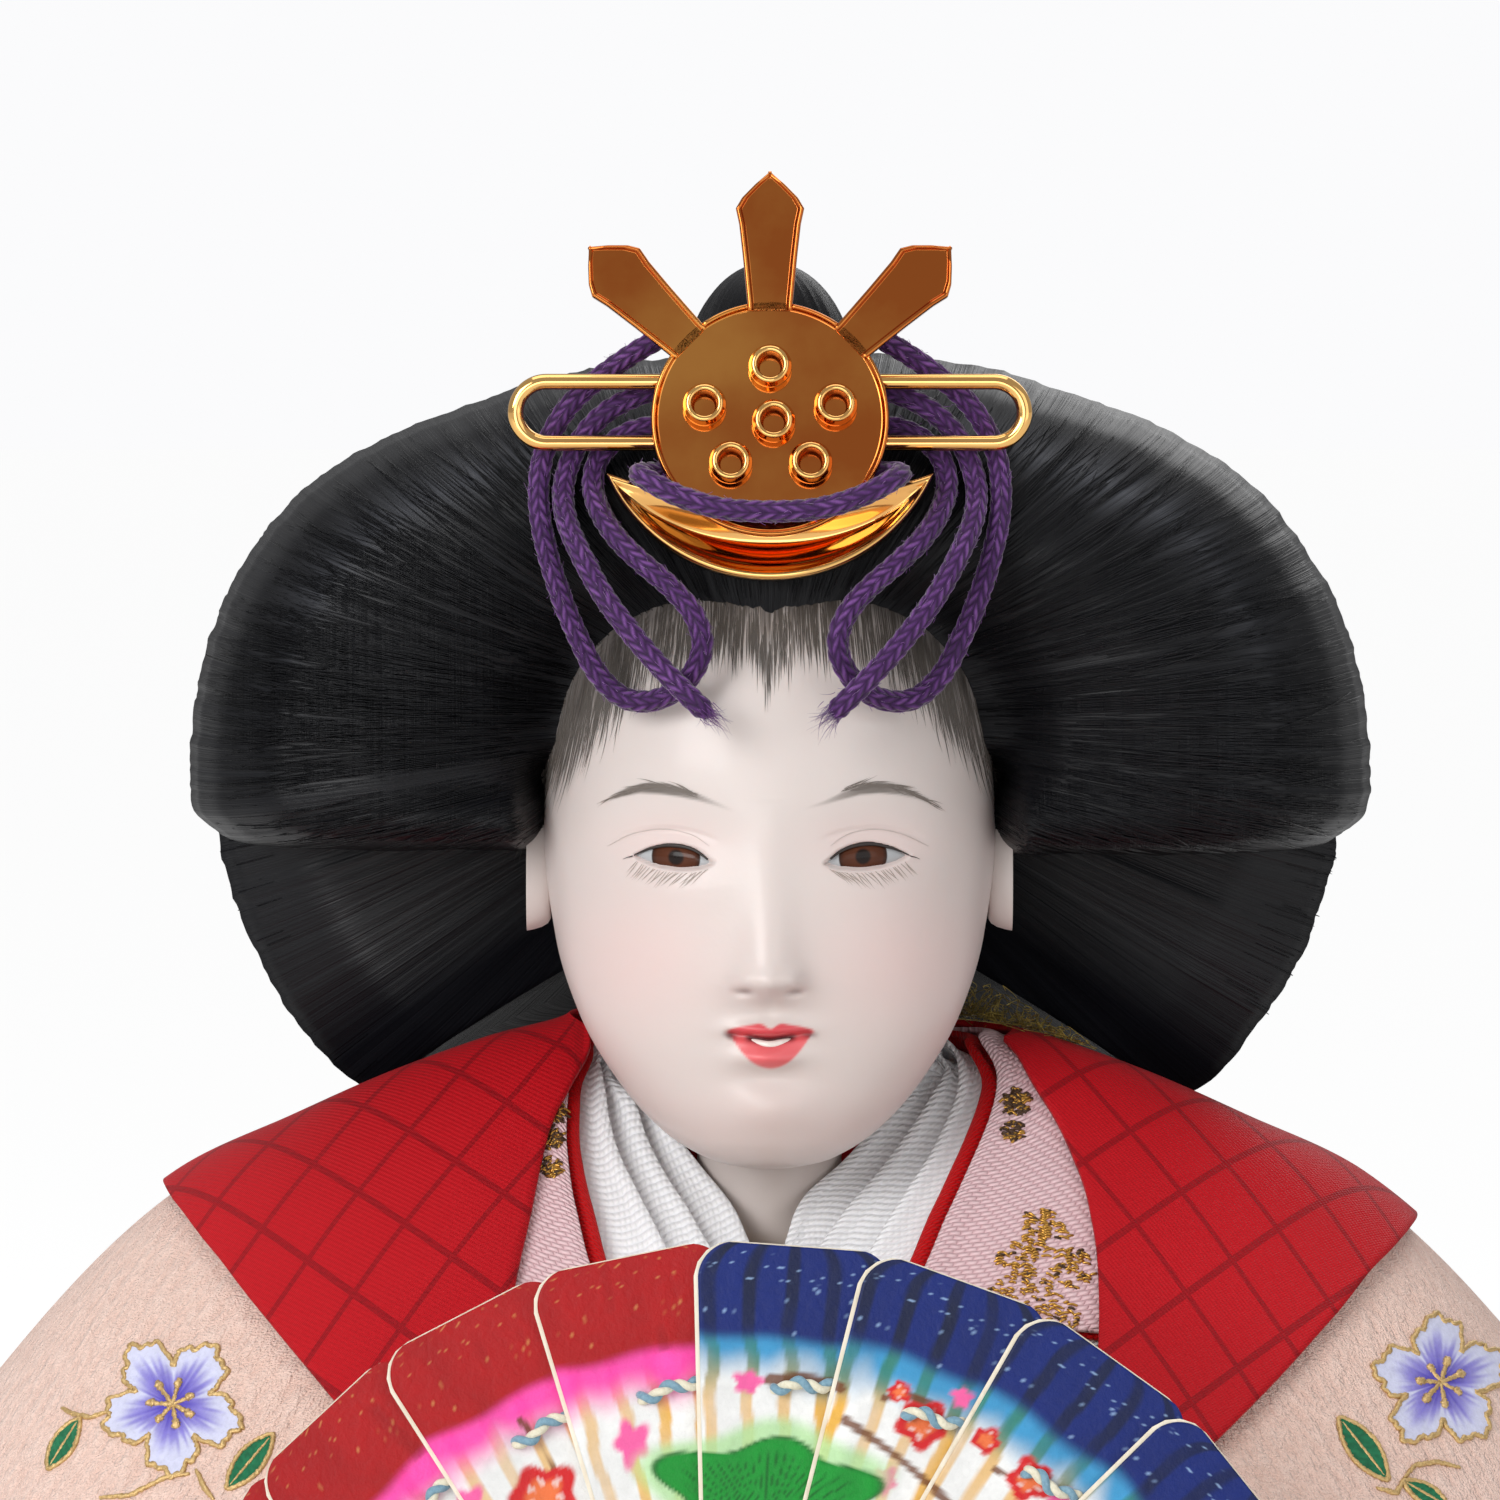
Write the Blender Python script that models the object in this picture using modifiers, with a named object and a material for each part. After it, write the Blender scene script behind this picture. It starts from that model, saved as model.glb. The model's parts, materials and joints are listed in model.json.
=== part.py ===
"""Hina doll: a seated court lady with a gilt crown, layered robes and a folding fan.

Lengths are in metres and angles in degrees. +Z is up, the doll looks along -Y, and +X is
on the viewer's right. The origin is the middle of the flat underside of the base board.
"""
import math

import bmesh
import bpy
import numpy as np
from mathutils import Matrix, Vector

# Clearances and sheet thicknesses
SEAT_GAP = 0.00032
CLOTH = 0.0005
LAYER_STEP = 0.00095
CUT_OVERRUN = 0.002
WELD_DISTANCE = 1e-7

# Robes
ROBE_HALF_WIDTH = 0.1180
ROBE_FRONT = 0.0820
ROBE_BACK = 0.1040
ROBE_TALL = 0.1500
NECK_SETBACK = 0.0046
FOLD_RISE = 0.0023
SLEEVE_LAYER = 1.3
BACK_LAYER = 2.3
LAP_LAYER = 6.8

# Head and neck: the chin sinks below the neck line of the robes
HEAD_WIDTH = 0.0324
HEAD_DEPTH = 0.0340
HEAD_HEIGHT = 0.0455
CHIN_SINK = 0.0110
CHIN_HEIGHT = ROBE_TALL - CHIN_SINK
NECK_RADIUS = 0.0052
NECK_LENGTH = 0.0080
NECK_BOTTOM = CHIN_HEIGHT - NECK_LENGTH
NOSE_RISE = 0.0023
LIP_RISE = 0.0007
EYE_HOLLOW = 0.0005
EYE_WIDTH = 0.0076
EYE_TALL = 0.0019
EYE_DEEP = 0.0026
EYE_SPACING = 0.0131
EYE_SINK = 0.00115
EAR_THICK = 0.0030
EAR_DEEP = 0.0052
EAR_TALL = 0.0088
STICK_RADIUS = 0.0024
STICK_GRIP = 0.0050
STICK_TOP = CHIN_HEIGHT + STICK_GRIP
STICK_REACH = 0.0330
STICK_BOTTOM = NECK_BOTTOM - STICK_REACH

# Hair
HAIR_DROP = 0.0145
HAIR_MIDDLE = CHIN_HEIGHT + HEAD_HEIGHT - HAIR_DROP
HAIR_TOP_SHARE = 0.805
HAIR_TOP = HAIR_MIDDLE + HEAD_WIDTH * HAIR_TOP_SHARE
FRONT_HAIR_BACK = 0.0080
BACK_HAIR_BACK = 0.0240
NAPE_RADIUS = 0.0150
NAPE_RISE = 0.0028
NAPE_TOP = ROBE_TALL + NAPE_RISE
NAPE_FLARE = 1.48
TAIL_WIDTH = 0.0135
TAIL_THICK = 0.0030
TOPKNOT_WIDTH = 0.0125
TOPKNOT_DEPTH = 0.0120
TOPKNOT_TALL = 0.0180
TOPKNOT_SINK = 0.0021
TOPKNOT_MIDDLE = HAIR_TOP - TOPKNOT_SINK
TIE_WRAP = 0.0005
TIE_TALL = 0.0060

# Crown: it stands at the top of the forehead, before the front hair
CROWN_DROP = 0.0111
CROWN_BASE = HAIR_TOP - CROWN_DROP
CROWN_LEAN = 12.0
PLATE_SHARE = 0.95
PLATE_FACE = HEAD_DEPTH / 2 * PLATE_SHARE
PLATE_THICK = 0.0006
DISC_RADIUS = 0.0083
DISC_RISE = 0.0073
BLADE_REACH = 0.0249
BLADE_WIDTH = 0.0048
SIDE_BLADE_ANGLE = 46.0
STUD_RADIUS = 0.00147
STUD_HOLE = 0.0009
STUD_TALL = 0.0017
STUD_FLOOR = 0.0003
COMB_HALF_WIDTH = 0.0114
COMB_TALL = 0.0075
COMB_THICK = 0.0024
COMB_RIM = 0.0011
COMB_DISH = 0.0008
COMB_BEHIND = 0.0013
COMB_FACE = PLATE_FACE - COMB_BEHIND
COMB_DIP = 0.0020
PIN_WIRE = 0.00055
PIN_REACH = 0.0178
PIN_START = 0.0070
PIN_TALL = 0.0043
PIN_RISE = 0.0003
PIN_HEIGHT = CROWN_BASE + DISC_RISE + PIN_RISE
PIN_BEHIND = 0.0035
PIN_PLANE = PLATE_FACE - PIN_BEHIND
STEM_RADIUS = 0.0007
STEM_LENGTH = 0.0070
STEM_SHARE = 0.7
CORD_RADIUS = 0.00075

# Inside
BOARD_THICK = 0.0050
BOARD_SHARE = 0.86
TORSO_GAP = 0.0010
TORSO_TOP = NECK_BOTTOM - TORSO_GAP
PAD_THICK = 0.0060
ARM_WIRE_RADIUS = 0.0009
ARM_PAD_RADIUS = 0.0048
ARM_PAD_WALL = 0.0034
HEM_STEP = 0.0011

# Fan
FAN_ASIDE = 0.0014
FAN_SETBACK = 0.0240
FAN_DROP = 0.0515
FAN_PIVOT = (-FAN_ASIDE, FAN_SETBACK - ROBE_FRONT, ROBE_TALL - FAN_DROP)
FAN_TILT = 8.0
FAN_TURN = -3.7
FAN_RADIUS = 0.0412
FAN_TAIL = 0.0042
BLADE_COUNT = 8
BLADE_PITCH = 15.7
FAN_BLADE_TOP = 0.0130
FAN_BLADE_ROOT = 0.0052
FAN_BLADE_THICK = 0.0004
FAN_STACK_STEP = 0.00075
RIVET_RADIUS = 0.00075
RIVET_HEAD = 0.0017
RIVET_HEAD_TALL = 0.0007
FINGER_RADIUS = 0.0010
HAND_OFFSET = 0.0050
FIRST_FINGER = 0.0017
PALM_DROP = 0.0006
PALM_SETBACK = 0.0008
HAND_CUP = 0.0030
PALM_SIZE = (0.0082, 0.0046, 0.0086)
WRIST_RADIUS = 0.0022
WRIST_ASIDE = 0.0130
WRIST_SETBACK = 0.0160
WRIST_DROP = 0.0100
FOREARM_ASIDE = 0.0042
FOREARM_BACK = 0.0055
FOREARM_DROP = 0.0011

# Each row: height share of the head, then half width, front and back as shares of half sizes
HEAD_SHARES = (
    (0.000, 0.10, 0.60, -0.50),
    (0.018, 0.27, 0.82, -0.36),
    (0.058, 0.46, 0.92, -0.20),
    (0.128, 0.65, 0.965, 0.00),
    (0.231, 0.83, 0.985, 0.22),
    (0.350, 0.944, 1.00, 0.62),
    (0.506, 1.000, 0.985, 0.95),
    (0.629, 0.985, 0.96, 1.00),
    (0.742, 0.930, 0.895, 0.98),
    (0.870, 0.720, 0.735, 0.86),
    (0.960, 0.420, 0.44, 0.60),
    (1.000, 0.080, 0.02, 0.16),
)
HEAD_RING_SHARES = (0, 0.02, 0.06, 0.11, 0.16, 0.2, 0.24, 0.28, 0.32, 0.38, 0.44,
                    0.5, 0.57, 0.66, 0.75, 0.85, 0.94, 1)
NOSE_TIP_SHARE = 0.297
NOSE_ROOT_SHARE = 0.60
LIP_SHARE = 0.218
LIP_TALL_SHARE = 0.035
EYE_SHARE = 0.490
EYE_HOLLOW_SHARE = 0.06
EYE_TURN_SHARE = 0.9
EAR_SHARE = 0.44

# Leaf of the crown: rise above the disc and half width, as shares; places of its six cups
LEAF_SHARES = ((0.0, 0.62), (0.32, 0.72), (0.58, 0.80), (0.72, 1.0), (0.86, 0.60), (1.0, 0.0))
STUD_SHARES = ((0.0, 0.43), (-0.55, 0.10), (0.55, 0.10), (0.03, -0.04), (-0.33, -0.39),
               (0.34, -0.39))

# Outline of the front hair, half of it, as shares of the head width from its middle
FRONT_HAIR_SHARES = (
    (-90.0, 0.290), (-60.0, 0.335), (-38.0, 0.471), (-24.0, 0.713), (-17.0, 0.992),
    (-12.5, 1.230), (-8.0, 1.300), (0.0, 1.285), (8.0, 1.262), (17.0, 1.215), (26.0, 1.155),
    (40.0, 1.020), (52.0, 0.925), (68.0, 0.850), (80.0, 0.812), (90.0, HAIR_TOP_SHARE),
)
BACK_HAIR_SHARES = (
    (-90.0, 0.800), (-70.0, 0.860), (-54.0, 1.090), (-47.0, 1.215), (-38.0, 1.262),
    (-27.0, 1.275), (-17.0, 1.275), (-5.0, 1.245), (8.0, 1.200), (20.0, 1.130),
    (35.0, 0.990), (52.0, 0.850), (70.0, 0.770), (90.0, 0.745),
)
HAIR_GROWN_SHARE = 0.025
HAIR_LEAN_SHARE = 0.018
# How far the front hair stands before its rim, over the radius, at the side and at the top
FRONT_SIDE_SHARES = ((0.0, 0.20), (0.36, 0.24), (0.50, 0.46), (0.66, 0.56), (0.82, 0.47),
                     (0.93, 0.20), (1.0, -0.20))
FRONT_TOP_SHARES = ((0.0, 0.62), (0.36, 0.735), (0.60, 0.69), (0.80, 0.54), (0.92, 0.26),
                    (1.0, -0.20))

# Rings of a hair wing as shares of its outline: face, flat face of the rear wing, and back
WING_FRONT_SHARES = (0.04, 0.36, 0.5, 0.62, 0.74, 0.84, 0.92, 0.97, 1.0)
WING_FLAT_SHARES = (0.04, 0.5, 0.84, 0.95, 1.0)
WING_BACK_SHARES = (0.97, 0.88, 0.7, 0.45, 0.04)
WING_RIM_SHARE = 0.18
# Places of the tail's rings and of its ties, from the neck to the floor
TAIL_SHARES = (0.0, 0.07, 0.14, 0.212, 0.278, 0.36, 0.472, 0.538, 0.62, 0.707, 0.773, 0.87, 0.97)
TIE_SHARES = (0.245, 0.505, 0.74)

# Robe profiles: place from neck to floor, then (reach share, height share)
SIDE_SHARES = (
    (-0.05, 0.113, 1.007), (0.0, 0.123, 0.991), (0.05, 0.174, 0.980), (0.10, 0.233, 0.964),
    (0.155, 0.292, 0.944), (0.22, 0.364, 0.917), (0.40, 0.534, 0.773), (0.60, 0.729, 0.547),
    (0.80, 0.890, 0.293), (0.93, 0.966, 0.107), (1.0, 1.0, 0.010),
)
FRONT_SHARES = (
    (-0.05, 0.082, 0.983), (0.0, 0.092, 0.967), (0.05, 0.106, 0.947), (0.10, 0.138, 0.927),
    (0.155, 0.194, 0.902), (0.22, 0.268, 0.867), (0.40, 0.537, 0.707), (0.60, 0.732, 0.467),
    (0.80, 0.866, 0.240), (0.93, 0.951, 0.080), (1.0, 1.0, 0.010),
)
BACK_SHARES = (
    (-0.05, 0.084, 1.010), (0.0, 0.094, 0.990), (0.05, 0.134, 0.963), (0.10, 0.165, 0.940),
    (0.155, 0.185, 0.913), (0.22, 0.205, 0.873), (0.40, 0.317, 0.707), (0.60, 0.481, 0.473),
    (0.80, 0.654, 0.220), (0.93, 0.817, 0.060), (1.0, 1.0, 0.011),
)
# Edges on the robe: place from neck to floor against the angle from the front
LAPEL_SHARES = ((0.0, 78.0), (0.05, 42.0), (0.10, 34.0), (0.155, 29.5), (0.22, 25.5),
                (0.30, 21.0), (0.35, 17.0), (0.40, 11.5), (0.5, 11.0))
JACKET_HEM_SHARES = ((0.0, 0.40), (14.0, 0.40), (24.0, 0.35), (37.0, 0.30), (52.0, 0.26),
                     (75.0, 0.222), (90.0, 0.212), (110.0, 0.23), (130.0, 0.30),
                     (150.0, 0.46), (165.0, 0.495), (180.0, 0.50))
SLEEVE_EDGE_SHARES = ((0.14, 84.0), (0.20, 62.0), (0.26, 38.0), (0.30, 26.0), (0.35, 16.0),
                      (0.42, 9.0), (0.50, 19.0), (0.60, 33.0), (0.80, 54.0), (1.0, 70.0))
# Inner and outer edge of the collars along half the neckline, from the nape to the front
COLLAR_INNER_SHARES = ((0.0, 180.0, -0.045), (0.35, 120.0, -0.040), (0.55, 76.0, -0.015),
                       (0.70, 40.0, 0.020), (0.80, 21.0, 0.058), (0.90, 9.0, 0.110),
                       (1.0, 0.9, 0.165))
COLLAR_OUTER_SHARES = ((0.0, 180.0, 0.045), (0.35, 125.0, 0.050), (0.55, 92.0, 0.055),
                       (0.70, 62.0, 0.072), (0.80, 41.0, 0.105), (0.90, 25.0, 0.155),
                       (1.0, 10.0, 0.215))

# Inner robe front: half width, depth and height shares down the chest and over the lap
ROBE_FRONT_SHARES = ((0.13, 0.207, 0.847), (0.17, 0.256, 0.76), (0.20, 0.305, 0.68),
                     (0.235, 0.335, 0.605), (0.285, 0.385, 0.545), (0.33, 0.48, 0.512),
                     (0.37, 0.585, 0.485))
LAP_SHARES = (0.62, 0.66, 0.70)
HEM_SHARES = (0.905, 0.96, 1.0)
HEM_SPREAD_SHARE = 0.035

# Torso: height, half width and half depth as shares
TORSO_SHARES = ((0.0, 1.0, 1.0), (0.28, 0.88, 0.84), (0.6, 0.70, 0.62), (0.80, 0.72, 0.55),
                (0.93, 0.76, 0.44), (1.0, 0.50, 0.30))
# Middle line of the right arm from shoulder to wrist: shares of robe half width, front, height
ARM_SHARES = (
    (0.2627, 0.0549, 0.8167), (0.3263, 0.0183, 0.7900),
    (0.3771, -0.0732, 0.7333), (0.3559, -0.2073, 0.6700),
    (0.2797, -0.3110, 0.6167), (0.1992, -0.3841, 0.5867),
)

# Cords: routes chosen by hand on the viewer's left and across the comb
LOOP_ROUTE = (
    (-0.0068, -0.0108, 0.1982), (-0.0092, -0.0107, 0.1969), (-0.0118, -0.01065, 0.1951),
    (-0.0139, -0.01065, 0.1932), (-0.0153, -0.01065, 0.1911), (-0.0161, -0.0108, 0.1887),
    (-0.0162, -0.0113, 0.1858), (-0.0156, -0.0120, 0.1827), (-0.0146, -0.0127, 0.1796),
    (-0.0134, -0.0132, 0.1768), (-0.0121, -0.0137, 0.1744), (-0.0104, -0.0144, 0.1728),
    (-0.0085, -0.0152, 0.1725), (-0.0066, -0.0162, 0.1733), (-0.0052, -0.0170, 0.1749),
    (-0.0047, -0.0173, 0.1768), (-0.0054, -0.0171, 0.1788), (-0.0070, -0.0165, 0.1806),
    (-0.0089, -0.0158, 0.1822), (-0.0106, -0.0149, 0.1838), (-0.0118, -0.0134, 0.1855),
    (-0.0124, -0.0118, 0.1872), (-0.0122, -0.0108, 0.1889), (-0.0113, -0.01065, 0.1902),
    (-0.0097, -0.0107, 0.1912), (-0.0076, -0.0108, 0.1917),
)
FRONT_ROUTE = (
    (-0.0042, -0.0196, 0.1718), (-0.0056, -0.0194, 0.1731), (-0.0077, -0.0187, 0.1752),
    (-0.0098, -0.0178, 0.1776), (-0.0116, -0.0168, 0.1800), (-0.0131, -0.0154, 0.1826),
    (-0.0142, -0.0134, 0.1850), (-0.0145, -0.0117, 0.1870), (-0.0141, -0.0108, 0.1889),
    (-0.0133, -0.01065, 0.1906), (-0.0118, -0.01065, 0.1923), (-0.0098, -0.0107, 0.1935),
    (-0.0074, -0.0108, 0.1941), (-0.0056, -0.0112, 0.1928), (-0.0050, -0.0119, 0.1906),
    (-0.0054, -0.0127, 0.1890), (-0.0067, -0.0133, 0.1884), (-0.0082, -0.0142, 0.1884),
    (-0.0091, -0.0157, 0.1884), (-0.0083, -0.0171, 0.1879), (-0.0065, -0.0177, 0.1870),
    (-0.0040, -0.0180, 0.1862), (-0.0016, -0.0181, 0.1859),
)


def remove_old_objects():
    """Empty the scene of whatever it starts with."""
    for item in list(bpy.data.objects):
        bpy.data.objects.remove(item, do_unlink=True)


def new_collection(name):
    group = bpy.data.collections.new(name)
    bpy.context.scene.collection.children.link(group)
    return group


def finish(name, colour, roughness=0.6, metallic=0.0):
    """A plain material with the piece's own colour."""
    material = bpy.data.materials.new(name)
    material.use_nodes = True
    shader = material.node_tree.nodes["Principled BSDF"]
    shader.inputs["Base Color"].default_value = (*colour, 1.0)
    shader.inputs["Roughness"].default_value = roughness
    shader.inputs["Metallic"].default_value = metallic
    return material


def smooth_through(table_share, at):
    """Values at the places `at` of a smooth curve through (place, value) pairs.

    Cubic pieces whose slope at each pair is the harmonic mean of the slopes beside it, so
    the curve never overshoots its points.
    """
    place, value = np.array(table_share, float).T
    step = np.diff(place)
    slope = np.diff(value) / step
    product = slope[:-1] * slope[1:]
    total = np.where(product > 0, slope[:-1] + slope[1:], 1.0)
    inner = np.where(product > 0, 2 * product / total, 0.0)
    tangent = np.concatenate(([slope[0]], inner, [slope[-1]]))
    index = np.clip(np.searchsorted(place, at, side="right") - 1, 0, len(step) - 1)
    t = (at - place[index]) / step[index]
    rise = value[index + 1] - value[index]
    start = tangent[index] * step[index]
    end = tangent[index + 1] * step[index]
    cubic = start + end - 2 * rise
    square = 3 * rise - 2 * start - end
    return value[index] + t * (start + t * (square + t * cubic))


def column(table_share, number):
    """Pairs of the first column and the one asked for."""
    return [(row[0], row[number]) for row in table_share]


def add_piece(name, mesh, material, collection):
    piece = bpy.data.objects.new(name, mesh)
    collection.objects.link(piece)
    if material:
        mesh.materials.append(material)
    return piece


def smooth_shading(mesh, angle=40.0):
    mesh.shade_smooth()
    mesh.set_sharp_from_angle(angle=math.radians(angle))


def grid_mesh(name, grid):
    """An open surface from rows of points, faces wound for outward normals."""
    rows, columns = grid.shape[:2]
    mesh = bpy.data.meshes.new(name)
    index = np.arange(rows * columns).reshape(rows, columns)
    quads = np.stack([index[:-1, :-1], index[:-1, 1:], index[1:, 1:], index[1:, :-1]], -1)
    mesh.from_pydata(grid.reshape(-1, 3).tolist(), [], quads.reshape(-1, 4).tolist())
    mesh.validate()
    return mesh


def loft_mesh(name, rings):
    """A closed body through rings of points, with flat caps on the first and last ring."""
    body = bmesh.new()
    layers = [[body.verts.new(point) for point in ring] for ring in rings]
    count = len(layers[0])
    for low, high in zip(layers[:-1], layers[1:]):
        for i in range(count):
            j = (i + 1) % count
            body.faces.new((low[i], low[j], high[j], high[i]))
    body.faces.new(layers[0][::-1])
    body.faces.new(layers[-1])
    bmesh.ops.recalc_face_normals(body, faces=body.faces)
    mesh = bpy.data.meshes.new(name)
    body.to_mesh(mesh)
    body.free()
    smooth_shading(mesh)
    return mesh


def cloth_piece(name, grid, thickness, material, collection):
    """A sheet of cloth: an open surface with its thickness behind it."""
    mesh = grid_mesh(name, grid)
    smooth_shading(mesh, 60.0)
    piece = add_piece(name, mesh, material, collection)
    shell = piece.modifiers.new("thickness", "SOLIDIFY")
    shell.thickness = thickness
    shell.offset = -1.0
    return piece


def combine(piece, other, operation):
    """Boolean of a piece with another object, kept live."""
    step = piece.modifiers.new(operation.lower(), "BOOLEAN")
    step.operation = operation
    step.solver = "EXACT"
    step.object = other


def as_tool(item):
    """Mark an object as a cutter or joined shape, which is no piece by itself."""
    item.hide_render = True
    item.display_type = "WIRE"
    return item


def curve_tube(name, route, radius, material, collection, resolution=2, tapers=None):
    """A round bar along straight steps between the route's points, with flat ends."""
    curve = bpy.data.curves.new(name, "CURVE")
    curve.dimensions = "3D"
    curve.bevel_depth = radius
    curve.bevel_resolution = resolution
    curve.use_fill_caps = True
    line = curve.splines.new("POLY")
    line.points.add(len(route) - 1)
    for i, point in enumerate(route):
        line.points[i].co = (*point, 1.0)
        if tapers is not None:
            line.points[i].radius = tapers[i]
    return add_piece(name, curve, material, collection)


def smooth_route(route, spacing):
    """Points at even spacing on a smooth curve through the route's own points."""
    points = np.array(route)
    length = np.concatenate(([0.0], np.cumsum(np.linalg.norm(np.diff(points, axis=0), axis=1))))
    count = max(2, round(length[-1] / spacing) + 1)
    at = np.linspace(0, length[-1], count)
    padded = np.vstack([2 * points[0] - points[1], points, 2 * points[-1] - points[-2]])
    index = np.clip(np.searchsorted(length, at, side="right") - 1, 0, len(points) - 2)
    t = ((at - length[index]) / (length[index + 1] - length[index]))[:, None]
    a, b, c, d = (padded[index + k] for k in range(4))
    return 0.5 * (2 * b + (c - a) * t + (2 * a - 5 * b + 4 * c - d) * t**2
                  + (3 * b - a - 3 * c + d) * t**3)


def mesh_from_curve(piece, collection):
    """Replace a curve object by its mesh, with the loose caps welded on."""
    graph = bpy.context.evaluated_depsgraph_get()
    graph.update()
    mesh = bpy.data.meshes.new_from_object(piece.evaluated_get(graph))
    body = bmesh.new()
    body.from_mesh(mesh)
    bmesh.ops.remove_doubles(body, verts=body.verts, dist=WELD_DISTANCE)
    bmesh.ops.recalc_face_normals(body, faces=body.faces)
    body.to_mesh(mesh)
    body.free()
    name = piece.name
    place = piece.matrix_world.copy()
    bpy.data.objects.remove(piece, do_unlink=True)
    item = bpy.data.objects.new(name, mesh)
    item.matrix_world = place
    collection.objects.link(item)
    return item


def primitive_solid(name, collection, material, make, place):
    """A primitive made by one bmesh call and set in its place."""
    body = bmesh.new()
    make(body)
    bmesh.ops.transform(body, matrix=place, verts=body.verts)
    mesh = bpy.data.meshes.new(name)
    body.to_mesh(mesh)
    body.free()
    smooth_shading(mesh)
    return add_piece(name, mesh, material, collection)


def ball(name, size, middle, collection, material=None, segments=20, rings=12, turn=0.0):
    """An ellipsoid with the given full sizes, turned about its upright axis."""
    place = (Matrix.Translation(middle) @ Matrix.Rotation(turn, 4, "Z")
             @ Matrix.Diagonal((*[s / 2 for s in size], 1.0)))
    return primitive_solid(
        name, collection, material,
        lambda body: bmesh.ops.create_uvsphere(
            body, u_segments=segments, v_segments=rings, radius=1.0),
        place)


def rod(name, radius, low, high, collection, material=None, segments=20, top_radius=None):
    """A round bar or cone between two points."""
    low, high = Vector(low), Vector(high)
    span = high - low
    turn = span.to_track_quat("Z", "Y").to_matrix().to_4x4()
    place = Matrix.Translation((low + high) / 2) @ turn
    return primitive_solid(
        name, collection, material,
        lambda body: bmesh.ops.create_cone(
            body, cap_ends=True, segments=segments, radius1=radius,
            radius2=radius if top_radius is None else top_radius, depth=span.length),
        place)


# Head

def face_relief(x, height_share):
    """How far nose, lips and eye hollows stand before the plain egg of the head."""
    along = np.clip((NOSE_ROOT_SHARE - height_share) / (NOSE_ROOT_SHARE - NOSE_TIP_SHARE), 0, 1)
    under = np.clip((height_share - LIP_SHARE) / (NOSE_TIP_SHARE - LIP_SHARE), 0, 1)
    wing = NOSE_RISE * (0.45 + 0.65 * along)
    nose = NOSE_RISE * along**1.6 * under**2 * np.exp(-((x / wing) ** 2))
    below = (height_share - LIP_SHARE) / LIP_TALL_SHARE
    lips = LIP_RISE * np.exp(-((x / (HEAD_WIDTH / 11)) ** 2) - below**2)
    beside = (np.abs(x) - EYE_SPACING / 2) / (HEAD_WIDTH / 8)
    above = (height_share - EYE_SHARE) / EYE_HOLLOW_SHARE
    hollow = EYE_HOLLOW * np.exp(-beside**2 - above**2)
    return nose + lips - hollow


def head_point(around, share, clearance=0.0):
    """Point of the head's egg: an ellipse in plan whose size follows the height."""
    wide = smooth_through(column(HEAD_SHARES, 1), share) * HEAD_WIDTH / 2 + clearance
    front = smooth_through(column(HEAD_SHARES, 2), share) * HEAD_DEPTH / 2 + clearance
    back = smooth_through(column(HEAD_SHARES, 3), share) * HEAD_DEPTH / 2 + clearance
    x = wide * np.sin(around)
    y = (back - front) / 2 - (front + back) / 2 * np.cos(around)
    z = CHIN_HEIGHT + share * HEAD_HEIGHT + clearance * (2 * share - 1)
    y = y - face_relief(x, share) * (np.cos(around) > 0)
    return np.stack([x, y, z * np.ones_like(x)], -1)


def head_form(name, clearance, collection, material=None):
    """Egg of the head with its ears and neck, grown by a clearance."""
    turns = np.linspace(-1, 1, 25)[:-1]
    around = math.pi * turns * (0.55 + 0.45 * np.abs(turns))
    rings = [head_point(around, share, clearance) for share in HEAD_RING_SHARES]
    head = add_piece(name, loft_mesh(name, rings), material, collection)
    ear_height = CHIN_HEIGHT + HEAD_HEIGHT * EAR_SHARE
    for side, label in ((-1, "left"), (1, "right")):
        size = (EAR_THICK + 2 * clearance, EAR_DEEP + 2 * clearance, EAR_TALL + 2 * clearance)
        middle = (side * (HEAD_WIDTH / 2 + EAR_THICK * 0.14), 0, ear_height)
        ear = ball(f"{name}_ear_{label}", size, middle, tools, segments=10, rings=6)
        combine(head, as_tool(ear), "UNION")
    neck = rod(f"{name}_neck", NECK_RADIUS + clearance, (0, 0, NECK_BOTTOM - clearance),
               (0, 0, CHIN_HEIGHT + HEAD_HEIGHT / 3), tools, segments=16)
    combine(head, as_tool(neck), "UNION")
    return head


def eye_seat(side):
    """Centre of a glass eye, sunk behind the skin, and its turn to lie along the face."""
    wide = smooth_through(column(HEAD_SHARES, 1), EYE_SHARE) * HEAD_WIDTH / 2
    around = math.asin(EYE_SPACING / 2 / wide)
    point = head_point(np.array([side * around]), EYE_SHARE)[0]
    turn = side * around * EYE_TURN_SHARE
    middle = (point[0] - EYE_SINK * math.sin(turn), point[1] + EYE_SINK * math.cos(turn), point[2])
    return middle, turn


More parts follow.
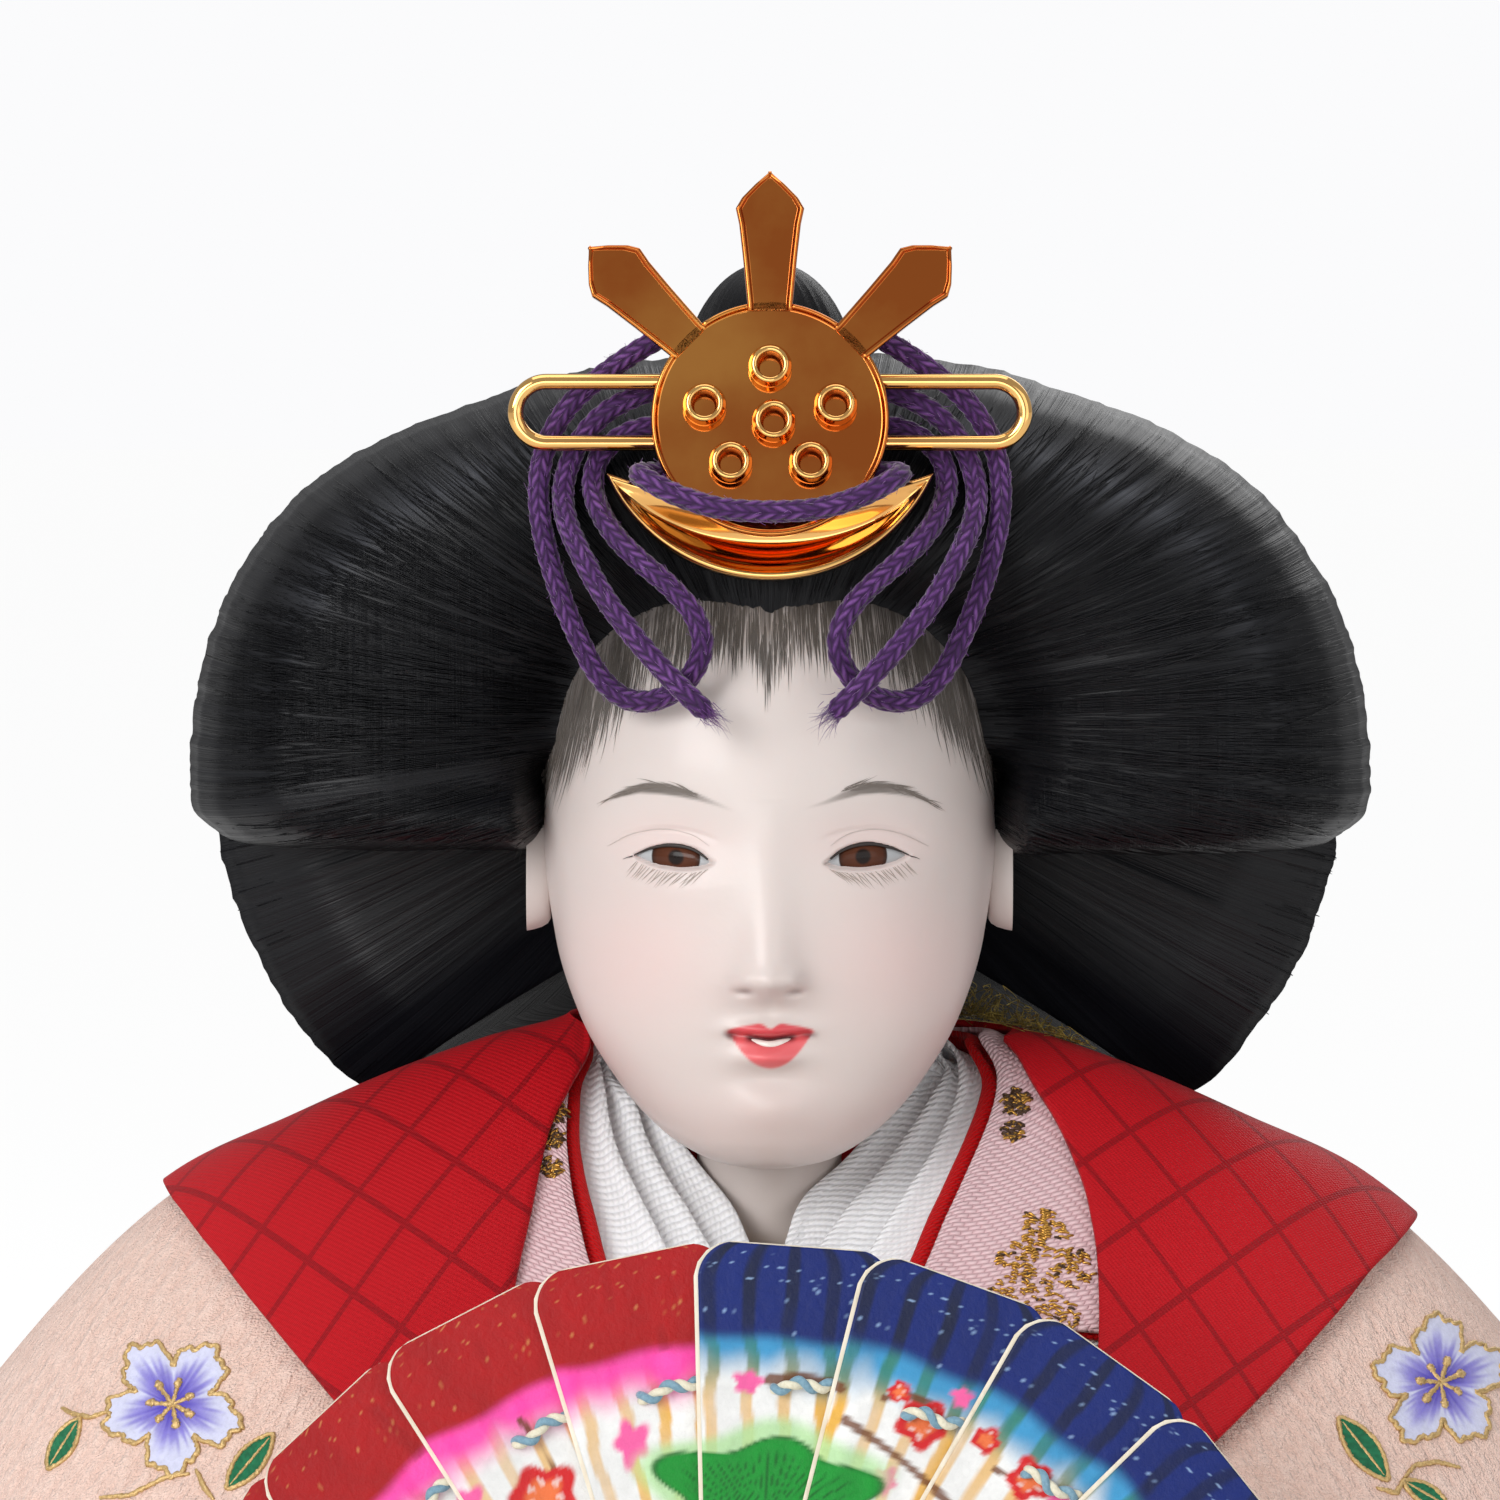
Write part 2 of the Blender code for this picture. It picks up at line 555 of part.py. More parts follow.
def make_head():
    """Head with sockets for its glass eyes and a bore for the stick."""
    head = head_form("head", 0.0, parts, finish("shell_white", (0.78, 0.75, 0.73), 0.5))
    glass = finish("eye_glass", (0.10, 0.04, 0.02), 0.08)
    for side, label in ((-1, "left"), (1, "right")):
        middle, turn = eye_seat(side)
        size = (EYE_WIDTH, EYE_DEEP, EYE_TALL)
        ball(f"eye_{label}", size, middle, parts, glass, segments=12, rings=7, turn=turn)
        room = [s + 2 * SEAT_GAP for s in size]
        socket = ball(f"socket_{label}", room, middle, tools, segments=12, rings=7, turn=turn)
        combine(head, as_tool(socket), "DIFFERENCE")
    bore = rod("stick_bore", STICK_RADIUS + SEAT_GAP, (0, 0, NECK_BOTTOM - CUT_OVERRUN),
               (0, 0, STICK_TOP + SEAT_GAP), tools, segments=16)
    combine(head, as_tool(bore), "DIFFERENCE")
    rod("neck_stick", STICK_RADIUS * 0.8, (0, 0, STICK_BOTTOM), (0, 0, STICK_TOP), parts,
        finish("stick_wood", (0.62, 0.45, 0.27), 0.7), segments=16, top_radius=STICK_RADIUS)
    return head


# Hair

def hair_outline(table_share, angle):
    """Distance of a hair outline from its middle, a little wider on the viewer's right."""
    folded = np.degrees(np.arcsin(np.clip(np.sin(angle), -1, 1)))
    grown = 1 + HAIR_GROWN_SHARE + HAIR_LEAN_SHARE * np.cos(angle)
    return smooth_through(table_share, folded) * HEAD_WIDTH * grown


def wing_rings(front, clearance=0.0):
    """Rings of a hair wing from the middle of its face over the rim to its back.

    Each ring is the outline drawn in by a share of its radius. The front stands forward
    by a table of shares, and the back is a shallow dome.
    """
    angle = np.linspace(-math.pi, math.pi, 33)[:-1]
    angle = angle - 0.33 * np.sin(2 * (angle + math.radians(10)))
    outline = hair_outline(FRONT_HAIR_SHARES if front else BACK_HAIR_SHARES, angle)
    upward = np.clip(np.sin(angle), 0, 1) ** 2
    half = HEAD_DEPTH / 2
    rings = []
    for share in WING_FRONT_SHARES if front else WING_FLAT_SHARES:
        reach = outline * share + clearance
        if front:
            side = smooth_through(FRONT_SIDE_SHARES, share)
            top = smooth_through(FRONT_TOP_SHARES, share)
            depth = -(side + (top - side) * upward) * half - clearance
        else:
            depth = (FRONT_HAIR_BACK + 2 * SEAT_GAP - clearance) * np.ones_like(angle)
            depth = depth + half * WING_RIM_SHARE * max(share - 0.84, 0) / 0.16
        rings.append(ring_points(angle, reach, depth))
    back = FRONT_HAIR_BACK if front else BACK_HAIR_BACK
    rim = rings[-1][:, 1].mean()
    for share in WING_BACK_SHARES:
        reach = outline * share + clearance
        depth = rim + (back + clearance - rim) * math.sqrt(1 - share**3)
        rings.append(ring_points(angle, reach, depth * np.ones_like(angle)))
    return rings


def ring_points(angle, reach, depth):
    x = reach * np.cos(angle)
    z = HAIR_MIDDLE + reach * np.sin(angle)
    return np.stack([x, depth, z], -1)


def stem_ends():
    """Front and back end of the pin that holds the crown plate in the hair."""
    place = crown_place()
    foot = place @ Vector((0, DISC_RISE * STEM_SHARE, -PLATE_THICK / 2 - SEAT_GAP))
    inward = place.to_3x3() @ Vector((0, 0, -1))
    return foot, foot + inward * STEM_LENGTH


def make_hair():
    """Two wings round the head, a topknot and the tail down the back."""
    black = finish("hair_black", (0.012, 0.012, 0.015), 0.35)
    front = add_piece("hair_front", loft_mesh("hair_front", wing_rings(True)), black, parts)
    back = add_piece("hair_back", loft_mesh("hair_back", wing_rings(False)), black, parts)
    room = as_tool(head_form("head_room", SEAT_GAP, tools))
    combine(front, room, "DIFFERENCE")
    start, end = stem_ends()
    beyond = (end - start).normalized() * SEAT_GAP
    stem_hole = rod("stem_hole", STEM_RADIUS + SEAT_GAP, start - beyond * 8, end + beyond, tools,
                    segments=12)
    combine(front, as_tool(stem_hole), "DIFFERENCE")
    combine(back, room, "DIFFERENCE")
    nape_low = CHIN_HEIGHT - HEAD_HEIGHT / 8
    flare = NAPE_RADIUS + (NAPE_TOP - nape_low) * NAPE_FLARE
    nape = rod("nape_room", flare, (0, 0, nape_low), (0, 0, NAPE_TOP), tools, segments=32,
               top_radius=NAPE_RADIUS)
    combine(back, as_tool(nape), "DIFFERENCE")
    knot = ball("topknot", (TOPKNOT_WIDTH, TOPKNOT_DEPTH, TOPKNOT_TALL), (0, 0, TOPKNOT_MIDDLE),
                parts, black, segments=16, rings=9)
    seat_front = add_piece("front_hair_room", loft_mesh("front_hair_room", wing_rings(True, SEAT_GAP)),
                           None, tools)
    seat_back = add_piece("back_hair_room", loft_mesh("back_hair_room", wing_rings(False, SEAT_GAP)),
                          None, tools)
    combine(knot, as_tool(seat_front), "DIFFERENCE")
    combine(knot, as_tool(seat_back), "DIFFERENCE")
    make_hair_tail(black)


def tail_section(place, grow=0.0):
    """Ring of the tail's flat oval over the middle of the back."""
    angle = np.linspace(0, 2 * math.pi, 13)[:-1]
    wide = (TAIL_WIDTH / 2) * (0.8 + 0.45 * place) + grow
    thick = TAIL_THICK / 2 + grow
    base, normal = robe_point(np.array([180.0]), np.array([place]))
    lift = LAYER_STEP + TAIL_THICK / 2
    centre = base[0] + normal[0] * lift
    across = np.array([1.0, 0.0, 0.0])
    return (centre + across * (wide * np.cos(angle))[:, None]
            + normal[0] * (thick * np.sin(angle))[:, None])


def make_hair_tail(black):
    """The long tail and the paper ties that bind it."""
    rings = [tail_section(place) for place in TAIL_SHARES]
    add_piece("hair_tail", loft_mesh("hair_tail", rings), black, parts)
    white = finish("tie_paper", (0.88, 0.87, 0.84), 0.7)
    for number, place in enumerate(TIE_SHARES, 1):
        span = TIE_TALL / ROBE_TALL / 2
        outer = [tail_section(p, SEAT_GAP + TIE_WRAP) for p in (place - span, place + span)]
        ring = add_piece(f"hair_tie_{number}", loft_mesh(f"hair_tie_{number}", outer), white, parts)
        reach = span * 1.5
        inner = [tail_section(p, SEAT_GAP) for p in (place - reach, place + reach)]
        hole = add_piece(f"tie_room_{number}", loft_mesh(f"tie_room_{number}", inner), None, tools)
        combine(ring, as_tool(hole), "DIFFERENCE")


# Crown

def crown_place():
    """Frame of the crown plate: X to the right, Y up the plate, Z towards the viewer."""
    lean = Matrix.Rotation(math.radians(90 - CROWN_LEAN), 4, "X")
    return Matrix.Translation((0, -PLATE_FACE, CROWN_BASE)) @ lean


def flat_outline(name, points, thickness, place, collection, material=None):
    """A flat plate from a closed outline, its thickness centred on the outline."""
    curve = bpy.data.curves.new(name, "CURVE")
    curve.dimensions = "2D"
    curve.fill_mode = "BOTH"
    curve.extrude = thickness / 2
    line = curve.splines.new("POLY")
    line.points.add(len(points) - 1)
    for i, (x, y) in enumerate(points):
        line.points[i].co = (x, y, 0, 1)
    line.use_cyclic_u = True
    plate = add_piece(name, curve, None, collection)
    plate.matrix_world = place
    solid = mesh_from_curve(plate, collection)
    if material:
        solid.data.materials.append(material)
    return solid


def crown_outline():
    """Outline of the plate about the disc's middle: a disc that bears three leaves.

    A leaf has a narrow foot on the disc, broad shoulders and a pointed tip. Turns are
    counted to the left from straight up.
    """
    reach = BLADE_REACH - DISC_RISE
    half = BLADE_WIDTH / 2
    foot = math.asin(half * LEAF_SHARES[0][1] / DISC_RADIUS)
    low = DISC_RADIUS * math.cos(foot)
    leaf = [(half * wide, low + (reach - low) * up) for up, wide in LEAF_SHARES]
    leaf += [(-x, y) for x, y in leaf[-2::-1]]
    side = math.radians(SIDE_BLADE_ANGLE)
    points = []
    for turn, following, steps in ((-side, 0.0, 5), (0.0, side, 5), (side, 2 * math.pi - side, 25)):
        spin = Matrix.Rotation(turn, 2)
        points += [tuple(spin @ Vector(point)) for point in leaf]
        for a in np.linspace(turn + foot, following - foot, steps + 1)[1:-1]:
            points.append((-DISC_RADIUS * math.sin(a), DISC_RADIUS * math.cos(a)))
    return points


def make_crown_plate(gold):
    """Disc with three leaves, and six hollow cups on its face."""
    middle = crown_place() @ Matrix.Translation((0, DISC_RISE, 0))
    plate = flat_outline("crown_plate", crown_outline(), PLATE_THICK, middle, parts, gold)
    up = middle.to_3x3() @ Vector((0, 0, 1))
    for number, (right_share, up_share) in enumerate(STUD_SHARES):
        foot = middle @ Vector((DISC_RADIUS * right_share, DISC_RADIUS * up_share, 0))
        cup = rod(f"stud_form_{number}", STUD_RADIUS, foot,
                  foot + up * (STUD_TALL + PLATE_THICK / 2), tools, segments=12)
        combine(plate, as_tool(cup), "UNION")
        hole = rod(f"stud_hole_{number}", STUD_HOLE, foot + up * (STUD_FLOOR + PLATE_THICK / 2),
                   foot + up * (STUD_TALL + CUT_OVERRUN), tools, segments=10)
        combine(plate, as_tool(hole), "DIFFERENCE")


def moon_outline(half_width, sag, dip):
    """Half moon with its tips at height zero: round below and hollow above."""
    low = (half_width**2 + sag**2) / (2 * sag)
    high = (half_width**2 + dip**2) / (2 * dip)
    low_reach = math.asin(half_width / low)
    high_reach = math.asin(half_width / high)
    under = [(low * math.sin(a), low - sag - low * math.cos(a))
             for a in np.linspace(-low_reach, low_reach, 17)]
    over = [(high * math.sin(a), high - dip - high * math.cos(a))
            for a in np.linspace(high_reach, -high_reach, 9)[1:-1]]
    return under + over


def make_comb(gold):
    """Half-moon comb with a raised rim, standing behind the foot of the plate."""
    lean = Matrix.Rotation(math.radians(90 - CROWN_LEAN), 4, "X")
    tips = CROWN_BASE + DISC_RISE * 0.44
    place = Matrix.Translation((0, COMB_THICK / 2 - COMB_FACE, tips)) @ lean
    outline = moon_outline(COMB_HALF_WIDTH, COMB_TALL, COMB_DIP)
    comb = flat_outline("comb", outline, COMB_THICK, place, parts, gold)
    inset = moon_outline(COMB_HALF_WIDTH - 2 * COMB_RIM, COMB_TALL - 1.9 * COMB_RIM,
                         COMB_DIP + COMB_RIM * 0.3)
    cut_place = place @ Matrix.Translation((0, -COMB_RIM * 0.9, COMB_THICK - COMB_DISH))
    dish = flat_outline("comb_dish", inset, COMB_THICK, cut_place, tools)
    combine(comb, as_tool(dish), "DIFFERENCE")


def make_hairpins(gold):
    """A bent wire loop on each side of the crown."""
    arc = np.linspace(math.pi / 2, -math.pi / 2, 9)
    bend = PIN_TALL / 2
    for side, label in ((-1, "left"), (1, "right")):
        route = [(side * PIN_START, -PIN_PLANE, PIN_HEIGHT + bend)]
        for a in arc:
            reach = PIN_REACH - bend + bend * math.cos(a)
            route.append((side * reach, -PIN_PLANE, PIN_HEIGHT + bend * math.sin(a)))
        route.append((side * PIN_START, -PIN_PLANE, PIN_HEIGHT - bend))
        curve_tube(f"hairpin_{label}", route, PIN_WIRE, gold, parts)


def make_crown():
    gold = finish("gilt_brass", (0.75, 0.42, 0.14), 0.22, 1.0)
    make_crown_plate(gold)
    rod("crown_stem", STEM_RADIUS, *stem_ends(), parts, gold, segments=10)
    make_comb(gold)
    make_hairpins(gold)


def mirrored(route):
    return [(-x, y, z) for x, y, z in route]


def make_cords():
    """Braided cords that hang from the crown, with a knot at each temple."""
    purple = finish("cord_silk", (0.12, 0.05, 0.20), 0.8)
    spacing = CORD_RADIUS * 3.4
    for route, name in ((LOOP_ROUTE, "cord_left"), (mirrored(LOOP_ROUTE), "cord_right")):
        curve_tube(name, smooth_route(route, spacing), CORD_RADIUS, purple, parts)
    across = list(FRONT_ROUTE) + mirrored(FRONT_ROUTE)[::-1]
    curve_tube("cord_front", smooth_route(across, spacing), CORD_RADIUS, purple, parts)


# Robes

def robe_surface(theta, place):
    """Point of the outermost robe at an angle from the front and a place down the robe.

    In plan it is an ellipse whose reach and height follow the side, front and back
    profiles, set back at the neck and waved by soft folds towards the hem.
    """
    turn = np.radians(theta)
    side, ahead = np.sin(turn), np.cos(turn)
    reach = smooth_through(column(SIDE_SHARES, 1), place) * ROBE_HALF_WIDTH
    side_height = smooth_through(column(SIDE_SHARES, 2), place) * ROBE_TALL
    front = smooth_through(column(FRONT_SHARES, 1), place) * ROBE_FRONT
    front_height = smooth_through(column(FRONT_SHARES, 2), place) * ROBE_TALL
    back = smooth_through(column(BACK_SHARES, 1), place) * ROBE_BACK
    back_height = smooth_through(column(BACK_SHARES, 2), place) * ROBE_TALL
    forward = ahead > 0
    setback = NECK_SETBACK * (1 - np.clip(place / 0.20, 0, 1)) ** 2
    x = reach * side
    y = -np.where(forward, front, back) * ahead + setback
    z = side_height * side**2 + np.where(forward, front_height, back_height) * ahead**2
    return np.stack([x, y, z], -1)


def fold_wave(theta, place):
    """Soft folds that deepen towards the hem and run aslant over the sleeves."""
    depth = np.clip((place - 0.34) / 0.66, 0, 1) ** 1.3
    fade = 1 - 0.75 * np.clip((place - 0.90) / 0.10, 0, 1)
    wave = np.sin(7 * np.radians(theta) + 5 * place)
    return FOLD_RISE * depth * fade * wave


def robe_point(theta, place, inset=0.0):
    """Robe surface moved inwards by the inset, and its outward normal."""
    def waved(t, p):
        point = robe_surface(t, p)
        out = np.stack([np.sin(np.radians(t)), -np.cos(np.radians(t)), 0 * t], -1)
        return point + out * fold_wave(t, p)[..., None]
    theta, place = np.broadcast_arrays(np.asarray(theta, float), np.asarray(place, float))
    turn_step, place_step = 0.5, 0.004
    around = waved(theta + turn_step, place) - waved(theta - turn_step, place)
    down = waved(theta, place + place_step) - waved(theta, place - place_step)
    normal = np.cross(down, around)
    normal = normal / np.linalg.norm(normal, axis=-1, keepdims=True)
    return waved(theta, place) - normal * inset, normal


def robe_cloth(name, theta, place, layer, material, thickness=CLOTH):
    """A sheet on the robe at a layer counted from the outside."""
    grid, _ = robe_point(theta, place, layer * LAYER_STEP)
    return cloth_piece(name, grid, thickness, material, parts)


def make_collars():
    """Three white collars, a red edge and a pink collar, each under the next."""
    white = finish("collar_white", (0.80, 0.82, 0.84), 0.7)
    red = finish("collar_red", (0.62, 0.01, 0.02), 0.6)
    pink = finish("collar_pink", (0.82, 0.66, 0.64), 0.6)
    rows = (
        ("white_collar_1", 5, 0.0, 0.50, 0.50, 3, white),
        ("white_collar_2", 4, 0.33, 0.85, 0.85, 3, white),
        ("white_collar_3", 3, 0.66, 1.15, 1.15, 3, white),
        ("red_collar", 2, 1.0, 1.40, 1.40, 3, red),
        ("pink_collar", 1, 1.15, 1.85, 2.45, 5, pink),
    )
    along = np.linspace(-1, 1, 27)
    span = np.abs(along)
    inner = [smooth_through(column(COLLAR_INNER_SHARES, k), span) for k in (1, 2)]
    outer = [smooth_through(column(COLLAR_OUTER_SHARES, k), span) for k in (1, 2)]
    front_share = 0.45 + 0.55 * np.clip((span - 0.45) / 0.35, 0, 1)
    for name, layer, start_share, left_share, right_share, count, material in rows:
        width = np.where(along > 0, right_share, left_share)
        width = start_share + (width - start_share) * front_share
        across = np.linspace(0, 1, count)[:, None]
        share = start_share + (width - start_share) * across
        theta = (inner[0] + (outer[0] - inner[0]) * share) * np.where(along < 0, -1, 1)
        theta = np.where(along == 0, 180.0, theta)
        theta = np.where(theta < 0, theta + 360, theta)
        place = inner[1] + (outer[1] - inner[1]) * share
        robe_cloth(name, theta, place, layer, material)


def make_jacket():
    """Short red jacket: one sheet from lapel over shoulders and back to lapel."""
    red = finish("jacket_red", (0.54, 0.013, 0.028), 0.6)
    across = np.linspace(-1, 1, 33)[None, :]
    nominal = 180 - np.abs(across) * 166
    hem = smooth_through(JACKET_HEM_SHARES, nominal)
    down = np.linspace(0, 1, 9)[:, None] ** 1.6
    place = down * hem
    lapel = smooth_through(LAPEL_SHARES, place)
    wide = 1 + 0.30 * np.exp(-(((place - 0.2) / 0.13) ** 2))
    lapel = np.where(across > 0, lapel * wide, lapel)
    theta = 180 - across * (180 - lapel)
    robe_cloth("red_jacket", theta, place, 0, red)


def make_sleeves():
    """Wide peach sleeves with four linings that show in steps at the opening."""
    peach = finish("sleeve_peach", (0.84, 0.55, 0.43), 0.7)
    colours = ((0.72, 0.30, 0.34), (0.85, 0.72, 0.35), (0.28, 0.48, 0.30), (0.45, 0.30, 0.55))
    sleeve_rows = 0.16 + 0.835 * np.linspace(0, 1, 13)
    for side, label in ((-1, "left"), (1, "right")):
        place = sleeve_rows[:, None]
        edge = smooth_through(SLEEVE_EDGE_SHARES, place)
        across = np.linspace(0, 1, 14)[None, :]
        theta = edge + (128 - edge) * across
        theta = side * theta[:, ::side * -1]
        robe_cloth(f"sleeve_{label}", theta, place + 0 * theta, SLEEVE_LAYER, peach)
        for number, colour in enumerate(colours, 1):
            cloth = finish(f"lining_{label}_{number}", colour, 0.7)
            place = sleeve_rows[5:, None]
            edge = smooth_through(SLEEVE_EDGE_SHARES, place)
            theta = edge - 2.1 * number + (6 + 2.1 * number) * np.linspace(0, 1, 3)[None, :]
            theta = side * theta[:, ::side * -1]
            robe_cloth(f"sleeve_lining_{label}_{number}", theta, place + 0 * theta,
                       SLEEVE_LAYER + number, cloth)


def make_robe_front(peach):
    """Front of the inner robe: down the chest, over the lap and in above the trousers."""
    across = np.linspace(1, -1, 10)
    rows = []
    for wide, deep, high in ROBE_FRONT_SHARES:
        rows.append(np.stack([ROBE_HALF_WIDTH * wide * across,
                              -ROBE_FRONT * deep * (1 - 0.32 * across**2),
                              ROBE_TALL * high - ROBE_TALL * 0.02 * across**2], -1))
    for place in LAP_SHARES:
        rows.append(robe_point(42 * across, place + 0 * across, LAP_LAYER * LAYER_STEP)[0])
    cloth_piece("robe_front", np.array(rows), CLOTH, peach, parts)


def make_robes():
    """Robe front and back, trousers, train and the layered hems on the floor."""
    peach = finish("robe_peach", (0.84, 0.55, 0.43), 0.7)
    make_robe_front(peach)
    low_rows = np.linspace(0.44, 0.99, 9)
    place = np.concatenate(([0.30, 0.37], low_rows))[:, None]
    theta = 180 - np.linspace(-62, 62, 15)[None, :]
    robe_cloth("robe_back", theta, place + 0 * theta, BACK_LAYER, peach)
    white = finish("train_white", (0.86, 0.85, 0.80), 0.6)
    place = low_rows[:, None]
    theta = 180 - np.linspace(-44, 44, 16)[None, :]
    robe_cloth("train", theta, place + 0 * theta, 1, white)
    scarlet = finish("trouser_red", (0.55, 0.02, 0.02), 0.6)
    place = np.concatenate(([0.66, 0.70], np.linspace(0.75, 0.97, 6)))[:, None]
    theta = np.linspace(56, -56, 19)[None, :]
    robe_cloth("trousers", theta, place + 0 * theta, LAP_LAYER + 1, scarlet)


def make_hems():
    """Stacked hems that spread on the floor before the knees."""
    colours = ((0.84, 0.55, 0.43), (0.72, 0.30, 0.34), (0.85, 0.72, 0.35))
    turn = np.radians(np.linspace(60, -60, 17))[None, :]
    for number, colour in enumerate(colours, 1):
        reach = np.array(HEM_SHARES)[:, None]
        reach[-1] += HEM_SPREAD_SHARE * number
        rise = HEM_STEP * (len(colours) + 1 - number) + 0 * reach
        x = ROBE_HALF_WIDTH * reach * np.sin(turn)
        y = -ROBE_FRONT * reach * np.cos(turn)
        z = rise + 0 * turn + FOLD_RISE * 0.12 * np.sin(14 * turn)
        grid = np.stack([x, y, z], -1)
        cloth = finish(f"hem_{number}", colour, 0.7)
        cloth_piece(f"hem_layer_{number}", grid, CLOTH, cloth, parts)


# Inside

def make_base_board():
    """Flat board inside the hem, the shape of the robe's footprint."""
    angle = np.linspace(0, 2 * math.pi, 41)[:-1]
    outline = []
    for a in angle:
        depth = ROBE_FRONT if math.cos(a) > 0 else ROBE_BACK * 0.84
        outline.append((ROBE_HALF_WIDTH * BOARD_SHARE * math.sin(a),
                        -depth * BOARD_SHARE * math.cos(a)))
    flat_outline("base_board", outline, BOARD_THICK, Matrix.Translation((0, 0, BOARD_THICK / 2)),
                 parts, finish("board_wood", (0.55, 0.38, 0.22), 0.7))


def arm_route():
    """Middle line of the right arm, from the shoulder to the wrist beside the fan."""
    sizes = (ROBE_HALF_WIDTH, ROBE_FRONT, ROBE_TALL)
    route = [tuple(share * size for share, size in zip(row, sizes)) for row in ARM_SHARES]
    wrist = (WRIST_ASIDE, FAN_PIVOT[1] + WRIST_SETBACK, FAN_PIVOT[2] - WRIST_DROP)
    forearm = (wrist[0] + FOREARM_ASIDE, wrist[1] + FOREARM_BACK, wrist[2] - FOREARM_DROP)
    return route + [forearm, wrist]


def make_torso():
    """Straw core wound with paper, with a bore for the neck stick and a hole for the arms."""
    half_wide = ROBE_HALF_WIDTH * 0.29
    half_deep = ROBE_FRONT * 0.36
    bottom = BOARD_THICK + SEAT_GAP
    angle = np.linspace(0, 2 * math.pi, 17)[:-1]
    rings = []
    for height_share, wide_share, deep_share in TORSO_SHARES:
        z = bottom + (TORSO_TOP - bottom) * height_share
        rings.append(np.stack([half_wide * wide_share * np.cos(angle),
                               half_deep * deep_share * np.sin(angle),
                               z + 0 * angle], -1))
    torso = add_piece("torso", loft_mesh("torso", rings), finish("straw", (0.72, 0.58, 0.32), 0.9),
                      parts)
    bore = rod("torso_bore", STICK_RADIUS + SEAT_GAP, (0, 0, STICK_BOTTOM - SEAT_GAP),
               (0, 0, TORSO_TOP + CUT_OVERRUN), tools, segments=16)
    combine(torso, as_tool(bore), "DIFFERENCE")
    shoulder = Vector(arm_route()[0])
    across = Vector((-shoulder.x, shoulder.y, shoulder.z))
    hole = rod("arm_hole", ARM_WIRE_RADIUS + SEAT_GAP, across, shoulder, tools, segments=12)
    combine(torso, as_tool(hole), "DIFFERENCE")


def make_arms():
    """One wire through the shoulders, wound with padding down each arm."""
    steel = finish("arm_wire", (0.45, 0.44, 0.42), 0.4, 1.0)
    wool = finish("arm_padding", (0.86, 0.83, 0.76), 0.95)
    right = [tuple(p) for p in smooth_route(arm_route(), ARM_PAD_RADIUS * 1.4)]
    left = mirrored(right)
    curve_tube("arm_wire", left[::-1] + right, ARM_WIRE_RADIUS, steel, parts, resolution=1)
    for path, label in ((left, "left"), (right, "right")):
        sleeve = curve_tube(f"arm_padding_{label}", path, ARM_PAD_RADIUS, None, parts)
        sleeve.data.use_fill_caps = False
        tube = mesh_from_curve(sleeve, parts)
        tube.data.materials.append(wool)
        wall = tube.modifiers.new("wall", "SOLIDIFY")
        wall.thickness = ARM_PAD_WALL
        wall.offset = -1.0


def make_lap():
    """Padding of the knees, just inside the trousers."""
    place = np.linspace(0.68, 0.92, 5)[:, None]
    theta = np.linspace(52, -52, 11)[None, :]
    grid, _ = robe_point(theta, place + 0 * theta, (LAP_LAYER + 2) * LAYER_STEP)
    cloth_piece("lap_padding", grid, PAD_THICK, finish("padding", (0.8, 0.74, 0.6), 0.95), parts)


# Fan

def fan_place():
    """Frame of the fan: X right, Y up the fan, Z towards the viewer, at the rivet."""
    lean = Matrix.Rotation(math.radians(90 - FAN_TILT), 4, "X")
    return Matrix.Translation(FAN_PIVOT) @ lean


def fan_blade_outline():
    """Blade from below the rivet to its rounded top."""
    root = FAN_BLADE_ROOT / 2
    top = FAN_BLADE_TOP / 2
    corner = top * 0.38
    points = [(root * 0.7, -FAN_TAIL), (root, -FAN_TAIL * 0.4)]
    for a in np.linspace(0, math.pi / 2, 5):
        points.append((top - corner + corner * math.cos(a),
                       FAN_RADIUS - corner + corner * math.sin(a)))
    return points + [(-x, y) for x, y in points[::-1]]


def make_fan():
    """Eight blades stacked on one rivet."""
    place = fan_place()
    silk = finish("fan_white", (0.80, 0.78, 0.76), 0.6)
    gold = finish("rivet_gold", (0.75, 0.50, 0.18), 0.25, 1.0)
    middle = (BLADE_COUNT - 1) / 2
    for number in range(BLADE_COUNT):
        turn = -(FAN_TURN + BLADE_PITCH * (number - middle))
        rise = FAN_STACK_STEP * (number - middle)
        seat = (place @ Matrix.Translation((0, 0, rise))
                @ Matrix.Rotation(math.radians(turn), 4, "Z"))
        blade = flat_outline(f"fan_blade_{number + 1}", fan_blade_outline(), FAN_BLADE_THICK,
                             seat, parts, silk)
        up = Vector((0, 0, FAN_BLADE_THICK / 2 + CUT_OVERRUN))
        hole = rod(f"rivet_hole_{number + 1}", RIVET_RADIUS + SEAT_GAP, seat @ -up, seat @ up,
                   tools, segments=14)
        combine(blade, as_tool(hole), "DIFFERENCE")
    reach = FAN_STACK_STEP * middle + FAN_BLADE_THICK / 2 + SEAT_GAP
    rivet = rod("fan_rivet", RIVET_RADIUS, place @ Vector((0, 0, -reach - RIVET_HEAD_TALL / 2)),
                place @ Vector((0, 0, reach + RIVET_HEAD_TALL / 2)), parts, gold, segments=14)
    for label, sign in (("back", -1), ("front", 1)):
        low = place @ Vector((0, 0, sign * reach))
        high = place @ Vector((0, 0, sign * (reach + RIVET_HEAD_TALL)))
        head = rod(f"rivet_head_{label}", RIVET_HEAD, low, high, tools, segments=16,
                   top_radius=RIVET_HEAD * 0.6)
        combine(rivet, as_tool(head), "UNION")


